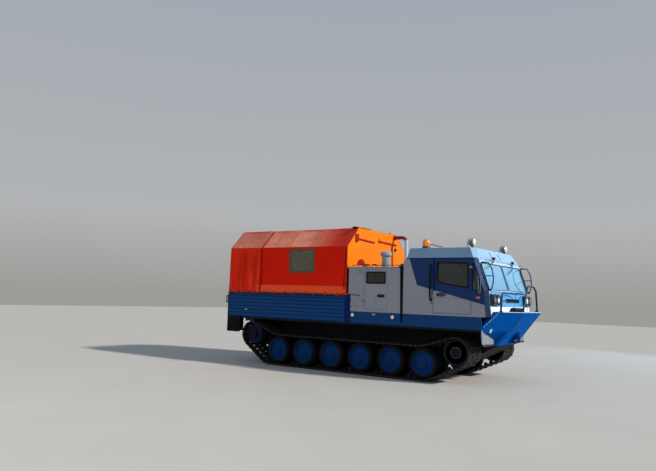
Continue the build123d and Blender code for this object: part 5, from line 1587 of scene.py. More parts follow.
# top cover: two hatches with beads, grilles, handles and hinges
ZT = 2.766
tc_, tk_, tb_ = B(), B(), B()
for y0, y1 in ((-0.80, -0.03), (0.03, 0.80)):
    rim(tc_, round_poly([(0.10, y0), (1.38, y0), (1.38, y1), (0.10, y1)], 0.04), round_poly([(0.125, y0 + 0.025), (1.355, y0 + 0.025), (1.355, y1 - 0.025), (0.125, y1 - 0.025)], 0.03), top_put, ZT - 0.0005, ZT + 0.012, 0.004)
    for i in range(16):
        x = 0.22 + 0.030 * i
        tk_.prism([(x, ZT), (x + 0.016, ZT + 0.014), (x + 0.020, ZT + 0.014), (x + 0.006, ZT)], "y", y0 + 0.12, y1 - 0.12)
    rim(tc_, round_poly([(0.19, y0 + 0.09), (0.73, y0 + 0.09), (0.73, y1 - 0.09), (0.19, y1 - 0.09)], 0.02), round_poly([(0.205, y0 + 0.105), (0.715, y0 + 0.105), (0.715, y1 - 0.105), (0.205, y1 - 0.105)], 0.012), top_put, ZT - 0.0005, ZT + 0.018, 0.003)
    ym = (y0 + y1) / 2
    tb_.tube([(1.10, ym - 0.08, ZT), (1.10, ym - 0.08, ZT + 0.045), (1.10, ym + 0.08, ZT + 0.045), (1.10, ym + 0.08, ZT)], 0.007, 10, 0.018, 5)
    for x in (0.30, 1.15):
        s_ = -1 if y0 < 0 else 1
        yh = s_ * 0.815
        tb_.cyl((x - 0.05, yh, ZT + 0.008), (x + 0.05, yh, ZT + 0.008), 0.009, 12)
        for dx in (-0.03, 0.03):
            tb_.bolt((x + dx, yh + s_ * 0.03, ZT), (0, 0, 1), 0.006, 0.004)
for i in range(12):
    for y in (-1.52, 1.52):
        tb_.bolt((0.05 + 0.118 * i, y, ZT), (0, 0, 1), 0.007, 0.005)
# intake: base flange, clamp, screened gap under a domed cap with a rolled rim
IX, IY = 0.803, -1.080
it_ = B()
it_.lathe([(0.150, 0), (0.150, 0.5), (0.140, 1.0), (0.113, 1.0)], (IX, IY, ZT), (IX, IY, ZT + 0.016), 48)
for i in range(8):
    a = math.pi / 4 * i + 0.2
    tb_.bolt((IX + 0.132 * math.cos(a), IY + 0.132 * math.sin(a), ZT + 0.015), (0, 0, 1), 0.007, 0.005)
it_.torus((IX, IY, 3.082), (0, 0, 1), 0.1135, 0.006, 48, 8)
it_.torus((IX, IY, 2.905), (0, 0, 1), 0.1135, 0.005, 48, 8)
it_.lathe([(0.1505, 0.0), (0.154, 0.03), (0.1535, 0.16), (0.1505, 0.22), (0.1505, 0.52), (0.146, 0.62), (0.128, 0.76), (0.100, 0.88), (0.060, 0.96), (0.024, 1.0), (0.0, 1.0)],
          (IX, IY, 3.084), (IX, IY, 3.216), 56)
for i in range(30):
    a = 2 * math.pi * i / 30
    it_.box(IX + 0.1515 * math.cos(a) - 0.002, IX + 0.1515 * math.cos(a) + 0.002, IY + 0.1515 * math.sin(a) - 0.002, IY + 0.1515 * math.sin(a) + 0.002, 3.112, 3.150)
it_.lathe([(0.012, 0), (0.012, 0.6), (0.006, 1.0)], (IX, IY, 3.214), (IX, IY, 3.228), 6)
tb_.tube([(IX - 0.1135, IY - 0.02, 2.905), (IX - 0.135, IY - 0.02, 2.905)], 0.006, 8)
it_.obj("intake_dome_and_flange", M["grey"], angle=45)
tc_.obj("engine_cover_hatch_rims", M["grey"])
tk_.obj("engine_cover_grilles", M["black"])
tb_.obj("engine_cover_bolts_and_handles", M["bolt"])
# small dark grab handle at the cover's rear edge
hb = B()
hb.tube([(-0.012, -0.90, ZT), (-0.012, -0.90, ZT + 0.075), (-0.012, -0.66, ZT + 0.075), (-0.012, -0.66, ZT)], 0.012, 12, 0.03, 5)
for y in (-0.90, -0.66):
    hb.lathe([(0.026, 0), (0.026, 0.6), (0.018, 1)], (-0.012, y, ZT), (-0.012, y, ZT + 0.010), 18)
hb.obj("cover_rear_handle", M["blackplastic"])
cr_ = B()
for s_ in (-1, 1):
    cr_.tube([(0.02, s_ * 1.470, ZT), (0.02, s_ * 1.470, ZT + 0.052), (1.40, s_ * 1.470, ZT + 0.052), (1.40, s_ * 1.470, ZT)], 0.0085, 10, 0.02, 5)
    for x in (0.36, 0.72, 1.08):
        cr_.cyl((x, s_ * 1.470, ZT - 0.001), (x, s_ * 1.470, ZT + 0.050), 0.006, 10)
    for x in (0.02, 0.36, 0.72, 1.08, 1.40):
        cr_.lathe([(0.022, 0), (0.022, 0.6), (0.014, 1)], (x, s_ * 1.470, ZT - 0.001), (x, s_ * 1.470, ZT + 0.008), 16)
for x in (0.30, 0.52):
    cr_.tube([(x, -1.30, ZT), (x, -1.30, ZT + 0.080), (x + 0.13, -1.30, ZT + 0.080), (x + 0.13, -1.30, ZT)], 0.010, 10, 0.03, 5)
cr_.obj("cover_rails", M["black"])

# heater duct: corrugations, clamps and floor flange
dr, dc = B(), B()
path = []
R_ = 0.150
xs_ = -0.055
while xs_ < 0.330 - R_:
    path.append(((xs_, 0.920, 3.775), (1, 0, 0)))
    xs_ += 0.021
for i in range(12):
    a = math.pi / 2 * i / 11
    path.append(((0.330 - R_ + R_ * math.sin(a), 0.920, 3.775 - R_ + R_ * math.cos(a)), (math.cos(a), 0, -math.sin(a))))
zz_ = 3.775 - R_ - 0.021
while zz_ > ZT + 0.06:
    path.append(((0.330, 0.920, zz_), (0, 0, -1)))
    zz_ -= 0.021
for c_, w_ in path:
    dr.torus(c_, w_, 0.0485, 0.0042, 24, 5)
dr.obj("heater_duct_corrugations", M["duct"], angle=60)
for c_, w_ in (((-0.030, 0.920, 3.775), (1, 0, 0)), ((0.330, 0.920, ZT + 0.075), (0, 0, 1))):
    dc.torus(c_, w_, 0.0530, 0.0050, 32, 8, 1.8)
    dc.box(c_[0] - 0.008, c_[0] + 0.008, 0.920 + 0.052, 0.920 + 0.070, c_[2] - 0.010, c_[2] + 0.010)
dc.lathe([(0.092, 0), (0.092, 0.4), (0.060, 0.6), (0.056, 1.0), (0.049, 1.0)], (0.330, 0.920, ZT), (0.330, 0.920, ZT + 0.040), 36)
for i in range(6):
    a = math.pi / 3 * i
    dc.bolt((0.330 + 0.077 * math.cos(a), 0.920 + 0.077 * math.sin(a), ZT + 0.015), (0, 0, 1), 0.006, 0.004)
dc.obj("heater_duct_clamps", M["bolt"])

# =====================================================================
# tailgate and rear end
# =====================================================================
XR = 4.308      # the tailgate's ribs stand to here, on the minus side
tg, tgb, tgk = B(), B(), B()
for y in (-1.30, 1.30):
    tg.box(-XR - 0.004, -4.299, y - 0.030, y + 0.030, 1.42, 1.985)
for y in (-1.19, 1.19):
    tgk.box(-4.314, -4.299, y - 0.040, y + 0.040, 1.890, 1.985)
    tgk.tube([(-4.312, y - 0.022, 1.905), (-4.331, y - 0.022, 1.905), (-4.331, y + 0.022, 1.905), (-4.331, y + 0.022, 1.972), (-4.312, y + 0.022, 1.972)], 0.006, 10, 0.008, 4)
    for dz in (1.898, 1.976):
        tgb.bolt((-4.314, y - 0.030, dz), (-1, 0, 0), 0.006, 0.004)
tgk.tube([(-4.300, -0.22, 1.952), (-4.322, -0.22, 1.952), (-4.322, 0.22, 1.952), (-4.300, 0.22, 1.952)], 0.010, 12, 0.015, 4)
for y in (-1.1, 0.0, 1.1):
    tg.box(-4.309, -4.299, y - 0.05, y + 0.05, 1.415, 1.50)
    for dy in (-0.03, 0.03):
        for z in (1.435, 1.48):
            tgb.bolt((-4.309, y + dy, z), (-1, 0, 0), 0.008, 0.005)
for i in range(17):
    y = -1.44 + 0.18 * i
    tgb.lathe([(0.006, 0), (0.006, 0.4), (0.003, 1)], (-4.300, y, 1.978), (-4.304, y, 1.978), 10)
tg.obj("tailgate_stiffeners", M["bed_blue"], body="tailgate", bevel=0.002)
tgb.obj("tailgate_bolts", M["bolt"], body="tailgate")
tgk.obj("tailgate_handle_and_latches", M["black"], body="tailgate", bevel=0.001)

rl_, rr_, rk_, rp_ = B(), B(), B(), B()
for s_ in (-1, 1):
    yc = s_ * 1.18
    rk_.box(-4.3255, -4.3165, *sorted((yc - 0.17, yc + 0.17)), 1.150, 1.262)
    pad(rr_, round_poly([(yc - 0.155, 1.164), (yc - 0.010, 1.164), (yc - 0.010, 1.248), (yc - 0.155, 1.248)], 0.012), back_put, 4.3245, 4.338, 0.004)
    pad(rl_, round_poly([(yc + 0.008, 1.164), (yc + 0.150, 1.164), (yc + 0.150, 1.248), (yc + 0.008, 1.248)], 0.012), back_put, 4.3245, 4.337, 0.004)
    for y in (yc - 0.163, yc + 0.163):
        for z in (1.158, 1.254):
            rp_.bolt((-4.3255, y, z), (-1, 0, 0), 0.005, 0.003)
rk_.obj("rear_lamp_backs", M["blackplastic"], bevel=0.003)
rr_.obj("rear_red_lenses", M["redlens"])
rl_.obj("rear_amber_lenses", M["amber"])
bp = B()
pad(bp, round_poly([(-0.79, 1.150), (-0.27, 1.150), (-0.27, 1.262), (-0.79, 1.262)], 0.014), back_put, 4.060 + 0.240, 4.060 + 0.2425, 0.001)
rim(bp, round_poly([(-0.79, 1.150), (-0.27, 1.150), (-0.27, 1.262), (-0.79, 1.262)], 0.014), round_poly([(-0.782, 1.158), (-0.278, 1.158), (-0.278, 1.254), (-0.782, 1.254)], 0.010), back_put, 4.302, 4.305, 0.001)
bp.obj("blank_rear_plate", M["whitecap"])
br = B()
for y in (-0.72, -0.34):
    br.box(-4.301, -4.293, y - 0.02, y + 0.02, 1.17, 1.316)
for y in (-1.0, -0.2, 0.6, 1.0):
    br.box(-4.312, -4.298, y - 0.05, y + 0.05, 1.318, 1.350)
br.obj("rear_brackets", M["black"], bevel=0.002)
rp_.obj("rear_lamp_bolts", M["bolt"])
# mudguards: hem, bolts, moulded bars
mg, mgb = B(), B()
for z in (0.905, 1.285):
    mg.box(-4.3215, -4.3155, 0.905, 1.571, z - 0.022, z + 0.022)
for y in (1.00, 1.16, 1.32, 1.48):
    mg.box(-4.3200, -4.3155, y - 0.012, y + 0.012, 0.93, 1.26)
mg.box(-4.312, -3.834, Y - 0.0005, Y + 0.006, 0.862, 0.905)
for x in (-4.20, -4.05, -3.90):
    mg.box(x - 0.010, x + 0.010, Y - 0.0005, Y + 0.005, 0.905, 1.27)
for i in range(5):
    mgb.bolt((-4.3215, 0.96 + 0.14 * i, 1.285), (-1, 0, 0), 0.009, 0.006)
    mgb.bolt((-4.27 + 0.10 * i, Y, 1.288), (0, 1, 0), 0.009, 0.006)
sides(mg, "rear_mudguard_ribs", M["flap"], bevel=0.003)
sides(mgb, "rear_mudguard_bolts", M["bolt"])
# tow jaw: pin with ring, and bolts
tj = B()
tj.lathe([(0.0195, 0), (0.0195, 0.86), (0.034, 0.87), (0.034, 0.96), (0.020, 1.0)], (-4.230, 0, 0.972), (-4.230, 0, 1.158), 24)
tj.torus((-4.230, 0, 1.172), (0, 1, 0), 0.022, 0.005, 24, 8)
for s_ in (-1, 1):
    for y in (0.25, 0.38):
        for z in (1.00, 1.105):
            tj.bolt((-4.100, s_ * y, z), (-1, 0, 0), 0.014, 0.010)
tj.obj("tow_jaw_pin_and_bolts", M["bolt"])


# =====================================================================
# cab sides and doors
# =====================================================================
M["warmlens"] = lens("searchlight_lens", lin(236, 226, 190))
DOOR_WIN = [(2.504, 2.877), (3.296, 2.860), (3.296, 2.268), (2.494, 2.400)]
QUARTER = [(3.405, 2.846), (3.424, 2.846), (3.625, 2.216), (3.405, 2.237)]
g = B()
rim(g, round_poly(inset(DOOR_WIN, -0.017), 0.052), round_poly(inset(DOOR_WIN, 0.022), 0.034), side_put, Y - 0.0008, Y + 0.011, 0.004)
sides(g, "cab_door_window_rubber", M["gasket"], "cab_door")
g = B()
rim(g, round_poly(inset(QUARTER, -0.013), 0.014), round_poly(inset(QUARTER, 0.006), 0.004), side_put, Y - 0.0008, Y + 0.009, 0.003)
sides(g, "quarter_window_rubber", M["gasket"])
dh, dp, db, ds = B(), B(), B(), B()
paddle(dh, dp, 2.496, 2.716, 2.101, 0.043)
dh.cyl((2.742, Y - 0.001, 2.100), (2.742, Y + 0.008, 2.100), 0.013, 20)
for zc in (1.908, 2.760):
    db.box(3.312, 3.368, Y - 0.0005, Y + 0.005, zc - 0.024, zc + 0.024)
    for dz in (-0.014, 0.014):
        db.bolt((3.330, Y + 0.005, zc + dz), (0, 1, 0), 0.005, 0.004)
ds.prism([(2.4025, 2.954), (2.445, 2.954), (2.456, 2.190), (2.411, 2.190)], "y", Y - 0.0005, Y + 0.0022)
rim(ds, round_poly(rect(2.412, 3.352, 1.672, 2.030), 0.03), round_poly(rect(2.417, 3.347, 1.677, 2.025), 0.027), side_put, Y - 0.0005, Y + 0.0016, 0.0006)
sides(dh, "cab_door_handle", M["gasket"], "cab_door")
sides(dp, "cab_door_handle_plate", M["gasket"], "cab_door")
sides(db, "cab_door_hinge_leaf", M["grey"], "cab_door", bevel=0.0015)
sides(ds, "cab_door_edge_strip", M["strip_blue"], "cab_door")
# chassis side of the hinges, rail flanges, thin rod with hook, gutter, seam of the lower panel
kn, rf, gt = B(), B(), B()
for zc in (1.908, 2.760):
    kn.cyl((3.372, 1.592, zc - 0.030), (3.372, 1.592, zc - 0.010), 0.0095, 18)
    kn.cyl((3.372, 1.592, zc + 0.010), (3.372, 1.592, zc + 0.030), 0.0095, 18)
    kn.box(3.374, 3.394, Y - 0.0005, Y + 0.010, zc - 0.028, zc + 0.028)
for zc in (1.86, 2.54):
    kn.cyl((0.450, 1.592, zc - 0.045), (0.450, 1.592, zc + 0.045), 0.0100, 18)
    kn.box(0.410, 0.448, Y - 0.0005, Y + 0.012, zc - 0.040, zc + 0.040)
    for dz in (-0.024, 0.024):
        kn.bolt((0.425, Y + 0.012, zc + dz), (0, 1, 0), 0.006, 0.004)
for z in (1.974, 2.793):
    rf.lathe([(0.034, 0), (0.034, 0.7), (0.026, 1.0), (0.015, 1.0)], (2.345, Y - 0.001, z), (2.345, Y + 0.011, z), 24)
    for i in range(3):
        a = 2 * math.pi * i / 3 + 0.5
        rf.bolt((2.345 + 0.025 * math.cos(a), Y + 0.007, z + 0.025 * math.sin(a)), (0, 1, 0), 0.0045, 0.003, washer=False)
rf.lathe([(0.0155, 0), (0.0215, 0.02), (0.0215, 0.98), (0.0155, 1.0)], (2.345, 1.637, 2.030), (2.345, 1.637, 2.745), 24)
for i in range(34):
    rf.torus((2.345, 1.637, 2.055 + 0.020 * i), (0, 0, 1), 0.0212, 0.0022, 16, 5)
rf.tube([(2.390, Y + 0.012, 2.186), (2.361, Y + 0.012, 1.888), (2.361, Y + 0.026, 1.868), (2.366, Y + 0.030, 1.884)], 0.0065, 10, 0.010, 5)
rf.box(2.382, 2.396, Y - 0.001, Y + 0.018, 2.176, 2.196)
rf.box(2.354, 2.370, Y - 0.001, Y + 0.016, 1.900, 1.916)
gt.tube([(1.684, Y + 0.004, 2.976), (3.492, Y + 0.004, 2.976)], 0.010, 10)
gt.tube([(1.684, Y + 0.004, 2.976), (1.684, Y + 0.004, 2.955)], 0.010, 10)
sides(kn, "door_hinge_knuckles", M["grey"])
sides(rf, "grab_rail_flanges_and_hook_rod", M["black"])
sides(gt, "cab_gutters", M["strip_blue"])

# =====================================================================
# windshield, wipers, roof front
# =====================================================================
g, g2 = B(), B()
for s_ in (-1, 1):
    W_ = [(s_ * 0.030, 2.252), (s_ * 1.375, 2.252), (s_ * 1.375, 2.885), (s_ * 0.030, 2.885)]
    rim(g, round_poly(inset(W_, -0.011), 0.045), round_poly(inset(W_, 0.009), 0.034), ws_put, -0.001, 0.010, 0.004)
g.obj("windshield_rubber", M["ws_seal"])
g2.add([ws_put(p, h) for h in (-0.001, 0.006) for p in ((-1.33, 2.205), (1.33, 2.205), (1.33, 2.219), (-1.33, 2.219))],
       [(0, 1, 2, 3), (7, 6, 5, 4), (0, 4, 5, 1), (1, 5, 6, 2), (2, 6, 7, 3), (3, 7, 4, 0)])
for i in range(19):
    y = -1.35 + 0.15 * i
    p = Vector(ws_put((y, 2.926), 0.0))
    g2.bolt(p, (0.9464, 0, 0.3229), 0.006, 0.004)
g2.obj("windshield_lower_seal_and_bolts", M["gasket"])

wi, wb, wm = B(), B(), B()
n_ws = Vector((0.9464, 0, 0.3229))


def wiper(pivot, a, b):
    """Motor cover over the windshield, arm, sprung link and blade with its rubber."""
    py, pz = pivot
    A_, B_ = Vector(ws_put(a, 0.020)), Vector(ws_put(b, 0.020))
    mid_ = (A_ + B_) / 2
    Pv = Vector(ws_put((py, 2.932), 0.020))
    wm.box(3.512, 3.560, py - 0.052, py + 0.052, pz - 0.026, pz + 0.026)
    wm.box(3.512, 3.548, py - 0.085, py - 0.052, pz - 0.016, pz + 0.016)
    wb.box(3.510, 3.524, py - 0.070, py + 0.070, pz - 0.040, pz - 0.026)
    wi.tube([(3.545, py, pz - 0.020), tuple(Pv + n_ws * 0.004)], 0.010, 12)
    wi.cyl(tuple(Pv - n_ws * 0.022), tuple(Pv + n_ws * 0.016), 0.017, 20)
    k = Pv.lerp(mid_, 0.32)
    wi.tube([tuple(Pv + n_ws * 0.008), tuple(k + n_ws * 0.018)], 0.0090, 10)
    wi.tube([tuple(k + n_ws * 0.018), tuple(mid_ + n_ws * 0.012)], 0.0055, 10)
    wi.lathe([(0.012, 0), (0.012, 1)], tuple(k + n_ws * 0.006), tuple(k + n_ws * 0.026), 14)
    d = (B_ - A_).normalized()
    up_ = n_ws.cross(d).normalized()
    L = (B_ - A_).length
    # blade carrier, links and rubber lip
    pts = [A_ + d * (L * t) + n_ws * (0.004 + 0.012 * math.sin(math.pi * t)) for t in (0.04, 0.20, 0.35, 0.5, 0.65, 0.80, 0.96)]
    wi.tube([tuple(p) for p in pts], 0.0048, 8)
    frames_ = []
    for t in np.linspace(0, 1, 13):
        c0 = A_ + d * (L * float(t))
        frames_.append([tuple(c0 + up_ * u * 0.0045 + n_ws * v) for u, v in ((-1, 0.002), (1, 0.002), (0.35, -0.012), (-0.35, -0.012))])
    wi.ring(frames_, 4)
    for t in (0.12, 0.36, 0.64, 0.88):
        c0 = A_ + d * (L * t)
        wi.cyl(tuple(c0), tuple(c0 + n_ws * 0.012), 0.006, 8)


wiper((-0.58, 3.031), (-1.187, 2.747), (-0.909, 2.810))
wiper((0.792, 3.008), (0.208, 2.662), (0.832, 2.846))
for (y0, z0), (y1, z1) in (((-0.877, 3.136), (-0.702, 3.033)), ((-0.289, 3.122), (-0.104, 3.032))):
    wi.tube([(3.531, y0, z0), (3.531, y1, z1)], 0.0055, 8)
    for y, z in ((y0, z0), (y1, z1)):
        wi.cyl((3.517, y, z), (3.534, y, z), 0.009, 12)
wi.obj("wiper_arms_and_blades", M["blackplastic"], angle=40)
wm.obj("wiper_motor_covers", M["black"], bevel=0.006)
wb.obj("wiper_motor_mounts", M["pale"], bevel=0.002)

# roof: front lip, hatch rim and lifting eyes
rt_, rtb = B(), B()
rt_.tube([(3.522, -1.42, 2.985), (3.522, 1.42, 2.985)], 0.009, 10)
rim(rt_, round_poly([(1.95, -0.55), (2.75, -0.55), (2.75, 0.55), (1.95, 0.55)], 0.10, 8), round_poly([(1.985, -0.515), (2.715, -0.515), (2.715, 0.515), (1.985, 0.515)], 0.07, 8), top_put, 3.242, 3.262, 0.006)
pad(rt_, round_poly([(2.00, -0.50), (2.70, -0.50), (2.70, 0.50), (2.00, 0.50)], 0.06, 8), top_put, 3.242, 3.256, 0.006)
for y in (-0.34, 0.34):
    rtb.cyl((1.935, y - 0.06, 3.256), (1.935, y + 0.06, 3.256), 0.010, 14)
rtb.tube([(2.60, -0.09, 3.255), (2.60, -0.09, 3.290), (2.60, 0.09, 3.290), (2.60, 0.09, 3.255)], 0.007, 10, 0.016, 5)
rt_.obj("cab_roof_hatch_and_lip", M["roof"])
rtb.obj("cab_roof_hatch_hardware", M["bolt"])

# =====================================================================
# lamps
# =====================================================================
hl_b, hl_l, hl_r, hl_s, hl_d = B(), B(), B(), B(), B()
fx0 = front_x(2.020)
for s_ in (-1, 1):
    for yc in (1.052, 1.285):
        c_ = lambda d: (fx0 + d, s_ * yc, 2.020)
        hl_b.lathe([(0.089, 0), (0.104, 0.05), (0.104, 0.72), (0.099, 1.0), (0.088, 1.0), (0.080, 0.72), (0.080, 0.2)], c_(0.058), c_(0.092), 48, closed=True)
        hl_r.lathe([(0.080, 0), (0.080, 0.5), (0.074, 1.0), (0.0, 1.0)], c_(0.0772), c_(0.0800), 40)
        (hl_l if yc < 1.1 else hl_d).lathe([(0.076, 0), (0.075, 0.25), (0.066, 0.55), (0.045, 0.82), (0.022, 0.96), (0.0, 1.0)], c_(0.0795), c_(0.0960), 40)
        for a in (0.8, 2.37, 3.93, 5.5):
            hl_s.bolt((fx0 + 0.088, s_ * yc + 0.096 * math.cos(a), 2.020 + 0.096 * math.sin(a)), (1, 0, 0), 0.0045, 0.003, washer=False)
    y0, y1 = sorted((s_ * 0.935, s_ * 1.390))
    rim(hl_s, round_poly([(y0, 1.896), (y1, 1.896), (y1, 2.144), (y0, 2.144)], 0.02), round_poly([(y0 + 0.010, 1.906), (y1 - 0.010, 1.906), (y1 - 0.010, 2.134), (y0 + 0.010, 2.134)], 0.014),
        lambda p, h: (front_x(p[1]) + 0.060 + h, p[0], p[1]), -0.001, 0.005, 0.002)
hl_b.obj("headlamp_bezels", M["blackplastic"])
hl_r.obj("headlamp_reflectors", M["reflector"])
hl_l.obj("headlamp_lenses", M["lens"])
M["smoked"] = lens("smoked_lens", lin(58, 64, 70))
hl_d.obj("headlamp_outer_lenses", M["smoked"])
hl_s.obj("headlamp_screws_and_seal", M["bolt"])

sb, sl_, sk, sr_ = B(), B(), B(), B()
for s_ in (-1, 1):
    y = s_ * 1.100
    c_ = lambda d: (3.190 + d, y, 3.400)
    sb.lathe([(0.0925, 0), (0.0925, 0.25), (0.080, 0.5), (0.052, 0.8), (0.020, 1.0)], c_(-0.040), c_(-0.118), 44)
    sb.lathe([(0.0925, 0), (0.099, 0.1), (0.099, 0.8), (0.094, 1.0), (0.084, 1.0), (0.082, 0.6), (0.082, 0.2)], c_(0.028), c_(0.060), 44, closed=True)
    sr_.lathe([(0.083, 0), (0.083, 0.5), (0.078, 1.0), (0.0, 1.0)], c_(0.0482), c_(0.0510), 40)
    sl_.lathe([(0.081, 0), (0.080, 0.2), (0.070, 0.5), (0.050, 0.78), (0.025, 0.95), (0.0, 1.0)], c_(0.050), c_(0.074), 40)
    # yoke, pivot knobs, stand collar and cable
    sk.tube([(3.190, y - 0.098, 3.400), (3.190, y - 0.106, 3.330), (3.190, y - 0.050, 3.292), (3.190, y + 0.050, 3.292), (3.190, y + 0.106, 3.330), (3.190, y + 0.098, 3.400)], 0.008, 10, 0.03, 5)
    for q in (-1, 1):
        sk.lathe([(0.017, 0), (0.017, 0.7), (0.012, 1.0)], (3.190, y + q * 0.092, 3.400), (3.190, y + q * 0.118, 3.400), 18)
    sk.lathe([(0.050, 0), (0.050, 0.16), (0.026, 0.30), (0.022, 1.0)], (3.190, y, 3.242), (3.190, y, 3.300), 28)
    sk.tube([(3.085, y, 3.398), (3.060, y, 3.380), (3.070, y, 3.300), (3.110, y, 3.246)], 0.006, 8, 0.03, 5)
    for i in range(4):
        a = math.pi / 2 * i + 0.7
        sk.bolt((3.190 + 0.038 * math.cos(a), y + 0.038 * math.sin(a), 3.250), (0, 0, 1), 0.005, 0.004, washer=False)
sb.obj("searchlight_shells", M["lampgrey"])
sr_.obj("searchlight_reflectors", M["reflector"])
sl_.obj("searchlight_lenses", M["warmlens"])
sk.obj("searchlight_yokes", M["black"])
bk, bl = B(), B()
bk.lathe([(0.106, 0), (0.106, 0.5), (0.102, 0.8), (0.098, 1.0)], (2.02, -1.2, 3.242), (2.02, -1.2, 3.290), 40)
bl.lathe([(0.090, 0), (0.099, 0.06), (0.101, 0.30), (0.100, 0.50), (0.093, 0.68), (0.076, 0.84), (0.052, 0.95), (0.024, 0.995), (0.0, 1.0)], (2.02, -1.2, 3.2885), (2.02, -1.2, 3.492), 44)
for i in range(5):
    bl.torus((2.02, -1.2, 3.31 + 0.018 * i), (0, 0, 1), 0.0995, 0.0022, 44, 6)
bk.tube([(2.115, -1.2, 3.358), (2.455, -1.2, 3.279)], 0.010, 10)
bk.tube([(2.455, -1.2, 3.279), (2.470, -1.2, 3.244)], 0.010, 10)
bk.lathe([(0.024, 0), (0.024, 1)], (2.470, -1.2, 3.242), (2.470, -1.2, 3.250), 20)
bk.obj("beacon_base_and_rod", M["blackplastic"])
bl.obj("beacon_lens", M["amber"])

# =====================================================================
# cab front panel, guard feet, hoop clamps
# =====================================================================
fp, fpd, fpp = B(), B(), B()
rim(fp, round_poly([(-0.82, 1.885), (0.82, 1.885), (0.82, 2.165), (-0.82, 2.165)], 0.03), round_poly([(-0.812, 1.893), (0.812, 1.893), (0.812, 2.157), (-0.812, 2.157)], 0.024), front_put, -0.0005, 0.005, 0.0015)
rim(fp, round_poly([(-0.34, 1.945), (0.66, 1.945), (0.66, 2.075), (-0.34, 2.075)], 0.025), round_poly([(-0.322, 1.963), (0.642, 1.963), (0.642, 2.057), (-0.322, 2.057)], 0.016), front_put, -0.0005, 0.009, 0.003)
pad(fpd, round_poly([(-0.322, 1.963), (0.642, 1.963), (0.642, 2.057), (-0.322, 2.057)], 0.016), front_put, -0.0005, 0.002, 0.0008)
for i in range(4):
    z = 1.975 + 0.021 * i
    fpd.add([front_put((y, zz), h) for y in (-0.318, 0.638) for zz, h in ((z, 0.001), (z + 0.010, 0.009), (z + 0.013, 0.009), (z + 0.004, 0.001))],
            [(0, 1, 2, 3), (7, 6, 5, 4), (0, 4, 5, 1), (1, 5, 6, 2), (2, 6, 7, 3), (3, 7, 4, 0)])
arc_pts = [front_put((-0.74 + 0.93 * t, 2.075 + 0.065 * math.sin(math.pi * t)), 0.010) for t in np.linspace(0, 1, 13)]
fpd.tube(arc_pts, 0.006, 10)
for y in (-0.77, 0.77):
    for z in (1.92, 2.13):
        fpp.bolt(front_put((y, z), 0.0), (1, 0, 0.1), 0.008, 0.005)
for s_ in (-1, 1):
    fpp.lathe([(0.022, 0), (0.022, 0.6), (0.016, 1.0)], front_put((s_ * 0.70, 2.09), 0.0), front_put((s_ * 0.70, 2.09), 0.012), 20)
    for y in (0.30, 0.75, 1.15):
        fpp.bolt(front_put((s_ * y, 1.790), 0.0), (1, 0, 0.1), 0.008, 0.005)
fp.obj("front_hatch_rims", M["front"])
fpd.obj("front_grille_and_hose", M["black"])
fpp.obj("front_panel_fasteners", M["bolt"])
ff = B()
for x, y in ((4.005, -1.362), (4.035, 0.120), (4.005, 1.362)):
    ff.lathe([(0.056, 0), (0.056, 0.6), (0.050, 1.0), (0.024, 1.0)], (x, y, 1.7425), (x, y, 1.7545), 32)
    for i in range(4):
        a = math.pi / 2 * i + 0.78
        ff.bolt((x + 0.041 * math.cos(a), y + 0.041 * math.sin(a), 1.753), (0, 0, 1), 0.007, 0.006)
    ff.prism([(y - 0.075, 1.742), (y - 0.020, 1.742), (y - 0.020, 1.800)], "x", x - 0.004, x + 0.004)
for s_ in (-1, 1):
    y = s_ * 1.404
    for x, z, ax in ((3.826, 2.570, (0, 0, 1)), (3.720, 2.570, (1, 0, 0)), (3.640, 2.570, (1, 0, 0)), (3.800, 2.730, (0.35, 0, -1)), (3.832, 2.420, (0, 0, 1))):
        if ax == (1, 0, 0):
            ff.torus((x, y, z), ax, 0.0108, 0.0040, 16, 6, 2.4)
        else:
            ff.torus((x, y, z), ax, 0.0150, 0.0045, 20, 6, 3.0)
    ff.box(3.545, 3.600, y - 0.022, y + 0.022, 2.868, 2.900)
    ff.box(3.735, 3.790, y - 0.022, y + 0.022, 2.222, 2.254)
    for zz in (2.868, 2.900):
        ff.bolt((3.590, y + 0.012, zz), (1, 0, 0.3), 0.005, 0.004)
ff.obj("guard_feet_and_hoop_clamps", M["black"])

# =====================================================================
# nose: welded edges, eyes, winch line
# =====================================================================
ND = 1.743
An, Fn, Bn = Vector((3.995, -1.4175, ND)), Vector((4.320, -0.640, ND)), Vector((3.733, -0.630, 0.977))
In = Vector((3.650, -1.540, 1.376))
ne, nl, nb = B(), B(), B()


def along(p, q, a, b):
    return tuple(p.lerp(q, a)), tuple(p.lerp(q, b))


# painted highlight: pale bars along the nose's top edges and the deck's front edge
for s_ in (-1, 1):
    f3 = lambda v: Vector((v.x, v.y * -s_, v.z))
    nl.tube(along(f3(An), f3(Fn), 0.0, 1.0), 0.0085, 8)
    ne.tube(along(f3(Fn), f3(Bn), 0.0, 0.985), 0.0065, 8)
    nl.tube(along(f3(An), f3(In), 0.0, 0.985), 0.0060, 8)
nl.tube([(4.316, -0.645, ND + 0.004), (4.316, 0.645, ND + 0.004)], 0.0105, 12)
for s_ in (-1, 1):
    d = (Fn - An).normalized()
    q = Vector((d.y, -d.x, 0))
    ps = [An.lerp(Fn, 0.03), An.lerp(Fn, 1.0)]
    vs = [(p + q * o) for p in ps for o in (-0.020, 0.0)]
    v8 = [(v.x, v.y * -s_, z) for z in (ND - 0.002, ND + 0.005) for v in vs]
    nl.add(v8, [(0, 1, 3, 2), (4, 6, 7, 5), (0, 4, 5, 1), (1, 5, 7, 3), (3, 7, 6, 2), (2, 6, 4, 0)])
ne.obj("nose_weld_beads", M["blue_nose"])
nl.obj("nose_edge_bars", M["edge_light"])
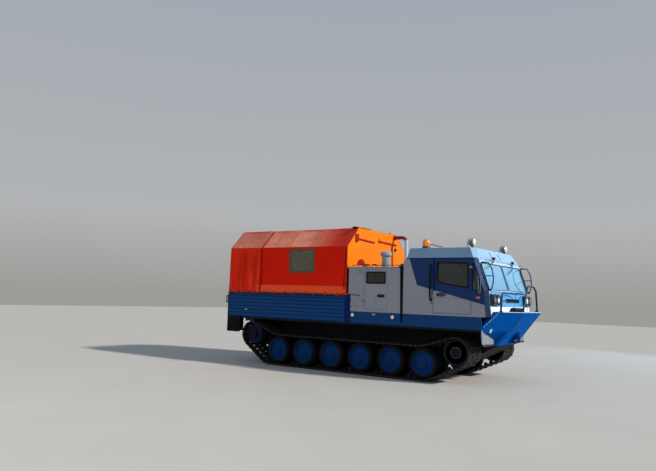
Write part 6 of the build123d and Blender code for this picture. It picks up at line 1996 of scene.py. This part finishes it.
# deck plate fasteners, lifting eyes, filler plate
for s_ in (-1, 1):
    for x, y in ((4.10, 0.95), (4.22, 0.60)):
        nb.torus((x, s_ * y, ND + 0.026), (0.4, 1, 0), 0.024, 0.008, 26, 10)
        nb.box(x - 0.030, x + 0.030, s_ * y - 0.014, s_ * y + 0.014, ND - 0.001, ND + 0.008)
for i in range(9):
    nb.bolt((3.845, -1.20 + 0.30 * i, ND), (0, 0, 1), 0.009, 0.006)
nb.obj("nose_lifting_eyes_and_bolts", M["black"])
wr, wk = B(), B()
for i in range(37):
    y = -0.715 + 0.0142 * i
    wr.torus((4.075, y, ND + 0.050), (0.10 if i % 2 else -0.10, 1, 0), 0.0405, 0.0068, 24, 6)
for i in range(33):
    y = -0.700 + 0.0142 * i
    wr.torus((4.075, y, ND + 0.050), (0.12 if i % 2 else -0.12, 1, 0), 0.0520, 0.0066, 24, 6)
wr.tube([(4.110, -0.50, ND + 0.085), (4.180, -0.47, ND + 0.030), (4.245, -0.40, ND + 0.012), (4.235, -0.25, ND + 0.009), (4.180, -0.16, ND + 0.009)], 0.0066, 10, 0.05, 6)
wk.torus((4.165, -0.145, ND + 0.010), (0, 0, 1), 0.022, 0.007, 24, 8)
for y in (-0.744, -0.166):
    wk.lathe([(0.060, 0), (0.060, 0.5), (0.030, 1.0)], (4.075, y - 0.004, ND + 0.050), (4.075, y + (0.022 if y > -0.5 else -0.022), ND + 0.050), 30)
for x, y in ((4.00, -0.77), (4.15, -0.77), (4.00, -0.14), (4.15, -0.14)):
    wk.bolt((x, y, ND + 0.018), (0, 0, 1), 0.007, 0.006)
wk.lathe([(0.032, 0), (0.032, 0.85), (0.024, 1)], (4.075, -0.80, ND + 0.050), (4.075, -0.90, ND + 0.050), 24)
wr.obj("winch_line", M["rope"])
wk.obj("winch_fittings", M["black"])

# reflectors under the wings of the bow, and slim stays ahead of the quarter windows
re_, rb_, vs_ = B(), B(), B()
rn = Vector((0.752, -0.314, -0.580))
ru = (Vector((0, 0, 1)) - rn * rn.z).normalized()
rv = rn.cross(ru)
rc_ = Vector((3.722, -1.252, 1.299))
ru, rv = ru * 0.939 + rv * 0.344, rv * 0.939 - ru * 0.344
for bb, hw, hh, h0, h1 in ((rb_, 0.040, 0.066, -0.002, 0.006), (re_, 0.031, 0.056, 0.005, 0.013)):
    pr = round_poly([(-hw, -hh), (hw, -hh), (hw, hh), (-hw, hh)], 0.012)
    pad(bb, pr, lambda p, h: tuple(rc_ + rv * p[0] + ru * p[1] + rn * h), h0, h1, 0.003)
for bb in (re_, rb_):
    bb.mirror()
re_.obj("bow_reflectors", M["whitecap"])
rb_.obj("bow_reflector_plates", M["blackplastic"])
for s_ in (-1, 1):
    vs_.tube([(3.535, s_ * 1.577, 2.545), (3.537, s_ * 1.600, 2.520), (3.566, s_ * 1.602, 2.172), (3.600, s_ * 1.602, 2.172), (3.612, s_ * 1.600, 2.520), (3.600, s_ * 1.577, 2.560)], 0.0052, 10, 0.016, 5)
    vs_.cyl((3.583, s_ * 1.574, 2.172), (3.583, s_ * 1.604, 2.172), 0.007, 12)
vs_.obj("quarter_window_stays", M["grey"])
# bow tow gusset: bushes and pin; front mudguard hems
tg_ = B()
tg_.lathe([(0.034, 0), (0.034, 1)], (3.925, -0.098, 1.055), (3.925, -0.089, 1.055), 28)
tg_.lathe([(0.034, 0), (0.034, 1)], (3.925, 0.089, 1.055), (3.925, 0.098, 1.055), 28)
tg_.lathe([(0.0195, 0), (0.0195, 0.96), (0.016, 1.0)], (3.925, -0.125, 1.055), (3.925, 0.125, 1.055), 24)
tg_.lathe([(0.030, 0), (0.030, 0.7), (0.026, 1.0)], (3.925, -0.115, 1.055), (3.925, -0.128, 1.055), 24)
tg_.torus((3.925, 0.135, 1.055), (1, 0, 0), 0.015, 0.003, 20, 6)
tg_.obj("bow_tow_pin", M["bare"])
fm, fmb = B(), B()
for s_ in (-1, 1):
    y0, y1 = sorted((s_ * 0.740, s_ * 1.490))
    fm.box(3.6175, 3.6235, y0, y1, 0.942, 0.972)
    for y in (0.80, 0.95, 1.10, 1.25, 1.40):
        fmb.bolt((3.6235, s_ * y, 0.957), (1, 0, 0), 0.007, 0.005)
fm.obj("front_mudguard_hems", M["flap"], bevel=0.002)
fmb.obj("front_mudguard_bolts", M["bolt"])


# =====================================================================
# inside of the cab
# =====================================================================
ga, gf, gn, sw_ = B(), B(), B(), B()
for y, r in ((0.62, 0.040), (0.78, 0.048), (0.94, 0.040)):
    ga.lathe([(r + 0.008, 0), (r + 0.009, 0.6), (r + 0.004, 1.0), (r - 0.001, 0.9), (r - 0.002, 0.3), (r - 0.002, 0)], (3.421, y, 2.105), (3.405, y, 2.105), 36, closed=True)
    gf.lathe([(r - 0.001, 0), (r - 0.001, 0.5), (0.0, 0.5)], (3.4205, y, 2.105), (3.416, y, 2.105), 32)
    for i in range(9):
        a = math.radians(-135 + 270 * i / 8)
        sa, ca = math.sin(a), math.cos(a)
        M4 = Matrix.Translation((3.4150, y + sa * (r - 0.009), 2.105 + ca * (r - 0.009))) @ Matrix.Rotation(-a, 4, "X")
        gn.box(-0.0006, 0.0006, -0.0009, 0.0009, -0.004, 0.004, M4)
    a = 0.7 - y
    gn.tube([(3.4140, y, 2.105), (3.4140, y + math.sin(a) * (r - 0.014), 2.105 + math.cos(a) * (r - 0.014))], 0.0012, 6)
    gn.cyl((3.4165, y, 2.105), (3.4120, y, 2.105), 0.005, 12)
for i in range(8):
    y = 0.20 - 0.055 * i
    sw_.box(3.4085, 3.4215, y - 0.016, y + 0.016, 2.070, 2.100)
    sw_.prism([(3.409, 2.074), (3.401, 2.090), (3.409, 2.096)], "y", y - 0.010, y + 0.010)
for y in (-0.45, -0.85):
    sw_.box(3.412, 3.4215, y - 0.13, y + 0.13, 1.960, 2.110)
    sw_.tube([(3.413, y - 0.05, 2.085), (3.400, y - 0.05, 2.085), (3.400, y + 0.05, 2.085), (3.413, y + 0.05, 2.085)], 0.004, 8, 0.006, 3)
ga.obj("gauge_rims", M["blackplastic"])
gf.obj("gauge_faces", M["dash"])
gn.obj("gauge_marks_and_needles", M["whitecap"])
sw_.obj("dash_switches_and_panels", M["blackplastic"], bevel=0.0015)
pe, pp, lv, kn_ = B(), B(), B(), B()
for y, w_ in ((0.90, 0.035), (0.78, 0.035), (0.66, 0.027)):
    pe.tube([(3.40, y, 1.93), (3.38, y, 1.70), (3.30, y, 1.545)], 0.009, 10, 0.06, 5)
    Mp = Matrix.Translation((3.292, y, 1.525)) @ Matrix.Rotation(math.radians(-38), 4, "Y")
    pp.box(-0.004, 0.006, -w_, w_, -0.042, 0.042, Mp)
    for i in range(6):
        zz = -0.034 + 0.0136 * i
        pp.box(-0.0085, -0.003, -w_ + 0.004, w_ - 0.004, zz - 0.003, zz + 0.003, Mp)
for x, y, h, lean in ((3.02, 0.46, 0.40, -0.05), (2.92, 0.40, 0.32, -0.04)):
    lv.tube([(x, y, 1.354), (x, y, 1.354 + h * 0.6), (x + lean, y + 0.02, 1.354 + h)], 0.009, 10, 0.08, 5)
    lv.lathe([(0.055, 0), (0.052, 0.15), (0.036, 0.35), (0.030, 0.5), (0.020, 0.7), (0.014, 1.0)], (x, y, 1.353), (x, y, 1.440), 24)
    kn_.lathe([(0.010, 0), (0.021, 0.25), (0.026, 0.55), (0.021, 0.85), (0.008, 1.0)], (x + lean, y + 0.02, 1.354 + h - 0.006), (x + lean * 1.1, y + 0.022, 1.354 + h + 0.046), 24)
# steering wheel: grips, hub cap and horn button follow the wheel
swc, swx = Vector((3.190, 0.780, 2.210)), Vector((-0.8, 0, 0.6))
sr2, sr3 = B(), B()
sr2.lathe([(0.042, 0), (0.044, 0.4), (0.036, 0.8), (0.016, 1.0)], swc + swx * 0.004, swc + swx * 0.030, 32)
su = Vector((0, 1, 0))
sv = swx.cross(su)
for k in range(48):
    a = 2 * math.pi * k / 48
    e = su * math.cos(a) + sv * math.sin(a)
    t = -su * math.sin(a) + sv * math.cos(a)
    sr3.torus(swc + e * 0.205, t, 0.0162, 0.0020, 12, 6)
sr2.obj("horn_button", M["dash"], body="steering_wheel")
sr3.obj("wheel_rim_grips", M["blackplastic"], body="steering_wheel")
pe.obj("pedal_arms", M["black"])
pp.obj("pedal_pads", M["gasket"])
lv.obj("levers_and_boots", M["blackplastic"])
kn_.obj("lever_knobs", M["dash"])
# floor mat with ribs, sun visors, seat rails and belts
mt = B()
mt.box(1.72, 3.40, -1.30, 1.30, 1.3545, 1.3605)
for i in range(54):
    x = 1.75 + 0.0306 * i
    mt.box(x, x + 0.012, -1.28, 1.28, 1.3600, 1.3635)
mt.obj("cab_floor_mat", M["flap"])
vs, vb = B(), B()
for y in (-0.70, 0.70):
    pr = round_poly([(y - 0.20, 2.800), (y + 0.20, 2.800), (y + 0.20, 2.925), (y - 0.20, 2.925)], 0.03)
    pad(vs, pr, lambda p, h: (ws_x(p[1]) - 0.062 - h, p[0], p[1]), 0.0, 0.018, 0.006)
    for d in (-0.12, 0.12):
        vb.tube([(ws_x(2.93) - 0.070, y + d, 2.955), (ws_x(2.90) - 0.072, y + d, 2.915)], 0.005, 8)
for s_ in (-1, 1):
    for y in (s_ * 0.78 - 0.14, s_ * 0.78 + 0.14):
        vb.box(2.42, 2.88, y - 0.012, y + 0.012, 1.354, 1.368)
        for x in (2.46, 2.84):
            vb.bolt((x, y, 1.368), (0, 0, 1), 0.008, 0.006)
vs.obj("sun_visors", M["dash"])
vb.obj("visor_and_seat_hardware", M["black"])
bt, bk2 = B(), B()
for s_ in (-1, 1):
    yo = s_ * 1.06
    bpts = [(2.43, yo, 1.80), (2.40, yo, 2.30), (2.36, yo, 2.70)]
    strip(bt, [(2.47 - 0.055 * i / 20, s_ * (1.055 + 0.01 * math.sin(i * 0.5)), 1.72 + 0.92 * i / 20) for i in range(21)], (0, s_, 0), 0.046, 0.0018)
    bk2.box(2.452, 2.492, *sorted((s_ * 1.048, s_ * 1.066)), 1.700, 1.770)
    bk2.tube([(2.560, s_ * 0.515, 1.70), (2.552, s_ * 0.505, 1.90)], 0.008, 8)
    bk2.box(2.534, 2.570, *sorted((s_ * 0.495, s_ * 0.515)), 1.885, 1.950)
bt.obj("seat_belts", M["canvas_black"])
bk2.obj("seat_belt_buckles", M["blackplastic"], bevel=0.003)


# =====================================================================
# seat cushions: pressed out by a short cloth simulation, then seamed
# =====================================================================
def inflate(name, prof, y0, y1, cap, pressure=4.0):
    """Closed cushion between y0 and y1, profile in (x, z), pushed out by inner pressure."""
    b = B()
    b.prism(prof, "y", y0, y1)
    o = b.obj(name, M["seat"], body=None)
    rm = o.modifiers.new("skin", "REMESH")
    rm.mode, rm.voxel_size = "VOXEL", 0.0095
    bpy.context.view_layer.objects.active = o
    dg = bpy.context.evaluated_depsgraph_get()
    me = bpy.data.meshes.new_from_object(o.evaluated_get(dg))
    o.modifiers.clear()
    o.data = me
    v0 = np.empty(len(me.vertices) * 3)
    me.vertices.foreach_get("co", v0)
    v0 = v0.reshape(-1, 3)
    c_ = o.modifiers.new("cloth", "CLOTH")
    st = c_.settings
    st.quality, st.mass, st.tension_stiffness, st.compression_stiffness, st.shear_stiffness, st.bending_stiffness = 5, 0.4, 28, 28, 12, 2.5
    st.use_pressure, st.uniform_pressure_force = True, pressure
    st.effector_weights.gravity = 0.0
    st.air_damping = 4.0
    c_.collision_settings.use_collision = False
    c_.point_cache.frame_start, c_.point_cache.frame_end = 1, 18
    for fr in range(1, 19):
        scene.frame_set(fr)
    dg = bpy.context.evaluated_depsgraph_get()
    me2 = bpy.data.meshes.new_from_object(o.evaluated_get(dg))
    o.modifiers.clear()
    o.data = me2
    scene.frame_set(1)
    me = o.data
    v1 = np.empty(len(me.vertices) * 3)
    me.vertices.foreach_get("co", v1)
    v1 = v1.reshape(-1, 3)
    d = v1 - v0
    L = np.linalg.norm(d, axis=1, keepdims=True)
    print("CUSHION", name, len(v0), "moved", round(float(L.mean()), 4), round(float(L.max()), 4))
    v1 = v0 + d * np.minimum(1.0, cap / np.maximum(L, 1e-9))
    return o, v1


def finish_cushion(o, v, seams):
    """Seams pressed in as soft grooves; the flat mesh is then subdivided once."""
    me = o.data
    v = v.copy()
    for axis_fn, depth, width in seams:
        dist, nrm = axis_fn(v)
        k = np.exp(-(dist / width) ** 2)[:, None]
        v -= nrm * depth * k
    me.vertices.foreach_set("co", v.ravel())
    me.update()
    smooth(o, 180)
    sub = o.modifiers.new("soft", "SUBSURF")
    sub.levels = sub.render_levels = 1
    dec = o.modifiers.new("lighter", "DECIMATE")
    dec.ratio = 0.42
    me.materials.clear()
    me.materials.append(M["seat"])


SEAT_PROF = [(2.412, 1.732), (2.888, 1.732), (2.888, 1.838), (2.412, 1.838)]
BACK_PROF = [(2.412, 1.866), (2.508, 1.866), (2.392, 2.548), (2.312, 2.548)]


def channel(v, yc, inner, top):
    """Lengthwise seams on the cushion's upper side at two places off the middle."""
    d = np.minimum(np.abs(v[:, 1] - (yc - inner)), np.abs(v[:, 1] - (yc + inner)))
    n = np.zeros_like(v)
    n[:, 2 if top else 0] = np.clip(((v[:, 2] - 1.80) / 0.03) if top else ((v[:, 0] - (2.45 - (v[:, 2] - 1.87) * 0.17)) / 0.03), 0, 1)
    return d, n


def crosswise(v, where, top):
    d = np.abs((v[:, 0] if top else v[:, 2]) - where)
    n = np.zeros_like(v)
    n[:, 2 if top else 0] = np.clip(((v[:, 2] - 1.80) / 0.03) if top else ((v[:, 0] - (2.45 - (v[:, 2] - 1.87) * 0.17)) / 0.03), 0, 1)
    return d, n


so, sv_ = inflate("seat_cushion_right", SEAT_PROF, -1.018, -0.542, 0.022)
bo, bv_ = inflate("seat_back_right", BACK_PROF, -1.008, -0.552, 0.020)
for o, v, top in ((so, sv_, True), (bo, bv_, False)):
    twin_me = o.data.copy()
    twin_me.flip_normals()
    twin = bpy.data.objects.new(o.name.replace("right", "left"), twin_me)
    scene.collection.objects.link(twin)
    vm_ = v.copy()
    vm_[:, 1] *= -1
    seams = [(lambda q, t=top: channel(q, -0.78, 0.125, t), 0.011, 0.007), (lambda q, t=top: crosswise(q, 2.60 if t else 2.20, t), 0.008, 0.007)]
    seams_l = [(lambda q, t=top: channel(q, 0.78, 0.125, t), 0.011, 0.007), (lambda q, t=top: crosswise(q, 2.60 if t else 2.20, t), 0.008, 0.007)]
    finish_cushion(o, v, seams)
    finish_cushion(twin, vm_, seams_l)
    for q in (o, twin):
        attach(q, "chassis")
        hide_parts("seat_cushions")

# =====================================================================
# bed: boards on the benches, frame clamps, tie rings
# =====================================================================
bd, bb_ = B(), B()
for s_ in (-1, 1):
    for i in range(4):
        y0 = 1.118 + 0.0925 * i
        y0, y1 = sorted((s_ * y0, s_ * (y0 + 0.084)))
        bd.box(-4.078, -0.422, y0, y1, 1.8295, 1.8420)
    for x in (-4.0, -3.13, -2.25, -1.37, -0.5):
        for i in range(4):
            y = s_ * (1.160 + 0.0925 * i)
            bb_.lathe([(0.007, 0), (0.007, 0.5), (0.004, 1)], (x, y, 1.841), (x, y, 1.845), 10)
        bb_.prism([(s_ * 1.15, 1.79), (s_ * 1.15, 1.70), (s_ * 1.24, 1.79)], "x", x - 0.003, x + 0.003)
bd.obj("bench_boards_top", M["wood"], bevel=0.003)
bb_.obj("bench_screws_and_gussets", M["bolt"])
cl = B()
for x in (-4.215, -3.059, -2.110, -1.130, -0.200):
    for s_ in (-1, 1):
        for z in (2.09, 3.222):
            cl.torus((x, s_ * 1.509, z), (0, 0, 1), 0.021, 0.005, 20, 6, 2.4)
            cl.bolt((x + 0.026, s_ * 1.500, z), (1, 0, 0), 0.006, 0.006)
    for y in (-0.98, 0.0, 0.98):
        cl.torus((x, y, 3.790), (1, 0, 0), 0.019, 0.005, 18, 6, 2.4)
for x in (-3.8, -2.8, -1.8, -0.8):
    for s_ in (-1, 1):
        cl.torus((x, s_ * 1.02, 1.372), (1, 0, 0), 0.022, 0.005, 22, 8)
        cl.box(x - 0.020, x + 0.020, s_ * 1.02 - 0.030, s_ * 1.02 + 0.030, 1.3535, 1.3585)
cl.obj("bed_frame_clamps_and_tie_rings", M["bolt"])

# =====================================================================
# engine: covers, pipes, belts over the plain block
# =====================================================================

eb, ep, eh_, ek = B(), B(), B(), B()
# rocker covers with ribs and bolts
for s_ in (-1, 1):
    yc = s_ * 0.22
    fr = []
    for x, k in ((0.22, 0.85), (0.235, 1.0), (1.265, 1.0), (1.28, 0.85)):
        fr.append([(x, yc + yy * k, 2.298 + zz * k) for yy, zz in ((-0.13, 0), (-0.13, 0.055), (-0.10, 0.095), (0.10, 0.095), (0.13, 0.055), (0.13, 0))])
    eb.ring(fr, 6)
    for i in range(9):
        eb.box(0.29 + 0.115 * i, 0.305 + 0.115 * i, yc - 0.105, yc + 0.105, 2.385, 2.402)
    for x in (0.26, 0.50, 0.75, 1.00, 1.24):
        for d in (-0.145, 0.145):
            ek.bolt((x, yc + d, 2.300), (0, 0, 1), 0.010, 0.012)
    # exhaust manifold down each side
    ep.tube([(0.28, s_ * 0.52, 2.12), (1.22, s_ * 0.52, 2.12), (1.34, s_ * 0.52, 2.00), (1.40, s_ * 0.52, 1.60)], 0.042, 16, 0.10, 6)
    for i in range(4):
        x = 0.34 + 0.26 * i
        ep.tube([(x, s_ * 0.448, 2.12), (x, s_ * 0.52, 2.12)], 0.034, 14)
        ep.box(x - 0.055, x + 0.055, *sorted((s_ * 0.448, s_ * 0.466)), 2.075, 2.165)
        for dx in (-0.042, 0.042):
            ek.bolt((x + dx, s_ * 0.466, 2.12), (0, s_, 0), 0.009, 0.010)
    # sump rail, side covers, filters
    eb.box(0.18, 1.32, *sorted((s_ * 0.449, s_ * 0.470)), 1.40, 1.44)
    for i in range(6):
        ek.bolt((0.24 + 0.20 * i, s_ * 0.470, 1.42), (0, s_, 0), 0.009, 0.009)
    for i in range(3):
        x = 0.40 + 0.34 * i
        eb.lathe([(0.125, 0), (0.125, 0.6), (0.105, 1.0), (0.040, 1.0)], (x, s_ * 0.448, 1.74), (x, s_ * 0.476, 1.74), 36)
        for k in range(8):
            a = math.pi / 4 * k
            ek.bolt((x + 0.108 * math.cos(a), s_ * 0.468, 1.74 + 0.108 * math.sin(a)), (0, s_, 0), 0.008, 0.008)
    for x in (0.62, 0.80):
        ep.lathe([(0.050, 0), (0.056, 0.06), (0.056, 0.85), (0.048, 0.96), (0.020, 1.0)], (x, s_ * 0.560, 1.60), (x, s_ * 0.560, 1.42), 28)
        eb.lathe([(0.058, 0), (0.058, 1)], (x, s_ * 0.560, 1.60), (x, s_ * 0.560, 1.635), 24)
        eb.box(x - 0.03, x + 0.03, *sorted((s_ * 0.448, s_ * 0.560)), 1.602, 1.632)
    # hoses
    eh_.tube([(0.62, s_ * 0.560, 1.63), (0.62, s_ * 0.600, 1.84), (0.30, s_ * 0.600, 1.95), (0.22, s_ * 0.46, 2.05)], 0.013, 10, 0.07, 6)
    eh_.tube([(0.80, s_ * 0.560, 1.63), (0.82, s_ * 0.610, 1.86), (1.20, s_ * 0.580, 1.88), (1.30, s_ * 0.46, 1.95)], 0.013, 10, 0.07, 6)
# pulleys and belt at the front end, air trunk to the intake stem
for y, z, r in ((0.0, 1.60, 0.13), (0.20, 1.92, 0.07), (-0.22, 1.95, 0.085), (0.0, 2.16, 0.10)):
    ep.lathe([(r, 0), (r, 0.2), (r - 0.012, 0.3), (r - 0.012, 0.45), (r, 0.55), (r, 0.8), (r * 0.35, 0.82), (r * 0.30, 1.0)], (1.352, y, z), (1.405, y, z), 32)
belt = [(0.132, 1.60), (0.272, 1.92), (0.235, 1.985), (0.07, 2.25), (0.0, 2.262), (-0.07, 2.25), (-0.285, 2.01), (-0.305, 1.94), (-0.13, 1.58), (-0.07, 1.485), (0.07, 1.485)]
eh_.ring([[(1.366 + dx, y * k, 1.87 + (z - 1.87) * k) for dx, k in ((0, 1.0), (0.018, 1.0), (0.018, 0.975), (0, 0.975))] for y, z in belt], 4, closed=True)
eh_.tube([(0.803, -1.080, 2.760), (0.803, -1.080, 2.600), (0.803, -0.30, 2.580), (0.803, -0.22, 2.400)], 0.072, 20, 0.14, 7)
for i in range(16):
    eh_.torus((0.803, -0.95 + 0.038 * i, 2.5985 - 0.001 * i), (0, 1, 0), 0.0725, 0.006, 22, 6)
eb.obj("engine_covers", M["iron"], angle=35, bevel=0.003)
ep.obj("engine_pipes_and_filters", M["bare"], angle=40)
eh_.obj("engine_hoses_and_belt", M["gasket"], angle=40)
ek.obj("engine_bolts", M["bolt"])


# =====================================================================
# camera, light and floor
# =====================================================================
cam_data = bpy.data.cameras.new("camera")
cam = bpy.data.objects.new("camera", cam_data)
scene.collection.objects.link(cam)
scene.camera = cam
yaw, pitch, roll = math.radians(35.0985651), math.radians(5.61744332), math.radians(1.95652649)
fw = Vector((-math.sin(yaw) * math.cos(pitch), math.cos(yaw) * math.cos(pitch), math.sin(pitch)))
rt = fw.cross(Vector((0, 0, 1))).normalized()
up = rt.cross(fw)
r_ = rt * math.cos(roll) + up * math.sin(roll)
u_ = rt * -math.sin(roll) + up * math.cos(roll)
cam.matrix_world = Matrix(((r_.x, u_.x, -fw.x, 9.1347), (r_.y, u_.y, -fw.y, -15.6266), (r_.z, u_.z, -fw.z, 1.9284), (0, 0, 0, 1)))
cam_data.sensor_fit = "HORIZONTAL"
cam_data.sensor_width = 36.0
cam_data.lens = 636.5274 * 36.0 / 656.0
cam_data.clip_end = 500.0

w = bpy.data.worlds.new("studio")
scene.world = w
w.use_nodes = True
wt = w.node_tree
bg = wt.nodes["Background"]
tc = wt.nodes.new("ShaderNodeTexCoord")
sp = wt.nodes.new("ShaderNodeSeparateXYZ")
wt.links.new(tc.outputs["Generated"], sp.inputs[0])
cr = wt.nodes.new("ShaderNodeValToRGB")
cr.color_ramp.elements[0].position, cr.color_ramp.elements[0].color = 0.0, (0.62, 0.60, 0.57, 1)
cr.color_ramp.elements[1].position, cr.color_ramp.elements[1].color = 1.0, (0.42, 0.56, 0.78, 1)
e = cr.color_ramp.elements.new(0.12)
e.color = (0.80, 0.82, 0.84, 1)
wt.links.new(sp.outputs[2], cr.inputs[0])
wt.links.new(cr.outputs[0], bg.inputs[0])
bg.inputs[1].default_value = 0.55


def area_light(name, loc, target, size, power, color=(1, 1, 1)):
    d = bpy.data.lights.new(name, "AREA")
    d.shape, d.size, d.size_y, d.energy, d.color = "RECTANGLE", size[0], size[1], power, color
    o = bpy.data.objects.new(name, d)
    scene.collection.objects.link(o)
    o.location = loc
    o.rotation_mode = "QUATERNION"
    o.rotation_quaternion = (Vector(target) - Vector(loc)).to_track_quat("-Z", "Y")
    return o


sun = bpy.data.lights.new("key", "SUN")
sun.energy, sun.angle, sun.color = 4.6, math.radians(4.0), (1.0, 0.94, 0.84)
sun_o = bpy.data.objects.new("key", sun)
scene.collection.objects.link(sun_o)
sun_o.rotation_mode = "QUATERNION"
sun_o.rotation_quaternion = Vector((-1.0, -0.22, -0.66)).to_track_quat("-Z", "Y")
area_light("fill", (1, -17, 8), (0, 0, 1.4), (14, 7), 380, (0.90, 0.95, 1.0))
soft = area_light("sky_panel", (7.6, 13.1, 5.2), (3.6, 0, 2.6), (14, 8), 330, (0.42, 0.72, 1.0))
soft.visible_camera = False

fb = B()
fb.add([(-60, -60, 0), (60, -60, 0), (60, 60, 0), (-60, 60, 0)], [(0, 1, 2, 3)])
fl = Mat("floor")
fl.set(Base_Color=fl.mix(fl.noise(0.6, 3), (0.40, 0.39, 0.37), (0.45, 0.44, 0.42)), Roughness=fl.step(fl.noise(3, 3), 0.3, 0.7, 0.75, 0.88))
floor = fb.obj("floor", fl.m, body=None)
floor.location.z = -0.0005
scene.view_settings.view_transform = "Standard"
